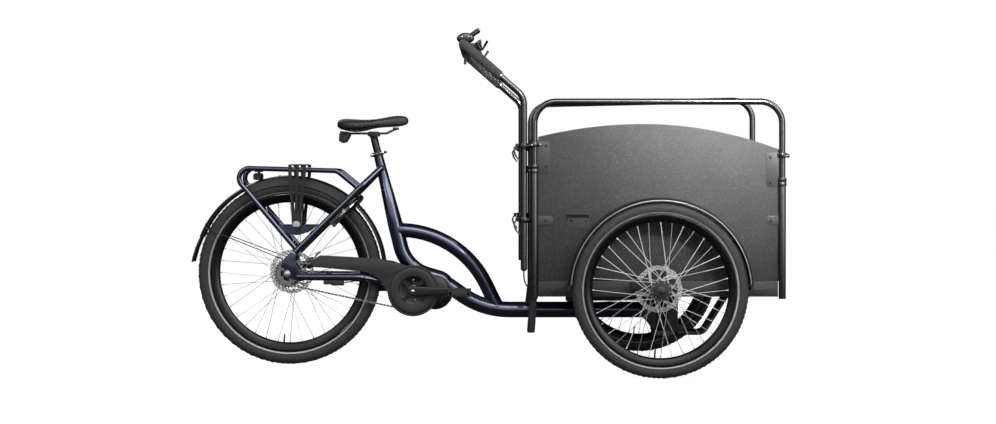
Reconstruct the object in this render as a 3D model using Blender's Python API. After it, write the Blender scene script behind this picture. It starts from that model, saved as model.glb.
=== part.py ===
"""Cargo tricycle with a steered cargo box in front and one driven wheel behind.

Units are metres. +X points forwards, +Y to the rider's left and +Z up. The origin
lies on the ground, under the middle of the tricycle. The rear half is a frame of bent
tubes. Its long low tube ends in a steering head, and the whole front half, with the
box, the handlebar and two wheels, turns on the king pin in that head.
"""
import math

import bmesh
import bpy
from mathutils import Matrix, Vector

# Gap left between pieces that touch, and the play of pieces that slide or turn
SEAT_GAP = 0.0003
SLIDE_PLAY = 0.0006

# Wheels: tyre outer radius, width and height on the rim, and the rim's own depth
REAR_TYRE_RADIUS = 0.3345
REAR_TYRE_WIDTH = 0.054
REAR_TYRE_HEIGHT = 0.0495
REAR_RIM_RADIUS = REAR_TYRE_RADIUS - REAR_TYRE_HEIGHT
REAR_RIM_DEPTH = 0.030
FRONT_TYRE_RADIUS = 0.300
FRONT_TYRE_WIDTH = 0.047
FRONT_TYRE_HEIGHT = 0.0430
FRONT_RIM_RADIUS = FRONT_TYRE_RADIUS - FRONT_TYRE_HEIGHT
FRONT_RIM_DEPTH = 0.0265
WHEEL_SEGMENTS = 36
SPOKE_COUNT = 36
SPOKE_CROSSINGS = 3
SPOKE_RADIUS = 0.0011
ROTOR_RADIUS = 0.080

# Places of the axles and of the steering axis along the tricycle
REAR_AXLE_X = -0.7000
WHEELBASE = 1.309
STEERING_TRAIL = 0.041
FRONT_AXLE_X = REAR_AXLE_X + WHEELBASE
STEERING_X = FRONT_AXLE_X + STEERING_TRAIL

# Chain drive: the centre distance follows from a whole number of links
CHAIN_PITCH = 0.0127
CHAIN_LINKS = 100
CHAINRING_TEETH = 36
SPROCKET_TEETH = 20
CHAIN_Y = -0.0480
CHAIN_PLATE_HEIGHT = 0.0086
CHAIN_WIDTH = 0.0076
CHAIN_INNER_WIDTH = 0.0040
TOOTH_THICKNESS = 0.0026
BRACKET_Z = 0.272
CRANK_LENGTH = 0.170
CRANK_Y = 0.0800
PEDAL_LENGTH = 0.085
PEDAL_WIDTH = 0.092
PEDAL_HEIGHT = 0.026

# Frame tubes
SEAT_TUBE_TOP_RADIUS = 0.0165
SEAT_TUBE_RADIUS = 0.0270
MAIN_TUBE_RADIUS = 0.0290
ARCH_TUBE_RADIUS = 0.0260
SEAT_TUBE_TOP_Z = 0.774
SEAT_TUBE_LEAN = math.radians(13.8)
MAIN_TUBE_Z = 0.199
DOWN_SLOPE = math.radians(35)
STAY_SPREAD = 0.0700
SEAT_STAY_RADIUS = 0.0115
CHAIN_STAY_RADIUS = 0.0135
RACK_TUBE_RADIUS = 0.0092
RACK_SPREAD = 0.0640
RACK_TOP_Z = 0.715
SEAT_POST_RADIUS = 0.0136
SADDLE_ABOVE_TUBE = 0.1260
SADDLE_TOP_Z = SEAT_TUBE_TOP_Z + SADDLE_ABOVE_TUBE
SADDLE_LENGTH = 0.257
SADDLE_WIDTH = 0.180

# Steering head
HEAD_RADIUS = 0.0350
HEAD_HEIGHT = 0.137
KING_PIN_RADIUS = 0.0150

# Cargo box: centres of the corner posts, board and floor thickness, heights
BOX_REAR_X = 0.184
BOX_LENGTH = 0.854
BOX_WIDTH = 0.620
WHEEL_BESIDE_BOX = 0.088
FRONT_TRACK = BOX_WIDTH + 2 * WHEEL_BESIDE_BOX
BOX_BOTTOM_Z = 0.270
SILL_HEIGHT = 0.053
BOARD_THICKNESS = 0.009
FLOOR_THICKNESS = 0.012
POST_RADIUS = 0.0125
HOOP_RADIUS = 0.0110
HOOP_OVER_BOARD = 0.077
HOOP_CORNER_RADIUS = 0.075
LEFT_HOOP_RAISED = 0.027
BOX_FRONT_X = BOX_REAR_X + BOX_LENGTH
BOARD_BOTTOM_Z = BOX_BOTTOM_Z + SILL_HEIGHT + SEAT_GAP
BOARD_APEX_Z = 0.866
BOARD_REAR_Z = BOARD_APEX_Z - 0.044
BOARD_FRONT_Z = BOARD_APEX_Z - 0.086
HOOP_RAIL_Z = BOARD_APEX_Z + HOOP_OVER_BOARD

# Handlebar
BAR_X = 0.148
BAR_HALF_WIDTH = BOX_WIDTH / 2 - 0.020
BAR_RADIUS = 0.0115
BAR_GRIP_RADIUS = 0.0160
BAR_TOP_X = -0.063
BAR_TOP_Z = 1.147

TUBE_SIDES = 12


def colour(red, green, blue):
    """A colour written as it looks on a screen, turned into linear values."""
    return tuple(((c + 0.055) / 1.055) ** 2.4 if c > 0.04045 else c / 12.92
                 for c in (red, green, blue))


FINISHES = {
    "navy_paint": (colour(0.16, 0.19, 0.30), 0.35, 0.6),
    "black_paint": (colour(0.13, 0.13, 0.14), 0.40, 0.3),
    "matte_black_plastic": (colour(0.11, 0.11, 0.12), 0.60, 0.0),
    "gloss_black_plastic": (colour(0.07, 0.07, 0.08), 0.25, 0.0),
    "steel": (colour(0.75, 0.75, 0.77), 0.30, 1.0),
    "black_rim": (colour(0.10, 0.10, 0.11), 0.35, 0.7),
    "tyre_rubber": (colour(0.16, 0.16, 0.17), 0.85, 0.0),
    "soft_rubber": (colour(0.10, 0.10, 0.10), 0.80, 0.0),
    "coated_board": (colour(0.27, 0.27, 0.28), 0.75, 0.0),
    "saddle_cover": (colour(0.08, 0.08, 0.09), 0.55, 0.0),
}


def material_for(finish):
    """The Principled material of one finish, made the first time it is used."""
    found = bpy.data.materials.get(finish)
    if found:
        return found
    base, roughness, metallic = FINISHES[finish]
    material = bpy.data.materials.new(finish)
    material.use_nodes = True
    shader = material.node_tree.nodes["Principled BSDF"]
    shader.inputs["Base Color"].default_value = (*base, 1.0)
    shader.inputs["Roughness"].default_value = roughness
    shader.inputs["Metallic"].default_value = metallic
    material.diffuse_color = (*base, 1.0)
    return material


def clear_scene():
    for old in list(bpy.data.objects):
        bpy.data.objects.remove(old, do_unlink=True)


def solid(bm):
    """Turn a bmesh of one closed shape into an object that faces outwards."""
    bmesh.ops.remove_doubles(bm, verts=bm.verts, dist=1e-6)
    bmesh.ops.recalc_face_normals(bm, faces=bm.faces)
    mesh = bpy.data.meshes.new("shape")
    bm.to_mesh(mesh)
    bm.free()
    shape = bpy.data.objects.new("shape", mesh)
    bpy.context.scene.collection.objects.link(shape)
    return shape


def combine(shape, tools, operation):
    """Add tools to a shape or cut them away, and delete the tools."""
    for tool in tools:
        step = shape.modifiers.new(operation, "BOOLEAN")
        step.operation = operation
        step.object = tool
        step.solver = "EXACT"
    graph = bpy.context.evaluated_depsgraph_get()
    result = bpy.data.meshes.new_from_object(shape.evaluated_get(graph))
    shape.modifiers.clear()
    shape.data = result
    for tool in tools:
        bpy.data.objects.remove(tool, do_unlink=True)
    return shape


def union(shape, *tools):
    return combine(shape, tools, "UNION")


def cut(shape, *tools):
    return combine(shape, tools, "DIFFERENCE")


def piece(name, shape, finish, pivot=(0, 0, 0), smooth_below=40):
    """Name a finished solid, give it its finish and put its origin on its pivot."""
    pivot = Vector(pivot)
    shape.data.transform(Matrix.Translation(-pivot))
    shape.location = pivot
    shape.name = name
    shape.data.name = name
    shape.data.materials.clear()
    shape.data.materials.append(material_for(finish))
    shape.data.shade_smooth()
    shape.data.set_sharp_from_angle(angle=math.radians(smooth_below))
    return shape


def moved(shape, offset):
    shape.data.transform(Matrix.Translation(Vector(offset)))
    return shape


def turned(shape, angle, axis, centre=(0, 0, 0)):
    centre = Vector(centre)
    spin = (Matrix.Translation(centre) @ Matrix.Rotation(angle, 4, axis)
            @ Matrix.Translation(-centre))
    shape.data.transform(spin)
    return shape


def copy_of(shape):
    twin = shape.copy()
    twin.data = shape.data.copy()
    bpy.context.scene.collection.objects.link(twin)
    return twin


def mirrored(shape):
    """A copy of a shape on the other side of the tricycle."""
    twin = copy_of(shape)
    twin.data.transform(Matrix.Scale(-1, 4, (0, 1, 0)))
    twin.data.flip_normals()
    return twin


def block(low, high, bevel=0.0):
    """A box between two corners, its edges rounded by a small flat if asked."""
    bm = bmesh.new()
    low, high = Vector(low), Vector(high)
    middle = (low + high) / 2
    bmesh.ops.create_cube(bm, size=1, matrix=Matrix.Translation(middle)
                          @ Matrix.Diagonal((*(high - low), 1)))
    if bevel:
        bmesh.ops.bevel(bm, geom=bm.edges[:], offset=bevel, segments=1, affect="EDGES")
    return solid(bm)


def plate(outline, low, high, axis="Y"):
    """An outline of (across, up) points given a thickness along one axis."""
    bm = bmesh.new()
    rings = []
    for depth in (low, high):
        if axis == "Y":
            ring = [bm.verts.new((a, depth, b)) for a, b in outline]
        elif axis == "X":
            ring = [bm.verts.new((depth, a, b)) for a, b in outline]
        else:
            ring = [bm.verts.new((a, b, depth)) for a, b in outline]
        rings.append(ring)
        bm.faces.new(ring)
    count = len(outline)
    for i in range(count):
        j = (i + 1) % count
        bm.faces.new((rings[0][i], rings[0][j], rings[1][j], rings[1][i]))
    return solid(bm)


def arc(centre, radius, start, end, steps):
    """Points on a round stretch, from one angle in degrees to another."""
    points = []
    for i in range(steps + 1):
        angle = math.radians(start + (end - start) * i / steps)
        points.append((centre[0] + radius * math.cos(angle),
                       centre[1] + radius * math.sin(angle)))
    return points


def bent(corners, radii, steps=6):
    """A tube's centre line: straight runs joined by round bends."""
    corners = [Vector(c) for c in corners]
    path = [corners[0]]
    for i in range(1, len(corners) - 1):
        before = (corners[i - 1] - corners[i]).normalized()
        after = (corners[i + 1] - corners[i]).normalized()
        half = before.angle(after) / 2
        radius = radii[i - 1]
        if radius <= 0 or half > math.radians(89.5):
            path.append(corners[i])
            continue
        reach = radius / math.tan(half)
        centre = corners[i] + (before + after).normalized() * (radius / math.sin(half))
        first = corners[i] + before * reach - centre
        last = corners[i] + after * reach - centre
        sweep = first.angle(last)
        for k in range(steps + 1):
            t = k / steps
            spoke = (first * math.sin((1 - t) * sweep) + last * math.sin(t * sweep))
            path.append(centre + spoke / math.sin(sweep))
    path.append(corners[-1])
    return path


def tube(path, radii, sides=TUBE_SIDES, squash=1.0, closed=False):
    """A round bar along a path. radii is one radius, or one for each point."""
    path = [Vector(p) for p in path]
    count = len(path)
    if not isinstance(radii, (list, tuple)):
        radii = [radii] * count
    bm = bmesh.new()
    rings = []
    side_way = None
    for i, point in enumerate(path):
        if closed:
            into, out = point - path[i - 1], path[(i + 1) % count] - point
        else:
            into = point - path[i - 1] if i else path[1] - path[0]
            out = path[i + 1] - point if i < count - 1 else into
        along = (into.normalized() + out.normalized()).normalized()
        if side_way is None:
            hint = Vector((0, 1, 0)) if abs(along.y) < 0.9 else Vector((0, 0, 1))
            side_way = (hint - along * hint.dot(along)).normalized()
        else:
            side_way = (side_way - along * side_way.dot(along)).normalized()
        up = along.cross(side_way)
        ring = []
        for k in range(sides):
            angle = 2 * math.pi * (k + 0.5) / sides
            offset = side_way * math.cos(angle) * squash + up * math.sin(angle)
            ring.append(bm.verts.new(point + offset * radii[i]))
        rings.append(ring)
    spans = count if closed else count - 1
    for i in range(spans):
        j = (i + 1) % count
        for k in range(sides):
            m = (k + 1) % sides
            bm.faces.new((rings[i][k], rings[i][m], rings[j][m], rings[j][k]))
    if not closed:
        bm.faces.new(rings[0])
        bm.faces.new(rings[-1])
    return solid(bm)


def turned_profile(profile, centre, axis="Y", segments=24, phase=0.5):
    """Turn a closed outline of (radius, along) points about an axis through centre."""
    bm = bmesh.new()
    centre = Vector(centre)
    rings = []
    for i in range(segments):
        angle = 2 * math.pi * (i + phase) / segments
        c, s = math.cos(angle), math.sin(angle)
        ring = []
        for radius, along in profile:
            if axis == "Y":
                place = (radius * s, along, radius * c)
            elif axis == "X":
                place = (along, radius * c, radius * s)
            else:
                place = (radius * c, radius * s, along)
            ring.append(bm.verts.new(centre + Vector(place)))
        rings.append(ring)
    count = len(profile)
    for i in range(segments):
        j = (i + 1) % segments
        for k in range(count):
            m = (k + 1) % count
            if profile[k][0] < 1e-9 and profile[m][0] < 1e-9:
                continue
            bm.faces.new((rings[i][k], rings[i][m], rings[j][m], rings[j][k]))
    bmesh.ops.remove_doubles(bm, verts=bm.verts, dist=1e-7)
    return solid(bm)


def disc(centre, radius, low, high, axis="Y", segments=16, phase=0.5):
    """A short round bar from low to high along an axis, measured from the centre."""
    profile = [(0, low), (radius, low), (radius, high), (0, high)]
    return turned_profile(profile, centre, axis, segments, phase)


def ring(centre, outer, inner, low, high, axis="Y", segments=16, phase=0.5):
    profile = [(inner, low), (outer, low), (outer, high), (inner, high)]
    return turned_profile(profile, centre, axis, segments, phase)


# Places that follow from the driving sizes
LINK_EXCESS = 2 * CHAIN_LINKS - CHAINRING_TEETH - SPROCKET_TEETH
TOOTH_DIFFERENCE = CHAINRING_TEETH - SPROCKET_TEETH
CHAIN_CENTRES = CHAIN_PITCH / 8 * (LINK_EXCESS + math.sqrt(
    LINK_EXCESS ** 2 - 8 / math.pi ** 2 * TOOTH_DIFFERENCE ** 2))
BRACKET_X = REAR_AXLE_X + math.sqrt(
    CHAIN_CENTRES ** 2 - (REAR_TYRE_RADIUS - BRACKET_Z) ** 2)
CHAINRING_RADIUS = CHAIN_PITCH / 2 / math.sin(math.pi / CHAINRING_TEETH)
SPROCKET_RADIUS = CHAIN_PITCH / 2 / math.sin(math.pi / SPROCKET_TEETH)

BRACKET = Vector((BRACKET_X, 0, BRACKET_Z))
REAR_AXLE = Vector((REAR_AXLE_X, 0, REAR_TYRE_RADIUS))
FRONT_AXLE = Vector((FRONT_AXLE_X, 0, FRONT_TYRE_RADIUS))

# The main tube's two bends, measured from the bottom bracket
KNEE_BACK = 0.0425
KNEE_RISE = 0.134
KNEE_BEND_RADIUS = 0.110
FOOT_BEND_RADIUS = 0.300
KNEE = BRACKET + Vector((-KNEE_BACK, 0, KNEE_RISE))
SEAT_WAY = Vector((-math.sin(SEAT_TUBE_LEAN), 0, math.cos(SEAT_TUBE_LEAN)))
FOOT = Vector((KNEE.x + (KNEE.z - MAIN_TUBE_Z) / math.tan(DOWN_SLOPE), 0, MAIN_TUBE_Z))
HEAD_BOTTOM_Z = MAIN_TUBE_Z - 0.0735
HEAD_TOP_Z = HEAD_BOTTOM_Z + HEAD_HEIGHT
SEAT_TAPER = ((0.0, SEAT_TUBE_TOP_RADIUS), (0.055, 0.0180), (0.140, 0.0215),
              (0.262, SEAT_TUBE_RADIUS))


def on_seat_tube(z):
    """The point of the seat tube's centre line at a height."""
    return KNEE + SEAT_WAY * ((z - KNEE.z) / SEAT_WAY.z)


SEAT_TOP = on_seat_tube(SEAT_TUBE_TOP_Z)
ARCH_START = on_seat_tube(BRACKET_Z + 0.2135)
ARCH_RISE = 0.0035
ARCH_END_X = 0.058
ARCH_END_SLOPE = math.radians(64)
ARCH_BEND_RADIUS = 0.352


def main_tube():
    """Seat tube, down tube and low tube bent in one, with the steering head."""
    points = [SEAT_TOP]
    radii = [SEAT_TUBE_TOP_RADIUS]
    for below, radius in SEAT_TAPER[1:]:
        points.append(on_seat_tube(SEAT_TUBE_TOP_Z - below))
        radii.append(radius)
    head = Vector((STEERING_X, 0, MAIN_TUBE_Z))
    low = bent([points[-1], KNEE, FOOT, head],
               [KNEE_BEND_RADIUS, FOOT_BEND_RADIUS], 5)
    first_low = 6
    points += low[1:]
    for i in range(1, len(low)):
        share = min(1.0, i / first_low)
        radii.append(SEAT_TUBE_RADIUS + (MAIN_TUBE_RADIUS - SEAT_TUBE_RADIUS) * share)
    bar = tube(points, radii, 14)
    head_tube = disc((STEERING_X, 0, 0), HEAD_RADIUS, HEAD_BOTTOM_Z, HEAD_TOP_Z, "Z", 16)
    under = MAIN_TUBE_Z - MAIN_TUBE_RADIUS + 0.004
    gusset = plate([(STEERING_X - HEAD_RADIUS + 0.006, HEAD_BOTTOM_Z + 0.006),
                    (STEERING_X - HEAD_RADIUS + 0.006, under),
                    (STEERING_X - HEAD_RADIUS - 0.075, under),
                    (STEERING_X - HEAD_RADIUS - 0.012, HEAD_BOTTOM_Z + 0.006)],
                   -0.004, 0.004)
    bar = union(bar, head_tube, gusset)
    bore = disc((STEERING_X, 0, 0), KING_PIN_RADIUS + SLIDE_PLAY, HEAD_BOTTOM_Z - 0.01,
                HEAD_TOP_Z + 0.01, "Z", 12)
    post_hole = tube([SEAT_TOP + SEAT_WAY * 0.01, SEAT_TOP - SEAT_WAY * 0.200],
                     SEAT_POST_RADIUS + SLIDE_PLAY, 12)
    bar = cut(bar, bore, post_hole)
    return piece("main_tube", bar, "navy_paint")


def arch_tube():
    """The arch between the seat tube and the low tube, cut to seat on both."""
    start = ARCH_START + Vector((0, 0, ARCH_RISE))
    end = Vector((ARCH_END_X, 0, MAIN_TUBE_Z + 0.003))
    rise = start.z - end.z
    corner = Vector((end.x - rise / math.tan(ARCH_END_SLOPE), 0, start.z))
    path = bent([start, corner, end], [ARCH_BEND_RADIUS], 9)
    bar = tube(path, ARCH_TUBE_RADIUS, 12)
    seat = tube([on_seat_tube(SEAT_TUBE_TOP_Z - 0.20), KNEE], SEAT_TUBE_RADIUS
                + SEAT_GAP * 2, 20)
    bend = tube(bent([KNEE, FOOT, FOOT + Vector((0.5, 0, 0))], [FOOT_BEND_RADIUS], 5),
                MAIN_TUBE_RADIUS + SEAT_GAP * 2, 16)
    return piece("arch_tube", cut(bar, seat, bend), "navy_paint")


STAY_TOP = on_seat_tube(SEAT_TUBE_TOP_Z - 0.059)
STAY_FOOT = REAR_AXLE + Vector((0.027, STAY_SPREAD, 0.076))
BRIDGE_SHARE = 0.30
DROPOUT_Y = STAY_SPREAD - 0.0025
DROPOUT_THICKNESS = 0.008


def seat_stays():
    """Two straight stays from the seat tube down to the dropouts, with a bridge."""
    near = Vector((STAY_TOP.x, SEAT_TUBE_TOP_RADIUS + 0.006, STAY_TOP.z))
    shoulder = STAY_TOP.lerp(Vector((STAY_FOOT.x, 0, STAY_FOOT.z)), 0.20)
    shoulder.y = STAY_SPREAD
    left = tube(bent([near, shoulder, STAY_FOOT], [0.05], 3), SEAT_STAY_RADIUS, 8)
    right = mirrored(left)
    across = STAY_TOP.lerp(Vector((STAY_FOOT.x, 0, STAY_FOOT.z)), BRIDGE_SHARE)
    up = (STAY_TOP - across).normalized()
    across = across + up.cross(Vector((0, 1, 0))) * -0.004
    bridge = tube([across + Vector((0, -STAY_SPREAD, 0)),
                   across + Vector((0, STAY_SPREAD, 0))], 0.0075, 8)
    yoke = tube([near + Vector((0.004, -2 * near.y, 0)), near + Vector((0.004, 0, 0))],
                SEAT_STAY_RADIUS, 8)
    pair = union(left, right, bridge, yoke)
    seat = tube([SEAT_TOP, on_seat_tube(SEAT_TUBE_TOP_Z - 0.055),
                 on_seat_tube(SEAT_TUBE_TOP_Z - 0.140)],
                [SEAT_TUBE_TOP_RADIUS + SEAT_GAP * 2, 0.0180 + SEAT_GAP * 2,
                 0.0215 + SEAT_GAP * 2], 16)
    return piece("seat_stays", cut(pair, seat), "navy_paint")


def chain_stays():
    """Two stays with their cast dropouts, joined behind the motor."""
    low = REAR_AXLE.z - 0.012
    left = tube(bent([REAR_AXLE + Vector((0.035, STAY_SPREAD, -0.0110)),
                      Vector((REAR_AXLE_X + 0.262, STAY_SPREAD - 0.002, low - 0.001)),
                      Vector((REAR_AXLE_X + 0.312, 0.0415, low - 0.012)),
                      Vector((REAR_AXLE_X + 0.360, 0.0300, low - 0.020))],
                     [0.06, 0.08], 3),
                [CHAIN_STAY_RADIUS] * 4 + [0.0120] * 6, 8)
    outline = [(-0.030, 0.020), (-0.012, 0.050), (0.016, 0.075), (0.036, 0.066),
               (0.032, 0.030), (0.052, 0.004), (0.052, -0.022), (0.020, -0.030),
               (-0.012, -0.024)]
    outline = [(REAR_AXLE.x + a, REAR_AXLE.z + b) for a, b in outline]
    ear = plate(outline, DROPOUT_Y, DROPOUT_Y + DROPOUT_THICKNESS)
    left = union(left, ear)
    right = mirrored(left)
    yoke = block((REAR_AXLE_X + 0.345, -0.036, low - 0.034),
                 (REAR_AXLE_X + 0.374, 0.036, low - 0.006), 0.004)
    pair = union(left, right, yoke)
    hole = disc((REAR_AXLE.x, 0, REAR_AXLE.z), REAR_AXLE_RADIUS + SEAT_GAP * 2,
                -0.2, 0.2, "Y", 10)
    stay = tube([Vector((STAY_TOP.x, STAY_SPREAD, STAY_TOP.z)), STAY_FOOT
                 + Vector((-0.002, 0, -0.002))], SEAT_STAY_RADIUS + SEAT_GAP * 3, 12)
    return piece("chain_stays", cut(pair, hole, mirrored(stay), stay), "navy_paint")


REAR_AXLE_RADIUS = 0.0060
AXLE_NUT_RADIUS = 0.0110


def rear_axle():
    """The fixed axle with a cap nut outside each dropout."""
    half = DROPOUT_Y + DROPOUT_THICKNESS
    rod = disc(REAR_AXLE, REAR_AXLE_RADIUS, -half - 0.010, half + 0.010, "Y", 10)
    right = disc(REAR_AXLE, AXLE_NUT_RADIUS, -half - 0.014, -half - SEAT_GAP, "Y", 6, 0)
    left = mirrored(right)
    return piece("rear_axle", union(rod, right, left), "steel")


RACK_END_X = REAR_AXLE_X - 0.188
RACK_BEND_X = REAR_AXLE_X + 0.178
RACK_FOOT = Vector((REAR_AXLE_X + 0.023, RACK_SPREAD, 0.434))


def rack_frame():
    """A bent tube on each side with cross bars, deck rods and a gusset plate."""
    stay_way = (STAY_TOP - Vector((STAY_FOOT.x, 0, STAY_FOOT.z))).normalized()
    joint = Vector((STAY_FOOT.x, 0, STAY_FOOT.z)) + stay_way * 0.330
    corners = [Vector((joint.x - 0.008, RACK_SPREAD, joint.z)),
               Vector((RACK_BEND_X, RACK_SPREAD, RACK_TOP_Z - 0.010)),
               Vector((RACK_END_X, RACK_SPREAD, RACK_TOP_Z + 0.001)),
               RACK_FOOT]
    left = tube(bent(corners, [0.040, 0.036], 4), RACK_TUBE_RADIUS, 8)
    bars = []
    for x in (RACK_END_X + 0.028, RACK_BEND_X - 0.006):
        z = RACK_TOP_Z + (0.0 if x < REAR_AXLE_X else -0.010)
        bars.append(tube([Vector((x, -RACK_SPREAD, z)), Vector((x, RACK_SPREAD, z))],
                         0.0080, 6))
    for y in (-0.024, 0.024):
        bars.append(tube([Vector((RACK_END_X + 0.022, y, RACK_TOP_Z)),
                          Vector((RACK_BEND_X, y, RACK_TOP_Z - 0.010))], 0.0045, 6))
    web_z = 0.494
    web = []
    for side in (-1, 1):
        outline = [(REAR_AXLE_X - 0.026, web_z - 0.004), (REAR_AXLE_X - 0.008, web_z - 0.030),
                   (REAR_AXLE_X + 0.022, web_z - 0.052),
                   (REAR_AXLE_X + 0.040, web_z - 0.047),
                   (REAR_AXLE_X + 0.058, web_z - 0.018),
                   (REAR_AXLE_X + 0.084, web_z + 0.012),
                   (REAR_AXLE_X + 0.060, web_z + 0.008), (REAR_AXLE_X + 0.030, web_z - 0.010)]
        low, high = sorted((side * (RACK_SPREAD - 0.002), side * (RACK_SPREAD + 0.002)))
        web.append(plate(outline, low, high))
    frame = union(left, mirrored(left), *bars, *web)
    stays = []
    for side in (-1, 1):
        stays.append(tube([Vector((STAY_FOOT.x, side * STAY_SPREAD, STAY_FOOT.z)),
                           Vector((STAY_TOP.x, side * STAY_SPREAD, STAY_TOP.z))],
                          SEAT_STAY_RADIUS + SEAT_GAP * 3, 12))
        outline = [(REAR_AXLE_X - 0.03, REAR_AXLE.z), (REAR_AXLE_X + 0.05, REAR_AXLE.z),
                   (REAR_AXLE_X + 0.038, REAR_AXLE.z + 0.0785),
                   (REAR_AXLE_X + 0.010, REAR_AXLE.z + 0.0785)]
        low, high = sorted((side * (DROPOUT_Y - 0.02), side * (DROPOUT_Y + 0.02)))
        stays.append(plate(outline, low, high))
    return piece("rack_frame", cut(frame, *stays), "navy_paint")


def tooth_plate(centre, pitch_radius, teeth, phase):
    """A chain wheel's outline: teeth between round-bottomed gullets."""
    root = pitch_radius - 0.0043
    tip = pitch_radius + 0.0022
    outline = []
    for i in range(teeth):
        for share, radius in ((-0.5, root), (-0.17, tip), (0.17, tip)):
            angle = 2 * math.pi * (i + share) / teeth + phase
            outline.append((centre.x + radius * math.cos(angle),
                            centre.z + radius * math.sin(angle)))
    half = TOOTH_THICKNESS / 2
    return plate(outline, CHAIN_Y - half, CHAIN_Y + half)


def spider_arms(centre, inner, outer, count, low, high, width):
    """Flat arms that reach from a boss to the wheel they carry."""
    arms = []
    for i in range(count):
        arm = block((centre.x + inner, low, centre.z - width / 2),
                    (centre.x + outer, high, centre.z + width / 2))
        arms.append(turned(arm, 2 * math.pi * (i + 0.5) / count, "Y", centre))
    return arms


CRANK_AXLE_RADIUS = 0.0110
CHAINRING_BORE = 0.0560


def crank_arms():
    """The axle through the motor, both arms and the chainring's spider."""
    axle = disc(BRACKET, CRANK_AXLE_RADIUS, -CRANK_Y - 0.004, CRANK_Y + 0.004, "Y", 10)
    arms = []
    for side in (-1, 1):
        low, high = sorted((side * (CRANK_Y - 0.006), side * (CRANK_Y + 0.006)))
        reach = CRANK_LENGTH
        outline = arc((0, 0), 0.0180, 90, 270, 5)
        outline += arc((reach, 0), 0.0130, -90, 90, 4)
        outline = [(BRACKET.x - side * a, BRACKET.z + b) for a, b in outline]
        arm = plate(outline, low, high)
        eye = disc((BRACKET.x - side * reach, 0, BRACKET.z), PEDAL_AXLE_RADIUS
                   + SLIDE_PLAY, low - 0.01, high + 0.01, "Y", 10)
        arms.append(cut(arm, eye))
    boss = disc(BRACKET, 0.0200, CHAIN_Y - 0.0045, CHAIN_Y - TOOTH_THICKNESS / 2
                - SEAT_GAP * 2, "Y", 12)
    spider = spider_arms(BRACKET, 0.012, CHAINRING_BORE + 0.006, 4, CHAIN_Y - 0.0040,
                         CHAIN_Y - TOOTH_THICKNESS / 2 - SEAT_GAP, 0.015)
    return piece("crank_arms", union(axle, *arms, boss, *spider),
                 "black_paint", BRACKET)


PEDAL_AXLE_RADIUS = 0.0060


def pedal(name, side):
    """Pedal body with grip blocks on its two long sides and its own axle."""
    axis_x = BRACKET.x - side * CRANK_LENGTH
    centre = Vector((axis_x, 0, BRACKET.z))
    inner = CRANK_Y + 0.012
    outer = inner + PEDAL_WIDTH
    bars = []
    for end in (-1, 1):
        x = axis_x + end * (PEDAL_LENGTH / 2 - 0.009)
        bars.append(block((x - 0.009, side * inner, BRACKET.z - PEDAL_HEIGHT / 2),
                          (x + 0.009, side * outer, BRACKET.z + PEDAL_HEIGHT / 2)))
    for y in (inner, outer - 0.010):
        bars.append(block((axis_x - PEDAL_LENGTH / 2 + 0.006, side * y,
                           BRACKET.z - PEDAL_HEIGHT * 0.36),
                          (axis_x + PEDAL_LENGTH / 2 - 0.006, side * (y + 0.010),
                           BRACKET.z + PEDAL_HEIGHT * 0.36)))
    low, high = sorted((side * inner * 0.999, side * (outer - 0.002)))
    bars.append(disc(centre, 0.0105, low, high, "Y", 10))
    low, high = sorted((side * (CRANK_Y - 0.0065), side * (outer - 0.004)))
    axle = disc(centre, PEDAL_AXLE_RADIUS, low, high, "Y", 10)
    return piece(name, union(axle, *bars), "matte_black_plastic", centre)


def chain_path(radial):
    """The chain's loop round both wheels, at a distance from the pitch line."""
    slope = math.atan2(REAR_AXLE.z - BRACKET.z, BRACKET.x - REAR_AXLE.x)
    lean = math.asin((CHAINRING_RADIUS - SPROCKET_RADIUS) / CHAIN_CENTRES)
    top = math.pi / 2 - slope + lean
    low = -math.pi / 2 - slope - lean
    points = []
    front_steps = CHAINRING_TEETH // 2 + 1
    for i in range(front_steps + 1):
        angle = top + (low - top) * i / front_steps
        radius = CHAINRING_RADIUS + radial
        points.append((BRACKET.x + radius * math.cos(angle),
                       BRACKET.z + radius * math.sin(angle)))
    rear_steps = SPROCKET_TEETH // 2
    for i in range(rear_steps + 1):
        angle = low - (2 * math.pi - (top - low)) * i / rear_steps
        radius = SPROCKET_RADIUS + radial
        points.append((REAR_AXLE.x + radius * math.cos(angle),
                       REAR_AXLE.z + radius * math.sin(angle)))
    return points


def chain():
    """The roller chain as a channel: two rows of plates, closed over the teeth."""
    half = CHAIN_PLATE_HEIGHT / 2
    outer_y, inner_y = CHAIN_WIDTH / 2, CHAIN_INNER_WIDTH / 2
    section = [(-half, -outer_y), (half, -outer_y), (half, outer_y), (-half, outer_y),
               (-half, inner_y), (half - 0.0012, inner_y), (half - 0.0012, -inner_y),
               (-half, -inner_y)]
    bm = bmesh.new()
    loops = []
    for radial, across in section:
        loops.append([bm.verts.new((x, CHAIN_Y + across, z))
                      for x, z in chain_path(radial)])
    rings = list(zip(*loops))
    for i in range(len(rings)):
        after = rings[(i + 1) % len(rings)]
        for k in range(len(section)):
            m = (k + 1) % len(section)
            bm.faces.new((rings[i][k], rings[i][m], after[m], after[k]))
    return piece("chain", solid(bm), "steel")


CASE_OUTER_Y = CHAIN_Y - 0.0140
CASE_WALL = 0.0025
CASE_RADIUS = 0.0925
CASE_OPENING = 0.0560


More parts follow.
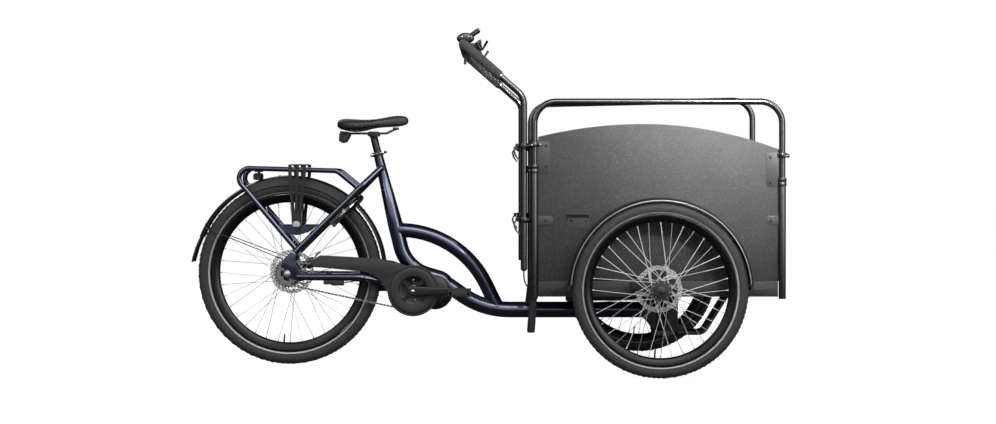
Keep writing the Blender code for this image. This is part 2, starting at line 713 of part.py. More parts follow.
def chaincase():
    """The cover outside the chain: a round end and an arm, open round the crank."""
    arm = [(-0.452, 0.099), (-0.440, 0.116), (-0.405, 0.128), (-0.330, 0.128),
           (-0.092, 0.113), (-0.045, 0.103)]
    under = [(-0.100, 0.006), (-0.131, 0.048), (-0.181, 0.070), (-0.263, 0.080),
             (-0.364, 0.097)]
    round_end = arc((0, 0), CASE_RADIUS, 104, -175, 20)
    outline = arm[:-1] + round_end + under
    outline = [(BRACKET.x + a, BRACKET.z + b) for a, b in outline]
    cover = plate(outline, CASE_OUTER_Y, CASE_OUTER_Y + CASE_WALL)
    outer = arc((0, 0), CASE_RADIUS - 0.0005, 100, -130, 16)
    inner = arc((0, 0), CASE_RADIUS - CASE_WALL, -130, 100, 16)
    rim = [(BRACKET.x + a, BRACKET.z + b) for a, b in outer + inner]
    flange = plate(rim, CASE_OUTER_Y + 0.0012, CASE_OUTER_Y + 0.007)
    raised = ring(BRACKET, CASE_RADIUS - 0.011, CASE_OPENING - 0.004,
                  CASE_OUTER_Y - 0.0015, CASE_OUTER_Y + 0.0008, "Y", 22)
    lip = [(-0.440, 0.116), (-0.405, 0.128), (-0.330, 0.128), (-0.092, 0.113),
           (-0.094, 0.1105), (-0.330, 0.1255), (-0.404, 0.1255), (-0.4375, 0.1140)]
    lip = [(BRACKET.x + a, BRACKET.z + b) for a, b in lip]
    top_lip = plate(lip, CASE_OUTER_Y + 0.001, CASE_OUTER_Y + 0.007)
    cover = union(cover, flange, raised, top_lip)
    opening = disc(BRACKET, CASE_OPENING, CASE_OUTER_Y - 0.02, CASE_OUTER_Y + 0.02,
                   "Y", 24)
    bracket = block((BRACKET.x + 0.086, CASE_OUTER_Y + 0.001, BRACKET.z - 0.010),
                    (BRACKET.x + 0.0915, 0.006 - MOTOR_HALF_WIDTH - SEAT_GAP,
                     BRACKET.z + 0.010))
    cover = union(cut(cover, opening), bracket)
    return piece("chaincase", cover, "matte_black_plastic")


MOTOR_FORWARD = 0.0770
MOTOR_RADIUS = 0.0660
MOTOR_HALF_WIDTH = 0.0400


def motor():
    """The pedal motor: a round housing in front of the crank axle's boss."""
    centre = BRACKET + Vector((MOTOR_FORWARD, 0, -0.0055))
    low, high = -MOTOR_HALF_WIDTH + 0.016, MOTOR_HALF_WIDTH + 0.004
    profile = [(CRANK_AXLE_RADIUS + SLIDE_PLAY, low), (0.040, low), (0.044, low + 0.006),
               (0.044, high - 0.004), (0.038, high), (CRANK_AXLE_RADIUS + SLIDE_PLAY, high)]
    boss = turned_profile(profile, BRACKET, "Y", 18)
    profile = [(0, low - 0.010), (MOTOR_RADIUS - 0.022, low - 0.010),
               (MOTOR_RADIUS - 0.006, low - 0.002), (MOTOR_RADIUS, low + 0.008),
               (MOTOR_RADIUS, high - 0.004), (MOTOR_RADIUS - 0.010, high + 0.006),
               (0, high + 0.006)]
    body = turned_profile(profile, centre, "Y", 20)
    clear = disc(BRACKET, CRANK_AXLE_RADIUS + SLIDE_PLAY, -0.1, 0.1, "Y", 18)
    ring_room = disc(BRACKET, CHAINRING_RADIUS + 0.010, CHAIN_Y - 0.02,
                     CHAIN_Y + CHAIN_WIDTH / 2 + 0.003, "Y", 24)
    body = cut(union(body, boss), clear, ring_room)
    path = bent([KNEE + SEAT_WAY * 0.1, KNEE, FOOT, FOOT + Vector((0.3, 0, 0))],
                [KNEE_BEND_RADIUS, FOOT_BEND_RADIUS], 5)
    frame = tube(path, MAIN_TUBE_RADIUS + SEAT_GAP * 3, 16)
    return piece("motor", cut(body, frame), "matte_black_plastic")


LOCK_RADIUS = 0.060
LOCK_HALF_BAND = 0.0110
LOCK_HALF_DEPTH = 0.0110
LOCK_SPREAD = 138
SHACKLE_RADIUS = 0.0042
LOCK_ALONG_STAY = 0.2345


def lock_frame():
    """Matrix from the ring lock's own axes (across, through, outwards) to the bike."""
    foot = Vector((STAY_FOOT.x, 0, STAY_FOOT.z))
    way = (Vector((STAY_TOP.x, 0, STAY_TOP.z)) - foot).normalized()
    across = Vector((0, 1, 0))
    through = way.cross(across)
    if through.x < 0:
        through = -through
        across = -across
    shift = SEAT_STAY_RADIUS + SEAT_GAP + LOCK_HALF_DEPTH
    base = foot + way * LOCK_ALONG_STAY + through * shift
    turn = Matrix((across, through, way)).transposed().to_4x4()
    return Matrix.Translation(base) @ turn


def lock_body():
    """Horseshoe housing round the tyre, with a lock case at the end of one leg."""
    inner, outer = LOCK_RADIUS - LOCK_HALF_BAND, LOCK_RADIUS + LOCK_HALF_BAND
    shape = arc((0, 0), outer, 90 + LOCK_SPREAD, 90 - LOCK_SPREAD, 14)
    shape += arc((0, 0), inner, 90 - LOCK_SPREAD, 90 + LOCK_SPREAD, 12)
    body = plate(shape, -LOCK_HALF_DEPTH, LOCK_HALF_DEPTH)
    case = block((LOCK_RADIUS - 0.014, 0.001 - LOCK_HALF_DEPTH, -0.082),
                 (LOCK_RADIUS + 0.009, LOCK_HALF_DEPTH - 0.001, -0.010))
    body = union(body, case)
    channel = [(x, 0, z) for x, z in arc((0, 0), LOCK_RADIUS, 90 + LOCK_SPREAD + 15,
                                         90 - LOCK_SPREAD - 15, 14)]
    body = cut(body, tube(channel, SHACKLE_RADIUS + SLIDE_PLAY * 3, 6))
    body.data.transform(lock_frame())
    return piece("ring_lock", body, "matte_black_plastic")


def lock_shackle():
    """The steel bow that swings out of the housing and across the wheel."""
    bow = [(x, 0, z) for x, z in arc((0, 0), LOCK_RADIUS, 90 + LOCK_SPREAD - 2,
                                     90 + LOCK_SPREAD - 182, 14)]
    shape = tube(bow, SHACKLE_RADIUS, 6)
    shape.data.transform(lock_frame())
    return piece("lock_shackle", shape, "steel", lock_frame().translation)


def rear_light():
    """The rear lamp on a short stalk under the rack's end."""
    x = RACK_END_X + 0.074
    lamp = block((x - 0.016, -0.034, RACK_TOP_Z - 0.0445), (x + 0.012, 0.034,
                                                           RACK_TOP_Z - 0.018), 0.005)
    stalk = block((x - 0.006, -0.0045, RACK_TOP_Z - 0.0200), (x + 0.006, 0.0045,
                                                              RACK_TOP_Z - 0.0080))
    foot = block((x - 0.012, -0.0300, RACK_TOP_Z - 0.0140),
                 (x + 0.012, 0.0300, RACK_TOP_Z - 0.0070))
    return piece("rear_light", union(lamp, stalk, foot), "gloss_black_plastic")


STRAP_X = REAR_AXLE_X + 0.0125
STRAP_HOOK_Z = 0.512


def rack_straps():
    """Three rubber straps over the deck, gathered at a hook on each side."""
    top = RACK_TOP_Z + RACK_TUBE_RADIUS + 0.0022
    shoulder_y = RACK_SPREAD + RACK_TUBE_RADIUS + 0.0030
    hooks = []
    for side in (-1, 1):
        eye = disc((STRAP_X + 0.021, 0, STRAP_HOOK_Z), 0.0135,
                   side * (shoulder_y + 0.0030) - 0.0032, side * (shoulder_y + 0.0030)
                   + 0.0032, "Y", 12)
        hooks.append(eye)
        low, high = sorted((side * (shoulder_y - 0.0005), side * (shoulder_y + 0.0065)))
        hooks.append(block((STRAP_X + 0.007, low, STRAP_HOOK_Z + 0.001),
                           (STRAP_X + 0.035, high, STRAP_HOOK_Z + 0.040)))
    bands = []
    for shift in (-0.026, 0.0, 0.026):
        path = [Vector((STRAP_X + 0.021 + shift * 0.25, -shoulder_y - 0.003,
                        STRAP_HOOK_Z + 0.030)),
                Vector((STRAP_X + shift, -shoulder_y - 0.001, RACK_TOP_Z - 0.010)),
                Vector((STRAP_X + shift, -shoulder_y + 0.006, top)),
                Vector((STRAP_X + shift, shoulder_y - 0.006, top)),
                Vector((STRAP_X + shift, shoulder_y + 0.001, RACK_TOP_Z - 0.010)),
                Vector((STRAP_X + 0.021 + shift * 0.25, shoulder_y + 0.003,
                        STRAP_HOOK_Z + 0.030))]
        bands.append(strap_band(path, 0.0130, 0.0032))
    deck_tie = block((STRAP_X - 0.032, -0.012, top - 0.0016),
                     (STRAP_X + 0.032, 0.012, top + 0.0024))
    whole = union(bands[0], *bands[1:], *hooks, deck_tie)
    return piece("rack_straps", whole, "soft_rubber")


def strap_band(path, width, thickness):
    """A flat band whose width lies along the tricycle."""
    bm = bmesh.new()
    rings = []
    for i, point in enumerate(path):
        before = path[max(i - 1, 0)]
        after = path[min(i + 1, len(path) - 1)]
        along = (after - before).normalized()
        out = Vector((1, 0, 0)).cross(along).normalized()
        half = Vector((width / 2, 0, 0))
        lift = out * (thickness / 2)
        rings.append([bm.verts.new(point + s * half + t * lift)
                      for s, t in ((-1, -1), (1, -1), (1, 1), (-1, 1))])
    for i in range(len(rings) - 1):
        for k in range(4):
            m = (k + 1) % 4
            bm.faces.new((rings[i][k], rings[i][m], rings[i + 1][m], rings[i + 1][k]))
    bm.faces.new(rings[0])
    bm.faces.new(rings[-1])
    return solid(bm)


MUDGUARD_WALL = 0.0022


def guard(centre, radius, width, start, end, steps, flap=0.0, sag=0.012):
    """A curved blade over a tyre, its edges turned down, from angle to angle."""
    half = width / 2
    section = [(-half, -sag), (-half * 0.55, -0.0015), (half * 0.55, -0.0015),
               (half, -sag)]
    thick = [(-half + MUDGUARD_WALL, -sag), (-half * 0.52, -0.0015 - MUDGUARD_WALL),
             (half * 0.52, -0.0015 - MUDGUARD_WALL), (half - MUDGUARD_WALL, -sag)]
    bm = bmesh.new()
    rings = []
    for i in range(steps + 1):
        share = i / steps
        angle = math.radians(start + (end - start) * share)
        widen = 1.0 + flap * max(0.0, share - 0.86) / 0.14
        ring_points = []
        for across, drop in section + thick[::-1]:
            reach = radius + drop
            ring_points.append(bm.verts.new((centre.x + reach * math.cos(angle),
                                             centre.y + across * widen,
                                             centre.z + reach * math.sin(angle))))
        rings.append(ring_points)
    count = len(section) * 2
    for i in range(steps):
        for k in range(count):
            m = (k + 1) % count
            bm.faces.new((rings[i][k], rings[i][m], rings[i + 1][m], rings[i + 1][k]))
    bm.faces.new(rings[0])
    bm.faces.new(rings[-1])
    return solid(bm)


REAR_GUARD_RADIUS = REAR_TYRE_RADIUS + 0.0195
REAR_GUARD_WIDTH = 0.062


def rear_mudguard():
    """The rear blade with its flared flap and two wire stays down to the axle."""
    blade = guard(REAR_AXLE, REAR_GUARD_RADIUS, REAR_GUARD_WIDTH, 6, 158, 20, 0.12)
    tip_angle = math.radians(158)
    tip = REAR_AXLE + Vector((math.cos(tip_angle), 0, math.sin(tip_angle))) \
        * (REAR_GUARD_RADIUS - 0.006)
    flap = plate([(tip.x - 0.004, tip.z + 0.012), (tip.x - 0.022, tip.z - 0.040),
                  (tip.x - 0.036, tip.z - 0.090), (tip.x - 0.030, tip.z - 0.092),
                  (tip.x - 0.014, tip.z - 0.068), (tip.x + 0.004, tip.z - 0.004)],
                 -REAR_GUARD_WIDTH * 0.54, REAR_GUARD_WIDTH * 0.54)
    wires = []
    fix = math.radians(152)
    high = REAR_AXLE + Vector((math.cos(fix), 0, math.sin(fix))) * (REAR_GUARD_RADIUS
                                                                   - 0.008)
    for side in (-1, 1):
        near = Vector((REAR_AXLE.x - 0.019, side * (DROPOUT_Y - 0.0030), REAR_AXLE.z
                       + 0.052))
        wires.append(tube([Vector((high.x, side * (REAR_GUARD_WIDTH / 2 - 0.001),
                                   high.z)), near], 0.0020, 6))
    return piece("rear_mudguard", union(blade, flap, *wires), "matte_black_plastic")


def chainring():
    """The front chain wheel, open in the middle where the spider carries it."""
    wheel = tooth_plate(BRACKET, CHAINRING_RADIUS, CHAINRING_TEETH, 0)
    hole = disc(BRACKET, CHAINRING_BORE, CHAIN_Y - 0.02, CHAIN_Y + 0.02, "Y", 24)
    return piece("chainring", cut(wheel, hole), "black_paint", BRACKET)


def rear_sprocket():
    """The rear chain wheel on its driver, which turns freely on the axle."""
    wheel = tooth_plate(REAR_AXLE, SPROCKET_RADIUS, SPROCKET_TEETH, 0)
    driver = disc(REAR_AXLE, 0.0200, CHAIN_Y - 0.0060, CHAIN_Y + 0.0060, "Y", 16)
    bore = disc(REAR_AXLE, REAR_AXLE_RADIUS + SLIDE_PLAY, -0.1, 0.1, "Y", 12)
    return piece("rear_sprocket", cut(union(wheel, driver), bore), "steel", REAR_AXLE)


def rear_caliper():
    """The rear disc brake's caliper, seated inside the left dropout."""
    rotor = REAR_ROTOR_Y
    body = block((REAR_AXLE_X + 0.048, rotor - 0.012, REAR_AXLE.z + 0.012),
                 (REAR_AXLE_X + 0.094, DROPOUT_Y - SEAT_GAP, REAR_AXLE.z + 0.052), 0.003)
    foot = block((REAR_AXLE_X + 0.018, DROPOUT_Y - 0.0075, REAR_AXLE.z + 0.006),
                 (REAR_AXLE_X + 0.060, DROPOUT_Y - SEAT_GAP, REAR_AXLE.z + 0.040))
    slot = disc(REAR_AXLE, ROTOR_RADIUS + 0.003, rotor - 0.0035, rotor + 0.0035, "Y", 24)
    hub_room = disc(REAR_AXLE, 0.034, 0.0, 0.2, "Y", 20)
    return piece("rear_caliper", cut(union(body, foot), slot, hub_room),
                 "gloss_black_plastic")


def joined(shapes):
    """Several separate shapes as one mesh, for a single union."""
    bm = bmesh.new()
    for shape in shapes:
        bm.from_mesh(shape.data)
        bpy.data.objects.remove(shape, do_unlink=True)
    mesh = bpy.data.meshes.new("shape")
    bm.to_mesh(mesh)
    bm.free()
    whole = bpy.data.objects.new("shape", mesh)
    bpy.context.scene.collection.objects.link(whole)
    return whole


def tyre_profile(tyre_radius, width, rim_radius):
    """The tyre's closed section as (radius, across) points."""
    height = tyre_radius - rim_radius
    half = [(rim_radius + SEAT_GAP, 0.42), (rim_radius + 0.42 * height, 0.50),
            (rim_radius + 0.78 * height, 0.40), (tyre_radius, 0.13)]
    right = [(radius, -share * width) for radius, share in half]
    left = [(radius, share * width) for radius, share in reversed(half)]
    return right + left


def wheel(name, centre, tyre, rim, hub_profile, flange_offset, rotor_y, side):
    """Tyre, rim and laced hub of one wheel. side is where its brake disc sits."""
    tyre_radius, tyre_width = tyre
    rim_radius, rim_depth = rim
    grow = 1 / math.cos(math.pi / WHEEL_SEGMENTS)
    section = [(r * grow, y) for r, y in tyre_profile(tyre_radius, tyre_width, rim_radius)]
    piece(f"{name}_tyre", turned_profile(section, centre, "Y", WHEEL_SEGMENTS),
          "tyre_rubber", centre)
    inner = rim_radius - rim_depth
    section = [(rim_radius, -0.0150), (rim_radius, 0.0150), (rim_radius - 0.012, 0.0140),
               (inner, 0.0070), (inner, -0.0070), (rim_radius - 0.012, -0.0140)]
    section = [(r * grow, y) for r, y in section]
    piece(f"{name}_rim", turned_profile(section, centre, "Y", WHEEL_SEGMENTS),
          "black_rim", centre)
    hub = turned_profile(hub_profile, centre, "Y", 12)
    spokes = []
    spacing = 2 * math.pi / SPOKE_COUNT
    for i in range(SPOKE_COUNT):
        flange = -1 if i % 2 == 0 else 1
        leading = (i // 2) % 2 == 0
        rim_angle = i * spacing
        swing = SPOKE_CROSSINGS * 2 * spacing * (1 if leading else -1)
        hub_angle = rim_angle + swing
        reach = 0.0290
        out = 0.0021 if leading else -0.0021
        start = Vector((reach * math.sin(hub_angle),
                        flange * (flange_offset + out), reach * math.cos(hub_angle)))
        end_radius = inner - SEAT_GAP * 2
        end = Vector((end_radius * math.sin(rim_angle), flange * 0.0035,
                      end_radius * math.cos(rim_angle)))
        back = (start - end).normalized() * 0.004
        spokes.append(tube([centre + start + back, centre + end], SPOKE_RADIUS, 3))
    band = ring(centre, ROTOR_RADIUS, ROTOR_RADIUS - 0.014, rotor_y - 0.0010,
                rotor_y + 0.0010, "Y", 20)
    arms = []
    for i in range(ROTOR_ARMS):
        arm = block((centre.x + 0.012, centre.y + rotor_y - 0.0008, centre.z - 0.004),
                    (centre.x + ROTOR_RADIUS - 0.008, centre.y + rotor_y + 0.0008,
                     centre.z + 0.004))
        turned(arm, math.radians(24) * side, "Y", centre + Vector((0.040, 0, 0)))
        arms.append(turned(arm, 2 * math.pi * i / ROTOR_ARMS, "Y", centre))
    bore = disc(centre, AXLE_BORE[name.split("_")[0]], -0.2, 0.2, "Y", 12)
    whole = cut(union(hub, joined(spokes), band, *arms), bore)
    piece(f"{name}_hub", whole, "steel", centre)


ROTOR_ARMS = 5
FLANGE_HALF = 0.0030
AXLE_BORE = {"rear": REAR_AXLE_RADIUS + SLIDE_PLAY, "front": 0.0075 + SLIDE_PLAY}
REAR_ROTOR_Y = 0.0500
REAR_FLANGE = 0.0290
FRONT_FLANGE = 0.0300
FRONT_ROTOR = 0.0520
HUB_OUTER_END = 0.0420
HUB_INNER_END = 0.0640


def rear_wheel():
    """The driven wheel: a fat geared hub with the brake disc on its left."""
    profile = [(0, -0.0415), (0.0240, -0.0415),
               (0.0340, -REAR_FLANGE - FLANGE_HALF), (0.0340, -REAR_FLANGE + FLANGE_HALF),
               (0.0250, -REAR_FLANGE + 0.0060), (0.0250, REAR_FLANGE - 0.0060),
               (0.0340, REAR_FLANGE - FLANGE_HALF), (0.0340, REAR_FLANGE + FLANGE_HALF),
               (0.0220, REAR_FLANGE + 0.0060), (0.0200, REAR_ROTOR_Y + 0.0050),
               (0.0140, 0.0655), (0, 0.0655)]
    wheel("rear", REAR_AXLE, (REAR_TYRE_RADIUS, REAR_TYRE_WIDTH),
          (REAR_RIM_RADIUS, REAR_RIM_DEPTH), profile, REAR_FLANGE, REAR_ROTOR_Y, 1)


def front_wheel(word, side):
    """A front wheel on its stub axle, its brake disc towards the box."""
    profile = [(0, -HUB_INNER_END), (0.0180, -HUB_INNER_END),
               (0.0200, -FRONT_FLANGE - 0.0070), (0.0340, -FRONT_FLANGE - FLANGE_HALF),
               (0.0340, -FRONT_FLANGE + FLANGE_HALF), (0.0180, -FRONT_FLANGE + 0.0080),
               (0.0180, FRONT_FLANGE - 0.0080), (0.0340, FRONT_FLANGE - FLANGE_HALF),
               (0.0340, FRONT_FLANGE + FLANGE_HALF), (0.0260, HUB_OUTER_END),
               (0, HUB_OUTER_END)]
    if side < 0:
        profile = [(r, -y) for r, y in reversed(profile)]
    centre = Vector((FRONT_AXLE_X, side * FRONT_TRACK / 2, FRONT_TYRE_RADIUS))
    wheel(f"front_{word}", centre, (FRONT_TYRE_RADIUS, FRONT_TYRE_WIDTH),
          (FRONT_RIM_RADIUS, FRONT_RIM_DEPTH), profile, FRONT_FLANGE,
          -side * FRONT_ROTOR, side)


def along_seat(shape, height):
    """Lean a shape built round the Z axis onto the seat tube at a height."""
    turned(shape, -SEAT_TUBE_LEAN, "Y")
    return moved(shape, on_seat_tube(height))


COLLAR_RADIUS = 0.0215
COLLAR_HEIGHT = 0.0150
LEVER_PIVOT = (0.0200, -0.0255)


def seat_collar():
    """The clamp ring round the seat tube's top, with its bolt along the side."""
    band = ring((0, 0, 0), COLLAR_RADIUS, SEAT_TUBE_TOP_RADIUS + SEAT_GAP * 5,
                -COLLAR_HEIGHT, -0.001, "Z", 14)
    ear = block((-0.012, -0.030, 0.001 - COLLAR_HEIGHT), (0.012, -0.019, -0.002))
    bolt = disc((0, LEVER_PIVOT[1], -COLLAR_HEIGHT / 2), 0.0040, -0.021,
                LEVER_PIVOT[0] - 0.006, "X", 8)
    nut = disc((0, LEVER_PIVOT[1], -COLLAR_HEIGHT / 2), 0.0070, -0.026, -0.0185, "X", 8)
    room = disc((0, 0, 0), SEAT_TUBE_TOP_RADIUS + SEAT_GAP * 5, -0.03, 0.01, "Z", 14)
    shape = cut(union(band, ear), room)
    shape = union(shape, bolt, nut)
    return piece("seat_collar", along_seat(shape, SEAT_TUBE_TOP_Z), "black_paint")


def seat_lever():
    """The collar's cam lever, curved round the front of the seat tube."""
    z = -COLLAR_HEIGHT / 2
    x, y = LEVER_PIVOT
    cam = disc((x, y, 0), 0.0055, z - 0.006, z + 0.006, "Z", 12)
    blade = tube(bent([(x, y, z), (x + 0.006, y + 0.012, z), (x + 0.010, y + 0.030, z),
                       (x + 0.006, y + 0.052, z)], [0.01, 0.02], 2), 0.0036, 6)
    shape = along_seat(union(cam, blade), SEAT_TUBE_TOP_Z)
    return piece("seat_lever", shape, "steel", seat_lever_pivot())


def seat_lever_pivot():
    turn = Matrix.Rotation(-SEAT_TUBE_LEAN, 4, "Y")
    local = turn @ Vector((LEVER_PIVOT[0], LEVER_PIVOT[1], -COLLAR_HEIGHT / 2))
    return on_seat_tube(SEAT_TUBE_TOP_Z) + local


POST_INSERTED = 0.160
POST_TOP_Z = SADDLE_TOP_Z - 0.0720
RAIL_RADIUS = 0.0035
RAIL_Y = 0.0220
SADDLE_FRONT_X = -0.268


def seat_post():
    """The seat post, inside the seat tube for a good part of its length."""
    low = on_seat_tube(SEAT_TUBE_TOP_Z) - SEAT_WAY * POST_INSERTED
    high = on_seat_tube(POST_TOP_Z)
    return piece("seat_post", tube([low, high], SEAT_POST_RADIUS, 14), "steel")


def saddle_rails():
    """Two bent rails, the clamp that grips them on the post, and a rear damper."""
    clamp_at = on_seat_tube(POST_TOP_Z) + SEAT_WAY * SEAT_GAP
    parts = []
    rail_z = clamp_at.z + 0.013
    for side in (-1, 1):
        y = side * RAIL_Y
        path = bent([(SADDLE_FRONT_X - 0.040, y * 0.5, SADDLE_TOP_Z - 0.0400),
                     (SADDLE_FRONT_X - 0.082, y, rail_z),
                     (SADDLE_FRONT_X - 0.190, y, rail_z),
                     (SADDLE_FRONT_X - 0.232, y * 1.4, SADDLE_TOP_Z - 0.0590)],
                    [0.02, 0.03], 3)
        parts.append(tube(path, RAIL_RADIUS, 6))
    parts.append(block((clamp_at.x - 0.021, -RAIL_Y - 0.006, clamp_at.z + 0.004),
                       (clamp_at.x + 0.021, RAIL_Y + 0.006, clamp_at.z + 0.020)))
    parts.append(block((SADDLE_FRONT_X - 0.250, -0.036, SADDLE_TOP_Z - 0.0850),
                       (SADDLE_FRONT_X - 0.214, 0.036, SADDLE_TOP_Z - 0.0570)))
    yoke = block((SADDLE_FRONT_X - 0.056, -RAIL_Y, SADDLE_TOP_Z - 0.0450),
                 (SADDLE_FRONT_X - 0.036, RAIL_Y, SADDLE_TOP_Z - 0.0385))
    neck = tube([clamp_at, clamp_at + SEAT_WAY * 0.008], SEAT_POST_RADIUS + 0.001, 10)
    whole = union(parts[0], *parts[1:], yoke, neck)
    below = block((clamp_at.x - 0.03, -0.03, clamp_at.z - 0.03),
                  (clamp_at.x + 0.03, 0.03, clamp_at.z - 0.0042))
    return piece("saddle_rails", cut(whole, below), "matte_black_plastic")


# Saddle stations: share of the length from the nose, then top and underside below
# the saddle's height, and half the width
SADDLE_STATIONS = (
    (0.000, -0.0080, -0.0200, 0.006), (0.018, -0.0010, -0.0270, 0.015),
    (0.070, 0.0050, -0.0330, 0.0215), (0.160, 0.0070, -0.0370, 0.0260),
    (0.280, 0.0020, -0.0385, 0.0320), (0.400, -0.0040, -0.0400, 0.0430),
    (0.520, -0.0080, -0.0440, 0.0620), (0.640, -0.0085, -0.0520, 0.0820),
    (0.760, -0.0060, -0.0550, 0.0900), (0.870, -0.0050, -0.0550, 0.0860),
    (0.950, -0.0070, -0.0500, 0.0700), (0.990, -0.0140, -0.0400, 0.0500),
    (1.000, -0.0210, -0.0320, 0.0300))


def saddle():
    """The padded saddle: a crowned top, drawn-in skirts and a round nose."""
    bm = bmesh.new()
    rings = []
    sides = 16
    for share, top, under, half in SADDLE_STATIONS:
        x = SADDLE_FRONT_X - share * SADDLE_LENGTH
        high, low = SADDLE_TOP_Z + top, SADDLE_TOP_Z + under
        middle = low + (high - low) * 0.55
        station = []
        for k in range(sides):
            angle = 2 * math.pi * k / sides
            c, s = math.cos(angle), math.sin(angle)
            across = math.copysign(abs(c) ** 0.75, c) * half
            if s < 0:
                across *= 1 - 0.16 * abs(s) ** 2
            reach = (high - middle) if s > 0 else (middle - low)
            up = math.copysign(abs(s) ** (0.80 if s > 0 else 0.45), s) * reach
            station.append(bm.verts.new((x, across * SADDLE_WIDTH / 0.180, middle + up)))
        rings.append(station)
    for i in range(len(rings) - 1):
        for k in range(sides):
            m = (k + 1) % sides
            bm.faces.new((rings[i][k], rings[i][m], rings[i + 1][m], rings[i + 1][k]))
    bm.faces.new(rings[0])
    bm.faces.new(rings[-1])
    return piece("saddle", solid(bm), "saddle_cover")


# The chassis under the box
CARRIER_INNER_Y = BOX_WIDTH / 2 - 0.0025
CARRIER_OUTER_Y = CARRIER_INNER_Y + 0.008
STUB_RADIUS = 0.0075
BEAM_BOTTOM_Z = MAIN_TUBE_Z + MAIN_TUBE_RADIUS + 0.004
DECK_Z = BOX_BOTTOM_Z - SEAT_GAP
STRUT_RADIUS = 0.009
RAIL_BAR_Y = 0.120
RAIL_BAR_HALF = 0.020
RAIL_BAR_DEPTH = 0.0115
STRUT_BEND = 0.153
STRUT_END = 0.246
TIE_BACK = STRUT_END - 0.024
TIE_FRONT = STRUT_END + 0.016


def chassis():
    """King pin in its bracket, cross beam, wheel carriers, stub axles and strut."""
    bottom = HEAD_BOTTOM_Z - 0.0165
    top_plate = block((STEERING_X - 0.085, -0.095, HEAD_TOP_Z + SEAT_GAP),
                      (STEERING_X + 0.060, 0.095, DECK_Z))
    low_plate = block((STEERING_X - 0.032, -0.045, bottom),
                      (STEERING_X + 0.060, 0.045, HEAD_BOTTOM_Z - SEAT_GAP))
    web = block((STEERING_X + 0.047, -0.045, bottom), (STEERING_X + 0.060, 0.045, DECK_Z))
    pin = disc((STEERING_X, 0, 0), KING_PIN_RADIUS, bottom + 0.004, DECK_Z - 0.002, "Z",
               16)
    parts = [low_plate, web, pin]
    for side in (-1, 1):
        y = side * RAIL_BAR_Y
        parts.append(block((BOX_REAR_X + 0.030, y - RAIL_BAR_HALF,
                            DECK_Z - RAIL_BAR_DEPTH),
                           (BOX_FRONT_X - 0.030, y + RAIL_BAR_HALF, DECK_Z)))
        low, high = sorted((side * 0.050, side * CARRIER_OUTER_Y))
        parts.append(block((FRONT_AXLE_X - 0.020, low, BEAM_BOTTOM_Z),
                           (FRONT_AXLE_X + 0.020, high, DECK_Z)))
        low, high = sorted((side * CARRIER_INNER_Y, side * CARRIER_OUTER_Y))
        carrier = [(-0.032, BEAM_BOTTOM_Z), (0.032, BEAM_BOTTOM_Z),
                   (0.032, FRONT_TYRE_RADIUS - 0.020), (0.018, FRONT_TYRE_RADIUS + 0.026),
                   (-0.018, FRONT_TYRE_RADIUS + 0.026), (-0.070, FRONT_TYRE_RADIUS + 0.034),
                   (-0.070, FRONT_TYRE_RADIUS - 0.010), (-0.032, FRONT_TYRE_RADIUS - 0.020)]
        carrier = [(FRONT_AXLE_X + a, b) for a, b in carrier]
        parts.append(plate(carrier, low, high))
        parts.append(stub_axle(side))
        parts.append(front_caliper(side))
        strut = bent([(STEERING_X + 0.056, side * 0.030, bottom + 0.009),
                      (STEERING_X + STRUT_BEND, side * 0.030, bottom + 0.009),
                      (STEERING_X + STRUT_END, side * 0.030,
                       DECK_Z - STRUT_RADIUS * 0.6)],
                     [0.025], 3)
        parts.append(tube(strut, STRUT_RADIUS, 8))
    reach = RAIL_BAR_Y + RAIL_BAR_HALF
    tie = block((STEERING_X + TIE_BACK, -reach, DECK_Z - RAIL_BAR_DEPTH),
                (STEERING_X + TIE_FRONT, reach, DECK_Z))
    shape = union(top_plate, *parts, tie)
    return piece("chassis", shape, "black_paint", (STEERING_X, 0, MAIN_TUBE_Z))


def stub_axle(side):
    """The fixed axle of a front wheel, with a shoulder and a nut at its end."""
    middle = FRONT_TRACK / 2
    inner = middle - HUB_INNER_END - SEAT_GAP * 2
    outer = middle + HUB_OUTER_END + SEAT_GAP * 2
    profile = [(0, CARRIER_OUTER_Y - 0.002), (0.0150, CARRIER_OUTER_Y - 0.002),
               (0.0130, inner), (STUB_RADIUS, inner), (STUB_RADIUS, outer),
               (0.0125, outer), (0.0125, outer + 0.005), (0.0080, outer + 0.009),
               (0, outer + 0.009)]
    if side < 0:
        profile = [(r, -y) for r, y in reversed(profile)]
    return turned_profile(profile, FRONT_AXLE, "Y", 12)


def front_caliper(side):
    """A front brake caliper on its carrier, open over the brake disc."""
    rotor = side * (FRONT_TRACK / 2 - FRONT_ROTOR)
    low, high = sorted((side * (CARRIER_OUTER_Y - 0.002), rotor + side * 0.013))
    body = block((FRONT_AXLE_X - 0.094, low, FRONT_TYRE_RADIUS - 0.008),
                 (FRONT_AXLE_X - 0.054, high, FRONT_TYRE_RADIUS + 0.032))
    slot = disc(FRONT_AXLE, ROTOR_RADIUS + 0.003, rotor - 0.0035, rotor + 0.0035, "Y", 24)
    return cut(body, slot)


SILL_END = POST_RADIUS + 0.0010
SILL_Y = BOX_WIDTH / 2 - 0.0040
SILL_WALL = 0.003
SILL_LIP = 0.026


def sill_frame():
    """The folded steel channel all round the box's foot."""
    low = Vector((BOX_REAR_X + SILL_END, -SILL_Y, BOX_BOTTOM_Z))
    high = Vector((BOX_FRONT_X - SILL_END, SILL_Y, BOX_BOTTOM_Z + SILL_HEIGHT))
    wall = Vector((SILL_WALL, SILL_WALL, SILL_WALL))
    lip = Vector((SILL_LIP, SILL_LIP, -0.01))
    frame = cut(block(low, high), block(low + wall, high - wall),
                block(low + lip, high - lip))
    return piece("sill_frame", frame, "black_paint")


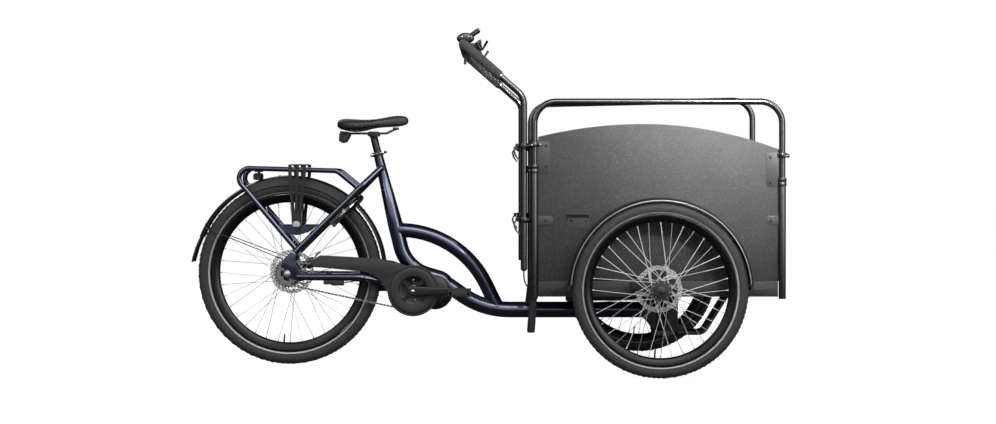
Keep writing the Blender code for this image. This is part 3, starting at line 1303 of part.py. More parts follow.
END_BOARD_Y = BOX_WIDTH / 2 - POST_RADIUS - 0.0010
SIDE_BOARD_Y = BOX_WIDTH / 2 - 0.0040
FLOOR_TOP_Z = BOARD_BOTTOM_Z + FLOOR_THICKNESS


def floor_board():
    """The floor, inside the four side boards and resting on the sill."""
    gap = SEAT_GAP
    half = BOARD_THICKNESS / 2
    shape = block((BOX_REAR_X + half + gap, -SIDE_BOARD_Y + BOARD_THICKNESS + gap,
                   BOARD_BOTTOM_Z),
                  (BOX_FRONT_X - half - gap, SIDE_BOARD_Y - BOARD_THICKNESS - gap,
                   FLOOR_TOP_Z))
    return piece("floor_board", shape, "coated_board")


LEDGE_X = BOX_REAR_X + 0.1120
LEDGE_LENGTH = 0.0790
LEDGE_TOP_Z = 0.5560
LEDGE_DEPTH = 0.022


def side_board(name, side):
    """A long side board with an arched top and a small folded ledge outside."""
    rear = BOX_REAR_X + POST_RADIUS + 0.0010
    front = BOX_FRONT_X - POST_RADIUS - 0.0010
    apex_share = 0.438
    outline = [(front, BOARD_BOTTOM_Z), (rear, BOARD_BOTTOM_Z)]
    steps = 16
    for i in range(steps + 1):
        share = i / steps
        x = rear + (front - rear) * share
        if share < apex_share:
            drop = (BOARD_APEX_Z - BOARD_REAR_Z) * ((apex_share - share) / apex_share) ** 2
        else:
            drop = (BOARD_APEX_Z - BOARD_FRONT_Z) * ((share - apex_share)
                                                     / (1 - apex_share)) ** 2
        outline.append((x, BOARD_APEX_Z - drop))
    low, high = sorted((side * SIDE_BOARD_Y, side * (SIDE_BOARD_Y - BOARD_THICKNESS)))
    board = plate(outline, low, high)
    face = side * SIDE_BOARD_Y
    low, high = sorted((face - side * 0.001, face + side * 0.0025))
    back = block((LEDGE_X, low, LEDGE_TOP_Z - 0.052),
                 (LEDGE_X + LEDGE_LENGTH, high, LEDGE_TOP_Z))
    low, high = sorted((face - side * 0.001, face + side * LEDGE_DEPTH))
    ledge = block((LEDGE_X, low, LEDGE_TOP_Z - 0.0025),
                  (LEDGE_X + LEDGE_LENGTH, high, LEDGE_TOP_Z))
    return piece(name, union(board, back, ledge), "coated_board")


def end_board(name, x, top):
    """A short board across the box, between two corner posts."""
    shape = block((x - BOARD_THICKNESS / 2, -END_BOARD_Y, BOARD_BOTTOM_Z),
                  (x + BOARD_THICKNESS / 2, END_BOARD_Y, top))
    return piece(name, shape, "coated_board")


PLATE_THICKNESS = 0.003
COLLAR_OUTER = 0.0150
COLLAR_LENGTH = 0.0280
REAR_COLLAR_Z = 0.7250
FRONT_COLLAR_Z = 0.6800
HOOP_INSERTED = 0.080
HOOP_BORE_DEPTH = 0.150
CLAMP_HEIGHTS = (0.790, 0.535)
STOP_LEG_BOTTOM_Z = 0.147
STOP_LEG_RADIUS = 0.014


def post_plate(x, side, inward, z_low, z_high, reach):
    """A flat tab from a post across the outside of its side board."""
    face = side * (SIDE_BOARD_Y + SEAT_GAP)
    low, high = sorted((face, face + side * PLATE_THICKNESS))
    near, far = sorted((x, x + inward * reach))
    return block((near, low, z_low), (far, high, z_high))


def column(x, y, radius, low, high):
    """An upright round bar whose ends are single faces, so that a bore cuts cleanly."""
    turns = [2 * math.pi * (k + 0.5) / TUBE_SIDES for k in range(TUBE_SIDES)]
    outline = [(x + radius * math.cos(t), y + radius * math.sin(t)) for t in turns]
    return plate(outline, low, high, "Z")


def corner_post(name, x, side):
    """A corner tube with its bolted tabs, collar and hoop clamp."""
    rear = x < (BOX_REAR_X + BOX_FRONT_X) / 2
    inward = 1 if rear else -1
    y = side * BOX_WIDTH / 2
    collar_z = REAR_COLLAR_Z if rear else FRONT_COLLAR_Z
    base = disc((x, y, 0), POST_RADIUS, BOX_BOTTOM_Z - 0.007, collar_z - 0.002, "Z", 12)
    collar = column(x, y, COLLAR_OUTER, collar_z - COLLAR_LENGTH, collar_z)
    top = 0.8070 if rear else 0.7675
    low = collar_z - 0.030
    parts = [collar, post_plate(x, side, inward, low, top, 0.053),
             post_plate(x, side, inward, 0.517, 0.549, 0.064 if rear else 0.050)]
    ring_z = 0.795 if rear else 0.759
    grip = disc((x, y, 0), HOOP_RADIUS + 0.0052, ring_z - 0.007, ring_z + 0.007, "Z", 14)
    lug_low, lug_high = (0.013, 0.024) if rear else (0.013, 0.0207)
    lug = block((x + lug_low, y - 0.0058, ring_z - 0.0055),
                (x + lug_high, y + 0.0058, ring_z + 0.0055))
    parts += [grip, lug]
    if rear:
        parts += handlebar_clamps(x, y, side)
        leg = [Vector((x, y, BOX_BOTTOM_Z + 0.02)),
               Vector((x - 0.003, y - side * 0.006, BOX_BOTTOM_Z - 0.015)),
               Vector((x - 0.012, y - side * 0.012, STOP_LEG_BOTTOM_Z))]
        parts.append(tube(leg, [POST_RADIUS * 0.8, STOP_LEG_RADIUS, STOP_LEG_RADIUS], 12))
    shape = union(base, *parts)
    bore = disc((x, y, 0), HOOP_RADIUS + SLIDE_PLAY, collar_z - HOOP_BORE_DEPTH,
                0.9, "Z", 12)
    room = block((x - 0.05, -END_BOARD_Y - SEAT_GAP, BOARD_BOTTOM_Z - SEAT_GAP),
                 (x + 0.05, END_BOARD_Y + SEAT_GAP, 0.9))
    board = block((BOX_REAR_X + 0.012, -SIDE_BOARD_Y - SEAT_GAP * 1.2, BOARD_BOTTOM_Z),
                  (BOX_FRONT_X - 0.012, SIDE_BOARD_Y + SEAT_GAP * 1.2, 0.9))
    tools = [bore, room, board]
    if rear:
        tools.append(disc((BAR_X, side * BAR_HALF_WIDTH, 0), BAR_RADIUS + SLIDE_PLAY,
                          0.45, 0.9, "Z", 12))
    return piece(name, cut(shape, *tools), "black_paint")


def handlebar_clamps(x, y, side):
    """Two clamps that hold a handlebar arm beside the rear post."""
    parts = []
    bar_y = side * BAR_HALF_WIDTH
    for z in CLAMP_HEIGHTS:
        grip = disc((BAR_X, bar_y, 0), BAR_RADIUS + 0.006, z - 0.010, z + 0.010, "Z", 12)
        near = Vector((BAR_X, bar_y, z))
        way = (Vector((x, y, z)) - near).normalized()
        arm = tube([near + way * (BAR_RADIUS + 0.003), Vector((x, y, z))], 0.0080, 8)
        ear_low, ear_high = sorted((bar_y - side * 0.0030, bar_y + side * 0.0030))
        ear = block((CLAMP_PIVOT_X - 0.005, ear_low, z - 0.005),
                    (BAR_X - BAR_RADIUS - 0.002, ear_high, z + 0.009))
        parts += [grip, arm, ear]
    return parts


CLAMP_PIVOT_X = BAR_X - 0.0240


def clamp_lever(name, side, z):
    """The curved quick-release lever of one handlebar clamp."""
    y = side * (BAR_HALF_WIDTH + 0.0065)
    pivot = (CLAMP_PIVOT_X, y, z + 0.002)
    cam = disc((CLAMP_PIVOT_X, y, z + 0.002), 0.0062, -0.0030, 0.0030, "Y", 8)
    path = bent([pivot, (CLAMP_PIVOT_X - 0.011, y, z - 0.014),
                 (CLAMP_PIVOT_X - 0.004, y, z - 0.034), (CLAMP_PIVOT_X + 0.008, y,
                                                        z - 0.050)], [0.012, 0.02], 2)
    blade = tube(path, 0.0028, 5)
    return piece(name, union(cam, blade), "steel", pivot)


def hoop(name, side, raised):
    """A bent rail whose two legs stand in the posts of one side."""
    y = side * BOX_WIDTH / 2
    rail = HOOP_RAIL_Z + raised
    path = bent([(BOX_REAR_X, y, REAR_COLLAR_Z - HOOP_INSERTED + raised),
                 (BOX_REAR_X, y, rail), (BOX_FRONT_X, y, rail),
                 (BOX_FRONT_X, y, FRONT_COLLAR_Z - HOOP_INSERTED + raised)],
                [HOOP_CORNER_RADIUS, HOOP_CORNER_RADIUS], 5)
    return piece(name, tube(path, HOOP_RADIUS, 8), "black_paint")


ARM_BOTTOM_Z = 0.363
BAR_SLOPE = math.radians(41.5)
CROSSBAR_BEND = 0.055
ARM_BEND_Z = BAR_TOP_Z - (BAR_X - BAR_TOP_X) * math.tan(BAR_SLOPE)


def bar_path():
    """The handlebar's centre line, from one arm's foot to the other's."""
    side = BAR_HALF_WIDTH
    corners = [(BAR_X, -side, ARM_BOTTOM_Z), (BAR_X, -side, ARM_BEND_Z),
               (BAR_TOP_X, -side, BAR_TOP_Z), (BAR_TOP_X, side, BAR_TOP_Z),
               (BAR_X, side, ARM_BEND_Z), (BAR_X, side, ARM_BOTTOM_Z)]
    return bent(corners, [0.060, CROSSBAR_BEND, CROSSBAR_BEND, 0.060], 4)


LEVER_MOUNT_Y = BAR_HALF_WIDTH - 0.170
LEVER_REACH = 0.048
LEVER_RISE = 0.0080
DISPLAY_TILT = math.radians(35)


def handlebar():
    """The bent bar with its lever bodies, shifter pod and the display's bracket."""
    bar = tube(bar_path(), BAR_RADIUS, 8)
    parts = []
    for side in (-1, 1):
        y = side * LEVER_MOUNT_Y
        parts.append(disc((BAR_TOP_X, y, BAR_TOP_Z), 0.0165, -0.010, 0.010, "Y", 10))
        low, high = sorted((y - side * 0.030, y + side * 0.006))
        body = block((BAR_TOP_X + 0.010, low, BAR_TOP_Z - 0.006),
                     (BAR_TOP_X + LEVER_REACH - 0.008, high, BAR_TOP_Z + 0.014))
        low, high = sorted((y - side * 0.008, y + side * 0.008))
        fork = block((BAR_TOP_X + LEVER_REACH - 0.010, low, BAR_TOP_Z - 0.004),
                     (BAR_TOP_X + LEVER_REACH + 0.009, high, BAR_TOP_Z + LEVER_RISE
                      - 0.0045))
        parts += [body, fork]
    pod = turned_profile([(0, -0.018), (0.0220, -0.018), (0.0290, -0.010),
                          (0.0290, 0.008), (0.0200, 0.018), (0, 0.018)],
                         (BAR_TOP_X + 0.004, -0.060, BAR_TOP_Z + 0.008), "Y", 12)
    stem = block((BAR_TOP_X - 0.006, -0.010, BAR_TOP_Z + 0.006),
                 (BAR_TOP_X + 0.020, 0.010, BAR_TOP_Z + 0.040))
    screen = block((-0.028, -0.036, -0.0065), (0.028, 0.036, 0.0065))
    turned(screen, -DISPLAY_TILT, "Y")
    moved(screen, (BAR_TOP_X + 0.034, 0, BAR_TOP_Z + 0.0460))
    return piece("handlebar", union(bar, *parts, pod, stem, screen), "black_paint")


GRIP_INNER_Y = LEVER_MOUNT_Y + 0.0105
GRIP_LENGTH_DOWN = 0.170


def grip(name, side):
    """The foam sleeve over half the crossbar, round the bend and down the arm."""
    top = Vector((BAR_TOP_X, side * GRIP_INNER_Y, BAR_TOP_Z))
    slope = Vector((math.cos(BAR_SLOPE), 0, -math.sin(BAR_SLOPE)))
    corner = Vector((BAR_TOP_X, side * BAR_HALF_WIDTH, BAR_TOP_Z))
    end = corner + slope * GRIP_LENGTH_DOWN
    path = bent([top, corner, end], [CROSSBAR_BEND], 4)
    sleeve = cut(tube(path, BAR_GRIP_RADIUS, 8),
                 tube(bar_path(), BAR_RADIUS + SEAT_GAP * 2, 8))
    return piece(name, sleeve, "soft_rubber")


def brake_lever(name, side):
    """A two-finger lever in front of the grip, hooked at its tip."""
    x, z = BAR_TOP_X + LEVER_REACH, BAR_TOP_Z + LEVER_RISE
    y = side * LEVER_MOUNT_Y
    boss = disc((x, y, z), 0.0065, -0.0040, 0.0040, "Z", 8)
    path = bent([(x, y, z), (x + 0.004, y + side * 0.030, z),
                 (x + 0.010, y + side * 0.085, z), (x + 0.022, y + side * 0.100, z
                                                  + 0.004)], [0.05, 0.02], 2)
    return piece(name, union(boss, tube(path, 0.0040, 6)), "gloss_black_plastic",
                 (x, y, z))


FRONT_GUARD_RADIUS = FRONT_TYRE_RADIUS + 0.0160
FRONT_GUARD_WIDTH = 0.060


def front_mudguard(name, side):
    """A front blade with a strut at each end to a foot on the sill."""
    centre = Vector((FRONT_AXLE_X, side * FRONT_TRACK / 2, FRONT_TYRE_RADIUS))
    blade = guard(centre, FRONT_GUARD_RADIUS, FRONT_GUARD_WIDTH, 3, 177, 22)
    parts = []
    inner = SILL_Y + SEAT_GAP
    for end in (-1, 1):
        near = FRONT_AXLE_X + end * (FRONT_TYRE_RADIUS + 0.0050)
        far = FRONT_AXLE_X + end * (FRONT_GUARD_RADIUS + 0.0010)
        low_x, high_x = sorted((near, far))
        low, high = sorted((side * inner, side * (FRONT_TRACK / 2)))
        low_z, high_z = sorted((BOX_BOTTOM_Z + 0.026, FRONT_TYRE_RADIUS + 0.0200))
        parts.append(block((low_x, low, low_z), (high_x, high, high_z)))
        low_x, high_x = sorted((near, FRONT_AXLE_X + end * (FRONT_GUARD_RADIUS
                                                           + 0.0570)))
        low, high = sorted((side * inner, side * (inner + 0.003)))
        parts.append(block((low_x, low, BOX_BOTTOM_Z + 0.010),
                           (high_x, high, BOX_BOTTOM_Z + 0.034)))
    return piece(name, union(blade, *parts), "matte_black_plastic")


def brake_hose():
    """The hose from the right arm's foot into the back of the sill."""
    y = -BAR_HALF_WIDTH
    route = [(BAR_X, y, ARM_BOTTOM_Z - SEAT_GAP), (BAR_X, y, ARM_BOTTOM_Z - 0.022),
             (BAR_X + 0.003, y + 0.002, ARM_BOTTOM_Z - 0.046),
             (BAR_X + 0.016, y + 0.006, ARM_BOTTOM_Z - 0.064),
             (BAR_X + 0.034, y + 0.010, ARM_BOTTOM_Z - 0.070),
             (BOX_REAR_X + SILL_END - SEAT_GAP * 4, y + 0.014, ARM_BOTTOM_Z - 0.0705)]
    return piece("brake_hose", tube(route, 0.0026, 6), "soft_rubber")


def build():
    clear_scene()
    main_tube()
    arch_tube()
    seat_stays()
    chain_stays()
    rear_axle()
    rack_frame()
    rack_straps()
    rear_light()
    rear_mudguard()
    lock_body()
    lock_shackle()
    motor()
    chaincase()
    chain()
    rear_caliper()
    crank_arms()
    chainring()
    rear_sprocket()
    pedal("pedal_right", -1)
    pedal("pedal_left", 1)
    seat_collar()
    seat_lever()
    seat_post()
    saddle_rails()
    saddle()
    rear_wheel()
    chassis()
    sill_frame()
    floor_board()
    end_board("rear_board", BOX_REAR_X, BOARD_REAR_Z)
    end_board("front_board", BOX_FRONT_X, BOARD_FRONT_Z)
    handlebar()
    brake_hose()
    for word, side in (("right", -1), ("left", 1)):
        side_board(f"side_board_{word}", side)
        corner_post(f"rear_post_{word}", BOX_REAR_X, side)
        corner_post(f"front_post_{word}", BOX_FRONT_X, side)
        hoop(f"hoop_{word}", side, LEFT_HOOP_RAISED if side > 0 else 0.0)
        grip(f"grip_{word}", side)
        brake_lever(f"brake_lever_{word}", side)
        clamp_lever(f"upper_clamp_lever_{word}", side, CLAMP_HEIGHTS[0])
        clamp_lever(f"lower_clamp_lever_{word}", side, CLAMP_HEIGHTS[1])
        front_mudguard(f"front_mudguard_{word}", side)
        front_wheel(word, side)


build()
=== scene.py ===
import math
import bpy
import bmesh
from mathutils import Matrix, Vector


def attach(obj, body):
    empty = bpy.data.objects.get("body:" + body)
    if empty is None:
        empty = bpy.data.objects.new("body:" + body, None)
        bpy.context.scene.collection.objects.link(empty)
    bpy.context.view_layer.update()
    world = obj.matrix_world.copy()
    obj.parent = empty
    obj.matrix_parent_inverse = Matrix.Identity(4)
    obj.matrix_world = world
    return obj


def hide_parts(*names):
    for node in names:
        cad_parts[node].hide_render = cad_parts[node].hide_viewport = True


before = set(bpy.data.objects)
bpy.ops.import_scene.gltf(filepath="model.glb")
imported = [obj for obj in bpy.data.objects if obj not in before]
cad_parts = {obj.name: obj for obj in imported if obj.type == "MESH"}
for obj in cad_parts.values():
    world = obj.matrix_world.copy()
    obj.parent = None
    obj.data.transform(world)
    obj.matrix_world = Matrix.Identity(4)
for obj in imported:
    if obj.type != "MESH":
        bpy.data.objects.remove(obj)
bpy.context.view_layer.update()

# The view. The photograph is taken square on from the tricycle's right side with a
# long lens at the height of the chain case's top, and its frame is shifted down a
# little, so that the machine stands in the middle of a white studio.
PHOTO_WIDTH, PHOTO_MIDDLE, HORIZON, FOCAL_LENGTH = 996, 212, 173, 1532  # in pixels
SENSOR = 36


def linked(name, data):
    """A new object in the scene."""
    thing = bpy.data.objects.new(name, data)
    bpy.context.scene.collection.objects.link(thing)
    return thing


camera_data = bpy.data.cameras.new("camera")
camera = linked("camera", camera_data)
camera.location = (0.0585, -5.59, 0.697)
camera.rotation_euler = (math.pi / 2, 0, 0)
camera_data.lens = SENSOR * FOCAL_LENGTH / PHOTO_WIDTH
camera_data.sensor_width = SENSOR
camera_data.shift_y = (HORIZON - PHOTO_MIDDLE) / PHOTO_WIDTH
bpy.context.scene.camera = camera


def seen(nodes, links, *rays):
    """A factor that is one for these kinds of ray, such as "Is Camera Ray"."""
    path = nodes.new("ShaderNodeLightPath")
    link = path.outputs[rays[0]]
    for ray in rays[1:]:
        either = nodes.new("ShaderNodeMath")
        either.operation = "MAXIMUM"
        links.new(link, either.inputs[0])
        links.new(path.outputs[ray], either.inputs[1])
        link = either.outputs[0]
    return link


def mixed(nodes, links, factor, low, high):
    """Mix two shaders by a factor."""
    mix = nodes.new("ShaderNodeMixShader")
    links.new(factor, mix.inputs[0])
    links.new(low.outputs[0], mix.inputs[1])
    links.new(high.outputs[0], mix.inputs[2])
    return mix


def eased(nodes, links, value, low, high):
    """A smooth rise from zero to one as a value goes from low to high."""
    rise = nodes.new("ShaderNodeMapRange")
    rise.interpolation_type = "SMOOTHSTEP"
    rise.inputs["From Min"].default_value = low
    rise.inputs["From Max"].default_value = high
    links.new(value, rise.inputs["Value"])
    return rise.outputs["Result"]


world = bpy.data.worlds.new("studio")
world.use_nodes = True
bpy.context.scene.world = world
nodes, links = world.node_tree.nodes, world.node_tree.links
sky = nodes["Background"]
sky.inputs["Color"].default_value = (1, 1, 1, 1)
sky.inputs["Strength"].default_value = 0.13
white, dim, bright, tall = (nodes.new("ShaderNodeBackground") for _ in range(4))
for light, strength in ((white, 1.0), (dim, 0.02), (bright, 2.2), (tall, 7.0)):
    light.inputs["Color"].default_value = (1, 1, 1, 1)
    light.inputs["Strength"].default_value = strength
way = nodes.new("ShaderNodeSeparateXYZ")
links.new(nodes.new("ShaderNodeTexCoord").outputs["Generated"], way.inputs[0])
behind = eased(nodes, links, way.outputs["Y"], -0.15, -1.0)
above = eased(nodes, links, way.outputs["Z"], -0.25, 0.45)
right = eased(nodes, links, way.outputs["X"], 0.46, 0.58)
inner = eased(nodes, links, way.outputs["X"], 0.86, 0.74)


def both(a, b):
    product = nodes.new("ShaderNodeMath")
    product.operation = "MULTIPLY"
    links.new(a, product.inputs[0])
    links.new(b, product.inputs[1])
    return product.outputs[0]


gleam = mixed(nodes, links, both(behind, above), dim, bright)
strip = both(both(right, inner), eased(nodes, links, way.outputs["Y"], 0.0, -0.3))
gleam = mixed(nodes, links, both(strip, eased(nodes, links, way.outputs["Z"], -0.3, 0.1)), gleam,
    tall)
lit = mixed(nodes, links, seen(nodes, links, "Is Glossy Ray"), sky, gleam)
shown = mixed(nodes, links, seen(nodes, links, "Is Camera Ray"), lit, white)
links.new(shown.outputs[0], nodes["World Output"].inputs["Surface"])
bpy.context.scene.view_settings.view_transform = "Standard"

floor_mesh = bpy.data.meshes.new("floor")
floor_mesh.from_pydata([(-9, -7, 0), (9, -7, 0), (9, 12, 0), (-9, 12, 0)], [], [(0, 1, 2, 3)])
floor = linked("floor", floor_mesh)
floor_paint = bpy.data.materials.new("studio_floor")
floor_paint.use_nodes = True
nodes, links = floor_paint.node_tree.nodes, floor_paint.node_tree.links
matte = nodes["Principled BSDF"]
matte.inputs["Base Color"].default_value = (0.9, 0.9, 0.9, 1)
matte.inputs["Roughness"].default_value = 0.9
glow = nodes.new("ShaderNodeEmission")
glow.inputs["Strength"].default_value = 1.7
half = nodes.new("ShaderNodeMath")
half.operation = "MULTIPLY"
half.inputs[1].default_value = 0.55
links.new(seen(nodes, links, "Is Camera Ray"), half.inputs[0])
shown = mixed(nodes, links, half.outputs[0], matte, glow)
dull = nodes.new("ShaderNodeBsdfDiffuse")
dull.inputs["Color"].default_value = (0.16, 0.16, 0.16, 1)
shown = mixed(nodes, links, seen(nodes, links, "Is Diffuse Ray", "Is Glossy Ray"), shown, dull)
links.new(shown.outputs[0], nodes["Material Output"].inputs["Surface"])
floor_mesh.materials.append(floor_paint)


def lamp(name, place, target, size, power, spread=180):
    """A soft rectangular studio lamp that points at a target, spread in degrees."""
    data = bpy.data.lights.new(name, "AREA")
    data.shape = "RECTANGLE"
    data.size, data.size_y = size
    data.energy = power
    data.spread = math.radians(spread)
    light = linked(name, data)
    light.location = place
    way = Vector(target) - Vector(place)
    light.rotation_euler = way.to_track_quat("-Z", "Y").to_euler()


lamp("key_lamp", (0.9, -3.4, 3.5), (0.3, 0, 0.5), (2.8, 1.9), 92)
lamp("box_lamp", (1.5, -3.3, 2.1), (0.92, -0.3, 1.04), (0.5, 0.4), 6.6, 27)
lamp("rear_lamp", (-2.6, -2.6, 2.4), (-0.5, 0, 0.5), (0.9, 1.6), 22)
lamp("back_lamp", (-2.0, 3.2, 3.0), (0, 0, 0.6), (3.0, 1.6), 30)

# The frame. Steel tubes, bent, welded and painted navy with fine metal flake under a
# clear coat: one long bent main tube with the seat tube and steering head, an arch
# tube over its knee, and the stays that hold the rear wheel.


class Socket:
    """A value in a material's nodes; sums written with it add Math nodes."""

    def __init__(self, tree, link):
        self.tree, self.link = tree, link

    def node(self, kind, out=0, settings=None, **values):
        """Add any node: settings first, then the values or links of its sockets."""
        node = self.tree.nodes.new(kind if "Node" in kind else "ShaderNode" + kind)
        for key, value in (settings or {}).items():
            if key == "stops":
                ramp = node.color_ramp
                while len(ramp.elements) < len(value):
                    ramp.elements.new(0.5)
                for element, (place, colour) in zip(ramp.elements, value):
                    element.position = place
                    element.color = (*colour, 1)
            else:
                setattr(node, key, value)
        for key, value in values.items():
            socket = node.inputs[int(key[1:]) if key[0] == "i" and key[1:].isdigit()
                else key.replace("_", " ")]
            if isinstance(value, Socket):
                self.tree.links.new(value.link, socket)
            elif isinstance(value, tuple) and len(value) == 3 and socket.type == "RGBA":
                socket.default_value = (*value, 1)
            else:
                socket.default_value = value
        return Socket(self.tree, node.outputs[out])

    def sum(self, operation, a, b=0.0):
        return self.node("Math", settings={"operation": operation}, i0=a, i1=b)

    def __add__(self, other):
        return self.sum("ADD", self, other)

    def __sub__(self, other):
        return self.sum("SUBTRACT", self, other)

    def __rsub__(self, other):
        return self.sum("SUBTRACT", other, self)

    def __mul__(self, other):
        return self.sum("MULTIPLY", self, other)

    def __truediv__(self, other):
        return self.sum("DIVIDE", self, other)

    def __lt__(self, other):
        return self.sum("LESS_THAN", self, other)

    def __abs__(self):
        return self.sum("ABSOLUTE", self)

    def blend(self, low, high):
        """Mix two colours by this value."""
        return self.node("Mix", 2, {"data_type": "RGBA"}, i0=self, i6=low, i7=high)


def finish(name, colour, roughness, metallic=0.0, coat=0.0, coat_roughness=0.05):
    """A Principled material, with a Socket of its Object coordinates to build on."""
    material = bpy.data.materials.new(name)
    material.use_nodes = True
    tree = material.node_tree
    shader = tree.nodes["Principled BSDF"]
    shader.inputs["Base Color"].default_value = (*colour, 1)
    shader.inputs["Roughness"].default_value = roughness
    shader.inputs["Metallic"].default_value = metallic
    shader.inputs["Coat Weight"].default_value = coat
    shader.inputs["Coat Roughness"].default_value = coat_roughness
    place = tree.nodes.new("ShaderNodeTexCoord")
    return material, Socket(tree, place.outputs["Object"])


def feed(material, **inputs):
    """Link sockets to a material's Principled shader, such as Base_Color=..."""
    shader = material.node_tree.nodes["Principled BSDF"]
    for key, value in inputs.items():
        material.node_tree.links.new(value.link, shader.inputs[key.replace("_", " ")])


def grain(place, scale, detail=2.0):
    return place.node("TexNoise", Vector=place, Scale=scale, Detail=detail)


def worn(name, colour, look, scale, detail, swing, base):
    """A finish (roughness, metallic, coat, its roughness) that a grain makes uneven."""
    material, place = finish(name, colour, *look)
    feed(material, Roughness=grain(place, scale, detail) * swing + base)
    return material


def bump(height, strength, distance):
    return height.node("Bump", Height=height, Strength=strength, Distance=distance)


def dress(node, material):
    """Give a carried-over CAD node a finish."""
    mesh = bpy.data.objects[node].data
    mesh.materials.clear()
    mesh.materials.append(material)


navy, place = finish("navy_flake_paint", (0.024, 0.03, 0.062), 0.3, 0.75, 1.0, 0.04)
flake = grain(place, 2600, 1)
cloud = grain(place, 14, 3)
sparkle = flake * 0.7 + cloud * 0.3
feed(navy, Base_Color=sparkle.node("ValToRGB", settings={"stops": [(0.35, (0.008, 0.011, 0.03)),
    (0.65, (0.032, 0.042, 0.092))]}, Fac=sparkle), Normal=bump(flake, 0.1, 0.0003))


def bend_corners(corners, radii, steps=8):
    """A path through straight lines with a round bend at each inner corner."""
    points = [Vector(corners[0])]
    for before, corner, after, radius in zip(corners, corners[1:], corners[2:], radii):
        corner = Vector(corner)
        back = (Vector(before) - corner).normalized()
        on = (Vector(after) - corner).normalized()
        half = back.angle(on) / 2
        reach = radius / math.tan(half)
        centre = corner + (back + on).normalized() * (radius / math.sin(half))
        first, last = corner + back * reach - centre, corner + on * reach - centre
        turn = first.rotation_difference(last)
        for step in range(steps + 1):
            share = step / steps
            part = turn.copy()
            part.angle = turn.angle * share
            points.append(centre + part @ first)
    points.append(Vector(corners[-1]))
    return points


def skinned(bm, rings):
    """Join rings of as many points by quads, and close both ends."""
    for low, high in zip(rings, rings[1:]):
        for k in range(len(low)):
            n = (k + 1) % len(low)
            bm.faces.new((low[k], low[n], high[n], high[k]))
    bm.faces.new(list(reversed(rings[0])))
    bm.faces.new(rings[-1])
    return bm


def swept(points, radii, sides=24, bm=None):
    """Sweep a round section along points, with one radius or one for each point."""
    bm = bm or bmesh.new()
    points = [Vector(p) for p in points]
    if not isinstance(radii, (list, tuple)):
        radii = [radii] * len(points)
    ways = [(b - a).normalized() for a, b in zip(points, points[1:])]
    side = ways[0].orthogonal().normalized()
    if abs(ways[0].y) < 0.9:
        side = Vector((0, 1, 0)) - ways[0] * ways[0].y
        side.normalize()
    rings = []
    for i, (point, radius) in enumerate(zip(points, radii)):
        before, after = ways[max(0, i - 1)], ways[min(i, len(ways) - 1)]
        way = (before + after).normalized()
        side = (side - way * side.dot(way)).normalized()
        up = way.cross(side)
        stretch = 1 / max(0.5, math.cos(before.angle(after) / 2))
        bend = (after - before)
        bend = bend.normalized() if bend.length > 1e-5 else Vector((0, 0, 0))
        ring = []
        for k in range(sides):
            angle = 2 * math.pi * k / sides
            out = side * math.cos(angle) + up * math.sin(angle)
            out += bend * (out.dot(bend) * (stretch - 1))
            ring.append(bm.verts.new(point + out * radius))
        rings.append(ring)
    return skinned(bm, rings)


def hung(piece, body, replaced):
    """Hang a piece on its body, hiding the CAD nodes it takes over."""
    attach(piece, body)
    if replaced:
        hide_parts(*replaced)
    return piece


def made(name, bm, material, body, replaced=(), sharp=35, rounded=0.0):
    """Finish a piece: clean its mesh, shade it, and hang it on its body."""
    bmesh.ops.remove_doubles(bm, verts=bm.verts, dist=1e-7)
    bmesh.ops.recalc_face_normals(bm, faces=bm.faces)
    if rounded:
        edges = [e for e in bm.edges if len(e.link_faces) == 2
            and e.calc_face_angle(0) > math.radians(sharp)]
        bmesh.ops.bevel(bm, geom=edges, offset=rounded, segments=2, profile=0.7, affect="EDGES",
            clamp_overlap=True)
    for highlight_bead in bm.edges:
        highlight_bead.smooth = (len(highlight_bead.link_faces) != 2 or highlight_bead.calc_face_angle(0) < math.radians(sharp))
    for face in bm.faces:
        face.smooth = True
    mesh = bpy.data.meshes.new(name)
    bm.to_mesh(mesh)
    bm.free()
    mesh.materials.append(material)
    return hung(linked(name, mesh), body, replaced)


def mm(*numbers, x=0.0, z=0.0, flip=1):
    """Points from pairs of millimetres, moved by x and z; flip turns the second over."""
    pairs = zip(numbers[::2], numbers[1::2])
    return [(x + a / 1000, z + flip * b / 1000) for a, b in pairs]


def moved(outline, place):
    return [(place.x + a, place.z + b) for a, b in outline]


def ray(angle, radius=1.0, y=0.0):
    """The point at an angle on a circle that stands in the length-height plane."""
    return Vector((radius * math.cos(angle), y, radius * math.sin(angle)))


def fan(centre, start, pairs):
    """An outline of (radius, angle from the start) about a centre."""
    return [(centre.x + r * math.cos(start + t), centre.z + r * math.sin(start + t))
        for r, t in pairs]


def plate_of(bm, outline, low, high):
    """A flat plate in the length-height plane, between two values of Y."""
    low, high = sorted((low, high))
    near = [bm.verts.new((x, low, z)) for x, z in outline]
    far = [bm.verts.new((x, high, z)) for x, z in outline]
    bm.faces.new(near)
    bm.faces.new(list(reversed(far)))
    for k in range(len(outline)):
        n = (k + 1) % len(outline)
        bm.faces.new((near[n], near[k], far[k], far[n]))
    return bm


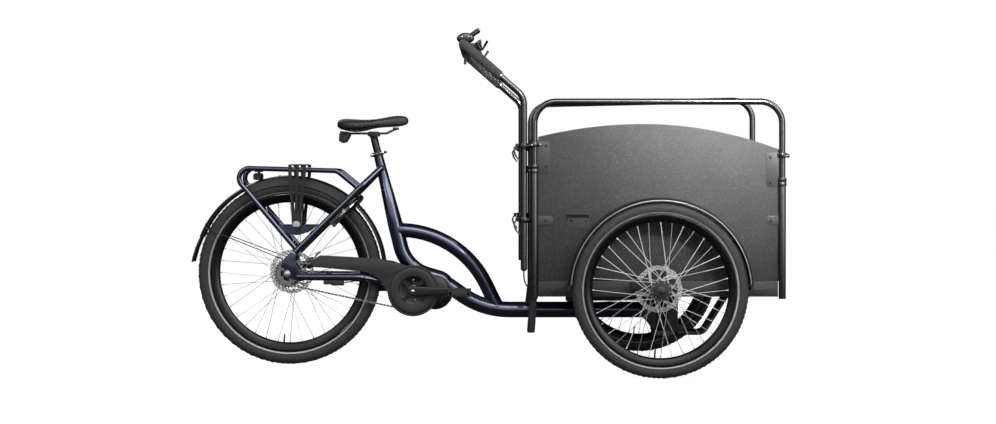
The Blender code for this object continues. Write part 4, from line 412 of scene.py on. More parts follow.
def lathe(bm, profile, centre, segments=48, axis="Y"):
    """Turn a closed outline of (radius, along) points about an axis."""
    centre = Vector(centre)
    rings = []
    for radius, along in profile:
        if radius < 1e-6:
            spot = {"X": (along, 0, 0), "Y": (0, along, 0), "Z": (0, 0, along)}[axis]
            rings.append([bm.verts.new(centre + Vector(spot))] * segments)
            continue
        ring = []
        for k in range(segments):
            a = 2 * math.pi * k / segments
            c, s = radius * math.cos(a), radius * math.sin(a)
            spot = {"X": (along, c, s), "Y": (c, along, s), "Z": (c, s, along)}[axis]
            ring.append(bm.verts.new(centre + Vector(spot)))
        rings.append(ring)
    for low, high in zip(rings, rings[1:] + rings[:1]):
        for k in range(segments):
            n = (k + 1) % segments
            corners = []
            for v in (low[k], low[n], high[n], high[k]):
                if v not in corners:
                    corners.append(v)
            if len(corners) > 2:
                bm.faces.new(corners)
    return bm


def block_of(bm, low, high):
    """A box between any two opposite corners; made() bevels its edges later."""
    spans = [sorted(span) for span in zip(Vector(low), Vector(high))]
    for v in bmesh.ops.create_cube(bm, size=1)["verts"]:
        v.co = [a + (at + 0.5) * (b - a) for at, (a, b) in zip(v.co, spans)]


dark_alloy = worn("dark_alloy", (0.016, 0.016, 0.017), (0.42, 0.3, 0.3, 0.3), 160, 3, 0.16, 0.34)
steel_seam = worn("bare_seam", (0.55, 0.56, 0.6), (0.35, 0.9), 300, 2, 0.2, 0.25)
bracket_black = worn("bracket_black_paint", (0.004, 0.004, 0.0045), (0.5, 0.0, 0.15, 0.4), 140, 3,
    0.16, 0.42)
SEAT_LEAN = math.radians(13.8)
SEAT_WAY = Vector((-math.sin(SEAT_LEAN), 0, math.cos(SEAT_LEAN)))
KNEE = Vector((-0.29074, 0, 0.406))
FOOT = Vector((0.00489, 0, 0.199))
HEAD = Vector((0.65, 0, 0.199))
REAR_AXLE = Vector((-0.7, 0, 0.3345))


def on_seat_tube(z):
    return KNEE + SEAT_WAY * ((z - KNEE.z) / SEAT_WAY.z)


upper_path = bend_corners([on_seat_tube(0.512), on_seat_tube(0.3505), Vector((-0.137, 0, 0.3092)),
    Vector((-0.113, 0, 0.264))], [0.14, 0.05], 14)
low_path = bend_corners([KNEE.lerp(FOOT, 0.57), FOOT, HEAD], [0.3], 14)
bm = swept([on_seat_tube(z) for z in (0.774, 0.719, 0.6375, 0.6365)] + upper_path,
    [0.0165, 0.018, 0.0212, 0.0218] + [0.0272] * len(upper_path), 40)
swept(low_path, 0.029, 40, bm)
lathe(bm, mm(15.6, -73.5, 33, -73.5, 35, -71.5, 35, -62, 33.5, -60, 33.5, 50, 35, 52, 35, 61.5,
    33, 63.5, 15.6, 63.5), HEAD, 48, "Z")
made("main_tube_skin", bm, navy, "frame", ["main_tube"])
# Painted shade: a black sleeve over the navy head tube and a black plate over the low tube's front
# end darken the frame where the box's shadow falls.
bm = plate_of(bmesh.new(), mm(588, 229, 586, 169, 598, 160, 620, 130, 636, 130, 636, 256, 622, 256,
    608, 230.5), -0.0302, 0.0302)
lathe(bm, mm(15.6, -73.3, 35.2, -73.3, 36.2, -71.5, 36.2, 61.2, 35.2, 63.3, 15.6, 63.3), HEAD, 48,
    "Z")
made("head_block_skin", bm, bracket_black, "frame", rounded=0.002)

arch_start, arch_end = Vector((-0.31023, 0, 0.489)), Vector((0.058, 0, 0.202))
arch_corner = Vector((-0.08198, 0, 0.489))
arch_path = bend_corners([arch_start, arch_corner, arch_end], [0.352], 26)
made("arch_tube_skin", swept(arch_path, 0.026, 40), navy, "frame", ["arch_tube"])


def joint_bead(bm, start, way, radius, post, post_way, post_radius, thickness=0.002):
    """A rippled weld where a tube of one radius meets the side of another."""
    way, post_way = Vector(way).normalized(), Vector(post_way).normalized()
    side = way.cross(post_way).normalized()
    up = side.cross(way)
    flat = way - post_way * way.dot(post_way)
    points = []
    for k in range(73):
        a = 2 * math.pi * k / 72
        rim = Vector(start) + (up * math.cos(a) + side * math.sin(a)) * radius
        away = rim - Vector(post)
        away -= post_way * away.dot(post_way)
        half = away.dot(flat) / flat.length_squared
        rest = (away.length_squared - post_radius ** 2) / flat.length_squared
        reach = -half + math.sqrt(max(0.0, half * half - rest))
        points.append(rim + way * reach)
    ripple = [thickness * (1 + 0.16 * math.sin(k * 2.1)) for k in range(73)]
    swept(points, ripple, 8, bm)


STAY_TOP = on_seat_tube(0.715)
STAY_FOOT = Vector((-0.673, 0.07, 0.4105))
bm = bmesh.new()
for side in (-1, 1):
    near = Vector((STAY_TOP.x, side * 0.0225, STAY_TOP.z))
    foot = Vector((STAY_FOOT.x, side * 0.07, STAY_FOOT.z))
    shoulder = STAY_TOP.lerp(Vector((STAY_FOOT.x, 0, STAY_FOOT.z)), 0.2)
    shoulder.y = side * 0.07
    swept(bend_corners([near, shoulder, foot], [0.05], 10), 0.0115, 24, bm)
bridge = STAY_TOP.lerp(Vector((STAY_FOOT.x, 0, STAY_FOOT.z)), 0.3)
bridge += (STAY_TOP - bridge).normalized().cross(Vector((0, 1, 0))) * -0.004
swept([bridge + Vector((0, -0.07, 0)), bridge + Vector((0, 0.07, 0))], 0.0075, 20, bm)
swept([STAY_TOP + Vector((0.004, -0.0225, 0)), STAY_TOP + Vector((0.004, 0.0225, 0))], 0.0112, 20,
    bm)
made("seat_stays_skin", bm, navy, "frame", ["seat_stays"])

bm = bmesh.new()
low = REAR_AXLE.z - 0.012
for side in (-1, 1):
    corners = [REAR_AXLE + Vector((0.035, side * 0.07, -0.011)),
        Vector((-0.438, side * 0.068, low - 0.001)), Vector((-0.388, side * 0.0415, low - 0.012)),
        Vector((-0.34, side * 0.03, low - 0.02))]
    path = bend_corners(corners, [0.06, 0.08], 7)
    swept(path, [0.0135] * 7 + [0.0122] * (len(path) - 7), 24, bm)
    outline = mm(-24, 25, -22, 34, -12, 54, 12, 78, 32, 68, 26, 50, 29, 36, 38, 18, 50, 6, 56, -10,
        56, -26, 44, -28, 28, -20, 6, 2, -6, 14.5)
    outline = moved(outline, REAR_AXLE)
    plate_of(bm, outline, side * 0.0675, side * 0.0755)
block_of(bm, (-0.355, -0.036, low - 0.034), (-0.326, 0.036, low - 0.006))
lathe(bm, mm(0, -12, 9.5, -12, 10, -11, 10, 8, 9, 9, 0, 9), (-0.5505, -0.069, low + 0.013), 24,
    "Z")
made("chain_stays_skin", bm, navy, "frame", ["chain_stays"], rounded=0.0012)
bm = bmesh.new()
for side in (-1, 1):
    outline = [(0.0185 * math.cos(math.radians(a)), 0.0185 * math.sin(math.radians(a)))
        for a in range(120, 301, 15)]
    outline += mm(30, -23.5, 46, -26.5, 46, -14, 22, 10, 10, 20)
    plate_of(bm, moved(outline, REAR_AXLE), side * 0.0668, side * 0.0742)
block_of(bm, (-0.57, -0.076, low - 0.027), (-0.524, -0.064, low - 0.0125))
block_of(bm, (-0.542, -0.074, low - 0.031), (-0.496, -0.065, low - 0.013))
swept([(-0.496, -0.069, low - 0.021), (-0.46, -0.069, low - 0.015), (-0.41, -0.064, low - 0.014)],
    0.0022, 10, bm)
made("axle_carriers", bm, dark_alloy, "frame", rounded=0.0012)

# The rack. A bent tube on each side runs from the stays back along the deck and down
# to the dropouts, joined by cross bars and two deck rods, with a web in each corner.
bm = bmesh.new()
stay_way = (STAY_TOP - Vector((STAY_FOOT.x, 0, STAY_FOOT.z))).normalized()
joint = Vector((STAY_FOOT.x, 0, STAY_FOOT.z)) + stay_way * 0.33
for side in (-1, 1):
    y = side * 0.064
    rail = bend_corners([(joint.x - 0.008, y, joint.z), (-0.522, y, 0.705), (-0.919, y, 0.7165),
        (-0.672, y, 0.425)], [0.04, 0.036], 10)
    swept(rail, 0.0092, 24, bm)
    web = mm(-738, 508, -722, 490, -700, 478, -668, 472, -642, 478, -618, 494, -602, 508)
    plate_of(bm, web, side * 0.0622, side * 0.0658)
for x, z in ((-0.84, 0.715), (-0.528, 0.705)):
    swept([(x, -0.064, z), (x, 0.064, z)], 0.0078, 20, bm)
for y in (-0.024, 0.024):
    swept([(-0.846, y, 0.715), (-0.522, y, 0.705)], 0.0045, 16, bm)
made("rack_frame_skin", bm, navy, "frame", ["rack_frame"])
bm = bmesh.new()
joint_bead(bm, arch_start, (1, 0, 0), 0.026, KNEE, SEAT_WAY, 0.027)
joint_bead(bm, arch_end, arch_path[-2] - arch_end, 0.026, (0, 0, HEAD.z), (1, 0, 0), 0.029)
joint_bead(bm, HEAD, (-1, 0, 0), 0.029, HEAD, (0, 0, 1), 0.0335)
for side in (-1, 1):
    joint_bead(bm, (joint.x - 0.008, side * 0.064, joint.z),
        Vector((-0.522 - joint.x, 0, 0.705 - joint.z)), 0.0092, (joint.x, side * 0.0665, joint.z),
        stay_way, 0.0115, 0.0016)
made("frame_welds", bm, navy, "frame")
seam = on_seat_tube(0.637)
across_tube = SEAT_WAY.cross(Vector((0, 1, 0)))
bm = swept([seam + (across_tube * math.cos(a) + Vector((0, 1, 0)) * math.sin(a)) * 0.0216
    for a in (2 * math.pi * k / 48 for k in range(49))], 0.0007, 8)
made("seat_tube_seam", bm, steel_seam, "frame")

# The wheels. Each has a black tyre with a pale reflective line on its sides, a black
# hollow rim, 36 steel spokes crossed three times between the hub's two flanges, and a
# drilled steel brake disc bolted to one end of the hub.


def baked(thing):
    """The mesh of an object after its modifiers."""
    graph = bpy.context.evaluated_depsgraph_get()
    return bpy.data.meshes.new_from_object(thing.evaluated_get(graph))


class Pattern:
    """A Geometry Nodes tree with named sizes, run once and turned into a mesh."""

    def __init__(self, name, **sizes):
        self.tree = bpy.data.node_groups.new(name, "GeometryNodeTree")
        self.sizes = sizes
        for way in ("OUTPUT", "INPUT"):
            self.tree.interface.new_socket("Geometry", in_out=way,
                socket_type="NodeSocketGeometry")
        self.keys = {}
        for key, value in sizes.items():
            kind = {int: "Int", float: "Float", tuple: "Vector"}[type(value)]
            made_socket = self.tree.interface.new_socket(key.replace("_", " "), in_out="INPUT",
                socket_type="NodeSocket" + kind)
            self.keys[key] = made_socket.identifier
        self.group = self.tree.nodes.new("NodeGroupInput")

    def size(self, key):
        return Socket(self.tree, self.group.outputs[key.replace("_", " ")])

    def turned(self, way, axis="Z"):
        """The turn that lays an axis along a way."""
        return self.add("FunctionNodeAlignRotationToVector", settings={"axis": axis}, Vector=way)

    def spots(self, axis="Z"):
        """The points that the tree is run on, and the turn of each to its way."""
        way = self.add("InputNamedAttribute", settings={"data_type": "FLOAT_VECTOR"}, Name="way")
        return Socket(self.tree, self.group.outputs["Geometry"]), self.turned(way, axis)

    def add(self, kind, out=0, settings=None, **values):
        prefix = "" if kind.startswith(("FunctionNode", "ShaderNode")) else "GeometryNode"
        return Socket(self.tree, None).node(prefix + kind, out, settings, **values)

    def join(self, *parts):
        joined = self.tree.nodes.new("GeometryNodeJoinGeometry")
        for part in parts:
            self.tree.links.new(part.link, joined.inputs[0])
        return Socket(self.tree, joined.outputs[0])

    def ends_with(self, *parts):
        """Join parts of (geometry, material), each realised and given its finish."""
        done = []
        for part, material in parts:
            real = self.add("RealizeInstances", i0=part)
            done.append(self.add("SetMaterial", Geometry=real, Material=material))
        out = self.tree.nodes.new("NodeGroupOutput")
        self.tree.links.new(self.join(*done).link, out.inputs[0])
        return self

    def run(self, name, body, replaced=(), slot=None, spots=(), **changes):
        """Run the tree with its sizes, keep the mesh, and hang it on a body."""
        start = bpy.data.meshes.new(name + "_start")
        if spots:
            start.from_pydata([tuple(place) for place, way in spots], [], [])
            ways = start.attributes.new("way", "FLOAT_VECTOR", "POINT")
            ways.data.foreach_set("vector", [v for place, way in spots for v in way])
        holder = linked(name, start)
        step = holder.modifiers.new("pattern", "NODES")
        step.node_group = self.tree
        for key, value in {**self.sizes, **changes}.items():
            step[self.keys[key]] = value
        bpy.context.view_layer.update()
        mesh = baked(holder)
        holder.modifiers.remove(step)
        holder.data = mesh
        mesh.shade_smooth()
        mesh.set_sharp_from_angle(angle=math.radians(35))
        return hung(holder, body, replaced)


steel = worn("bright_steel", (0.62, 0.62, 0.63), (0.25, 1.0), 260, 2, 0.2, 0.16)
black = worn("satin_black_paint", (0.01, 0.01, 0.011), (0.33, 0.2, 0.8, 0.2), 120, 3, 0.12, 0.27)
rim_black = worn("black_anodised", (0.014, 0.014, 0.015), (0.3, 0.8), 400, 2, 0.15, 0.22)


def tyre_finish(name, centre, line_radius):
    """Tyre rubber with a reflective line and fine ribs on its sides."""
    material, place = finish(name, (0.028, 0.028, 0.029), 0.82)
    spot = place.node("VectorMath", settings={"operation": "SUBTRACT"}, i0=place, i1=tuple(centre))
    x, y, z = (spot.node("SeparateXYZ", k, Vector=spot) for k in range(3))
    far = spot.sum("SQRT", x * x + z * z)
    angle = spot.sum("ARCTAN2", z, x)
    line = (abs(far - line_radius) < 0.0028) * 1.0
    dirt = grain(place, 90, 4)
    feed(material, Base_Color=line.blend(dirt.blend((0.024, 0.024, 0.025), (0.068, 0.068, 0.071)),
        (0.95, 0.95, 0.94)), Roughness=line * -0.35 + 0.8,
        Normal=bump(angle.node("Math", settings={"operation": "SINE"}, i0=angle * 260.0), 0.18,
        0.0004))
    return material


def rounded_tyre(bm, centre, radius, width, rim_radius, blocks):
    """A tyre's round section with a groove beside the middle and a bead below."""
    height = radius - rim_radius
    half = []
    for k in range(15):
        a = math.pi * (0.5 - k / 14 * 0.93)
        out = math.sin(a)
        across = math.cos(a) * width * 0.5
        grow = rim_radius + height * (0.52 + 0.48 * out) - 0.0013 * max(0.0, out)
        half.append((grow, across))
    half.append((rim_radius + 0.0008, width * 0.36))
    half[1] = (half[1][0] - 0.0004, half[1][1])
    section = [(r, -y) for r, y in reversed(half)] + half[1:]
    lathe(bm, section, centre, blocks)
    return bm


disc_steel = worn("ground_disc_steel", (0.46, 0.46, 0.47), (0.4, 0.6), 420, 2, 0.2, 0.34)
spoke_steel = worn("drawn_spoke_steel", (0.52, 0.52, 0.53), (0.38, 0.75), 300, 2, 0.2, 0.34)
SPOKES = Pattern("laced_spokes", Count=36, Hub_Radius=0.029, Flange=0.029, Rim_Radius=0.2545,
    Thickness=0.0011, Centre=(0.0, 0.0, 0.0))
i = SPOKES.add("InputIndex")
points = SPOKES.add("Points", Count=SPOKES.size("Count"))
flange = i.sum("FLOORED_MODULO", i, 2.0) * 2 - 1
leading = 1 - i.sum("FLOORED_MODULO", i.sum("FLOOR", i / 2), 2.0) * 2
spacing = 2 * math.pi / 36
rim_angle = i * spacing
hub_angle = rim_angle + leading * (6 * spacing)


def on_circle(angle, radius, across):
    return angle.node("ShaderNodeCombineXYZ", X=angle.sum("SINE", angle) * radius, Y=across,
        Z=angle.sum("COSINE", angle) * radius)


def vector_sum(a, b, operation="ADD"):
    return a.node("ShaderNodeVectorMath", settings={"operation": operation}, i0=a, i1=b)


start = on_circle(hub_angle, SPOKES.size("Hub_Radius"),
    flange * (SPOKES.size("Flange") + leading * 0.0021))
end = on_circle(rim_angle, SPOKES.size("Rim_Radius"), flange * 0.0035)
way = vector_sum(end, start, "SUBTRACT")
length = way.node("ShaderNodeVectorMath", 1, {"operation": "LENGTH"}, i0=way)
middle = way.node("ShaderNodeVectorMath", settings={"operation": "SCALE"},
    i0=vector_sum(start, end), Scale=0.5)
turn = SPOKES.turned(way)
wire = SPOKES.add("MeshCylinder", Vertices=8, Radius=SPOKES.size("Thickness"), Depth=1.0)
nipple = SPOKES.add("MeshCylinder", Vertices=8, Radius=0.0021, Depth=0.011)
head = SPOKES.add("MeshUVSphere", Segments=8, Rings=6, Radius=0.0019)
rods = SPOKES.add("InstanceOnPoints", Instance=wire, Rotation=turn,
    Points=SPOKES.add("SetPosition", Geometry=points, Position=middle),
    Scale=length.node("ShaderNodeCombineXYZ", X=1.0, Y=1.0, Z=length))
seats = SPOKES.add("InstanceOnPoints", Instance=nipple, Rotation=turn,
    Points=SPOKES.add("SetPosition", Geometry=points, Position=end))
heads = SPOKES.add("InstanceOnPoints", Instance=head, Points=SPOKES.add("SetPosition",
    Geometry=points, Position=start))
placed = [SPOKES.add("Transform", Geometry=part, Translation=SPOKES.size("Centre"))
    for part in (rods, seats, heads)]
SPOKES.ends_with((SPOKES.join(*placed), spoke_steel))


def ring_plate(bm, outer, inner, low, high):
    """A flat plate between two closed outlines with as many points each."""
    loops = {(key, y): [bm.verts.new((x, y, z)) for x, z in outline]
        for key, outline in (("out", outer), ("in", inner)) for y in (low, high)}
    pairs = [(("out", low), ("in", low)), (("in", high), ("out", high)),
        (("out", high), ("out", low)), (("in", low), ("in", high))]
    for first, second in pairs:
        for k in range(len(outer)):
            n = (k + 1) % len(outer)
            bm.faces.new((loops[first][k], loops[first][n], loops[second][n], loops[second][k]))
    return bm


def drilled(bm, *cutters):
    """Cut shapes out of a mesh with exact Booleans."""
    holders = []
    for shape in (bm, *cutters):
        bmesh.ops.recalc_face_normals(shape, faces=shape.faces)
        mesh = bpy.data.meshes.new("cut")
        shape.to_mesh(mesh)
        shape.free()
        holders.append(linked("cut", mesh))
    for cutter in holders[1:]:
        step = holders[0].modifiers.new("cut", "BOOLEAN")
        step.operation = "DIFFERENCE"
        step.object = cutter
    mesh = baked(holders[0])
    for holder in holders:
        bpy.data.objects.remove(holder)
    done = bmesh.new()
    done.from_mesh(mesh)
    return done


def collar(inner, outer, low, high, side, end):
    """A ring's section, its outer edges cut back by side and by end."""
    return [(inner, low), (outer - side, low), (outer, low + end), (outer, high - end),
        (outer - side, high), (inner, high)]


def brake_disc(bm, centre, y, hand):
    """A wavy drilled ring on five raked arms, bolted to the hub."""
    turns = [2 * math.pi * k / 150 for k in range(150)]
    hub = Vector((0, 0, 0))
    outer, inner = (fan(hub, 0, [(radius + wave * math.cos(a * 15), a) for a in turns])
        for radius, wave in ((0.08, 0.0009), (0.0655, 0.0012)))
    plate = ring_plate(bmesh.new(), outer, inner, -0.0009, 0.0009)
    cutters = bmesh.new()
    for k in range(30):
        for radius, shift in ((0.0765, 0.0), (0.0728, 0.5), (0.069, 0.0)):
            a = 2 * math.pi * (k + shift + 0.4 * (0.0765 - radius) / 0.0075) / 30
            hole = bmesh.ops.create_cone(cutters, cap_ends=True, segments=8, radius1=0.0021,
                radius2=0.0021, depth=0.01)
            turn = Matrix.Rotation(math.pi / 2, 4, "X")
            shift_to = Matrix.Translation(ray(a, radius))
            bmesh.ops.transform(cutters, matrix=shift_to @ turn, verts=hole["verts"])
    arms = drilled(plate, cutters)
    for k in range(5):
        a = 2 * math.pi * k / 5
        rake = math.radians(26) * hand
        half = rake * 0.35
        arm = fan(hub, a, ((0.02, -0.22), (0.02, 0.22), (0.043, half + 0.085),
            (0.0665, rake + 0.1), (0.0665, rake - 0.1), (0.043, half - 0.085)))
        plate_of(arms, arm, -0.0009, 0.0009)
    lathe(arms, mm(15, -1.2, 23.5, -1.2, 23.5, 1.2, 15, 1.2), (0, 0, 0), 40)
    for k in range(6):
        a = 2 * math.pi * (k + 0.3) / 6
        lathe(arms, collar(0, 0.0036, -0.0026, 0.0026, 0.0004, 0.0014), ray(a, 0.0198), 10)
    bmesh.ops.translate(arms, verts=arms.verts, vec=Vector(centre) + Vector((0, y, 0)))
    mesh = bpy.data.meshes.new("disc_done")
    arms.to_mesh(mesh)
    arms.free()
    bm.from_mesh(mesh)
    return bm


tread_rubber, place = finish("tread_rubber", (0.034, 0.034, 0.035), 0.8)
feed(tread_rubber, Base_Color=grain(place, 90, 4).blend((0.034, 0.034, 0.035),
    (0.085, 0.085, 0.088)))
TREAD = Pattern("tread_blocks", Length=0.012)
points, turn = TREAD.spots()
odd = points.sum("FLOORED_MODULO", TREAD.add("InputIndex"), 2.0)
rows = []
for choice, lean in ((odd, 0.45), (1 - odd, -0.45)):
    bar = TREAD.add("MeshCube", Size=(0.0034, 0.012, 0.0024))
    bar = TREAD.add("Transform", Geometry=bar, Rotation=(0.0, 0.0, lean))
    rows.append(TREAD.add("InstanceOnPoints", Points=points, Rotation=turn, Selection=choice,
        Instance=bar))
TREAD.ends_with((TREAD.join(*rows), tread_rubber))


def build_wheel(name, centre, radius, width, rim, depth, line, flange, disc_y, shell):
    """One wheel on its CAD places, from the tyre down to the hub."""
    body = name + "_wheel"
    centre = Vector(centre)
    rubber = tyre_finish(name + "_tyre_rubber", centre, line)
    made(name + "_tyre_skin", rounded_tyre(bmesh.new(), centre, radius, width, rim, 160), rubber,
        body, [name + "_tyre"], sharp=50)
    blocks = []
    for k in range(208):
        side, lift = (-1, 1)[k % 2], math.radians(52 if k % 4 < 2 else 76)
        a = 2 * math.pi * (k + 0.5 * side) / 208
        far = rim + (radius - rim) * (0.52 + 0.48 * math.sin(lift)) - 0.0014
        across = side * math.cos(lift)
        blocks.append((centre + ray(a, far, across * width * 0.5), ray(a, math.sin(lift), across)))
    TREAD.run(name + "_tread", body, slot="tyre_rubber", spots=blocks)
    inner = rim - depth
    half = (mm(-6, 12.5, 0.2, 13.5, 0.2, 15.5, -1, 16.2, -4, 15.8, -12, 14.6, x=rim) + mm(6, 10,
        1.2, 6.6, 0, 4, x=inner))
    wall = half + [(r, -y) for r, y in reversed(half)]
    made(name + "_rim_skin", lathe(bmesh.new(), wall, centre, 160), rim_black, body,
        [name + "_rim"], sharp=50)
    bm = lathe(bmesh.new(), shell, centre, 48)
    made(name + "_hub_skin", bm, black if name == "rear" else bracket_black, body, [name + "_hub"],
        sharp=30)
    if name != "rear":
        out = math.copysign(1, centre.y)
        cap = mm(3, 42.6, 4.2, 44.6, 8.8, 44.8, 9.8, 43.6, 9.8, 40.5, 0, 40.5, 0, 42.6)
        made(name + "_dust_cap", lathe(bmesh.new(), [(r, out * y) for r, y in cap], centre, 36),
            steel, body, sharp=35)
    hand = 1 if name == "rear" else -1
    made(name + "_brake_disc", brake_disc(bmesh.new(), centre, disc_y, hand), disc_steel, body)
    SPOKES.run(name + "_spokes", body, slot="steel", Flange=flange, Rim_Radius=inner - 0.001,
        Centre=tuple(centre))
    valve = bmesh.new()
    lathe(valve, mm(0, -30, 2.2, -30, 2.6, -24, 3, -22, 3, 2, 0, 2, z=inner), (0, 0, 0), 12, "Z")
    bmesh.ops.rotate(valve, verts=valve.verts, cent=(0, 0, 0),
        matrix=Matrix.Rotation(math.radians(185), 3, "Y"))
    bmesh.ops.translate(valve, verts=valve.verts, vec=centre)
    made(name + "_valve", valve, rim_black, body)


rear_shell = mm(6.6, -41.5, 24, -41.5, 29, -36, 34, -32, 34, -26, 27.5, -23, 25, -18, 25, 18,
    27.5, 23, 34, 26, 34, 32, 24, 35, 20.5, 54, 15, 60, 12, 65.5, 6.6, 65.5)
build_wheel("rear", REAR_AXLE, REAR_AXLE.z, 0.054, 0.285, 0.03, 0.292, 0.029, 0.05, rear_shell)
front_shell = mm(8.1, -42, 16.5, -42, 17.2, -41.2, 17.2, -39, 25, -38.2, 26.2, -36.8, 26.2, -33.5,
    34, -33, 34, -27, 25, -24, 18.5, -20, 18, 20, 25, 24, 34, 27, 34, 33, 24, 36, 20.5, 40,
    19.5, 56, 18, 64, 8.1, 64)
FRONT_X, FRONT_Z, TRACK = 0.609, 0.3, 0.398
for word, side in (("right", -1), ("left", 1)):
    shell = [(r, y * -side) for r, y in front_shell]
    build_wheel(f"front_{word}", (FRONT_X, side * TRACK, FRONT_Z), FRONT_Z, 0.047, 0.257, 0.0265,
        0.2625, 0.03, side * -0.052, shell)

# The drive. A pedal motor hangs under the frame's low bend, its cranks forged alloy in
# black. The chainring on the crank's four-armed spider pulls a half-inch steel roller
# chain to the rear sprocket, behind a matte cover that is screwed to the motor.
plastic, place = finish("matte_moulded_plastic", (0.021, 0.021, 0.022), 0.55)
feed(plastic, Roughness=grain(place, 300, 3) * 0.2 + 0.42,
    Normal=bump(grain(place, 900, 2), 0.22, 0.0002),
    Base_Color=grain(place, 40, 4).blend((0.008, 0.008, 0.009), (0.016, 0.016, 0.017)))
forged, place = finish("forged_black_alloy", (0.012, 0.012, 0.013), 0.38, 0.35, 0.3, 0.2)
feed(forged, Roughness=grain(place, 160, 3) * 0.14 + 0.32,
    Normal=bump(grain(place, 1400, 1), 0.12, 0.0002))
gloss_plastic = worn("glossy_moulded_plastic", (0.008, 0.008, 0.009), (0.25, 0.0, 0.8, 0.08), 260,
    2, 0.12, 0.2)
# Painted shade: near-black for the screws' six-sided recesses, which are solid plugs, not holes.
socket_shade = worn("screw_socket_painted_shade", (0.006, 0.006, 0.006), (0.6,), 500, 2, 0.2, 0.5)
chain_steel, place = finish("oiled_chain_steel", (0.26, 0.26, 0.27), 0.32, 1.0)
feed(chain_steel, Roughness=grain(place, 500, 2) * 0.25 + 0.22,
    Base_Color=grain(place, 220, 3).blend((0.16, 0.155, 0.15), (0.46, 0.45, 0.43)))
BRACKET = Vector((-0.24824, 0, 0.272))
CHAIN_Y, PITCH, RING_TEETH, SPROCKET_TEETH = -0.048, 0.0127, 36, 20
RING_RADIUS = PITCH / 2 / math.sin(math.pi / RING_TEETH)
SPROCKET_RADIUS = PITCH / 2 / math.sin(math.pi / SPROCKET_TEETH)


def arc_points(centre, radius, start, end, steps):
    """Points on an arc in the length-height plane, angles in degrees."""
    turns = [math.radians(start + (end - start) * k / steps) for k in range(steps + 1)]
    return [(centre[0] + radius * math.cos(a), centre[1] + radius * math.sin(a)) for a in turns]


def toothed(centre, pitch_radius, teeth):
    """Chain-wheel outline: rounded teeth between round gullets."""
    pairs = []
    for k in range(teeth * 8):
        share = (k / 8) % 1
        rise = max(0.0, math.cos((share - 0.5) * 2 * math.pi)) ** 0.7
        pairs.append((pitch_radius - 0.004 + 0.0066 * rise, 2 * math.pi * k / (teeth * 8)))
    return fan(centre, 0, pairs)


def round_hole(centre, radius, count):
    return fan(centre, 0, [(radius, 2 * math.pi * k / count) for k in range(count)])


def screw_pattern(name, head):
    """Button heads in one finish, each with a six-sided recess drawn as a dark plug that paints
    the shade in the hole.
    """
    screw = Pattern(name, Size=0.003)
    points, turn = screw.spots()
    size = screw.size("Size")
    ball = screw.add("MeshUVSphere", Segments=20, Rings=10, Radius=size)
    dome = screw.add("Transform", Geometry=ball, Scale=(1.0, 1.0, 0.6))
    recess = screw.add("MeshCylinder", Vertices=6, Radius=size * 0.42, Depth=size * 1.26)
    parts = [screw.add("InstanceOnPoints", Points=points, Instance=shape, Rotation=turn)
        for shape in (dome, recess)]
    return screw.ends_with((parts[0], head), (parts[1], socket_shade))


def faced(spots, side, y):
    """Screws' places on a face that looks to one side."""
    return [(Vector((x, side * y, z)), (0, side, 0)) for x, z in spots]


SCREWS = screw_pattern("button_head_screws", steel)
DARK_SCREWS = screw_pattern("dark_button_head_screws", forged)

# The chain: pins and rollers at every pitch, with inner and outer side plates in turn.
LINKS = Pattern("roller_chain_links", Pitch=PITCH)
points, turn = LINKS.spots("X")
odd = points.sum("FLOORED_MODULO", LINKS.add("InputIndex"), 2.0)
upright = LINKS.add("FunctionNodeEulerToRotation", Euler=(math.pi / 2, 0.0, 0.0))


def link_plate(across, thickness, height):
    """Both side plates of a link: round ends and a narrower waist."""
    shapes = []
    for side in (-1, 1):
        for along in (-0.5, 0.5):
            end = LINKS.add("MeshCylinder", Vertices=12, Radius=height / 2, Depth=thickness)
            shapes.append(LINKS.add("Transform", Geometry=end, Rotation=upright,
                Translation=(along * PITCH, side * across, 0.0)))
        waist = LINKS.add("MeshCube", Size=(PITCH, thickness, height * 0.5))
        shapes.append(LINKS.add("Transform", Geometry=waist,
            Translation=(0.0, side * across, 0.0)))
    return LINKS.join(*shapes)


def pin(radius, depth):
    rod = LINKS.add("MeshCylinder", Vertices=12, Radius=radius, Depth=depth)
    return LINKS.add("Transform", Geometry=rod, Rotation=upright,
        Translation=(-PITCH / 2, 0.0, 0.0))


every = LINKS.add("InstanceOnPoints", Points=points, Rotation=turn,
    Instance=LINKS.join(pin(0.0038, 0.003), pin(0.0018, 0.0084)))
inner = LINKS.add("InstanceOnPoints", Points=points, Rotation=turn, Selection=odd,
    Instance=link_plate(0.0022, 0.0009, 0.0082))
outer = LINKS.add("InstanceOnPoints", Points=points, Rotation=turn, Selection=1 - odd,
    Instance=link_plate(0.0033, 0.0009, 0.0078))
LINKS.ends_with((LINKS.join(every, inner, outer), chain_steel))

slope = math.atan2(REAR_AXLE.z - BRACKET.z, BRACKET.x - REAR_AXLE.x)
span = math.hypot(REAR_AXLE.z - BRACKET.z, BRACKET.x - REAR_AXLE.x)
lean = math.asin((RING_RADIUS - SPROCKET_RADIUS) / span)
top, low = math.pi / 2 - slope + lean, -math.pi / 2 - slope - lean
loop = [BRACKET + ray(top + (low - top) * k / 120, RING_RADIUS) for k in range(121)]
loop += [REAR_AXLE + ray(low - (2 * math.pi - top + low) * k / 80, SPROCKET_RADIUS)
    for k in range(81)]
loop.append(loop[0])
reach = [0.0]
for a, b in zip(loop, loop[1:]):
    reach.append(reach[-1] + (b - a).length)
pins, step = [], 0
for k in range(100):
    while reach[step + 1] < reach[-1] * k / 100:
        step += 1
    share = (reach[-1] * k / 100 - reach[step]) / (reach[step + 1] - reach[step])
    pins.append(loop[step].lerp(loop[step + 1], share) + Vector((0, CHAIN_Y, 0)))
LINKS.run("chain_links", "frame", ["chain"], "steel", spots=[((a + b) / 2, (b - a).normalized())
    for a, b in zip(pins, pins[1:] + pins[:1])])

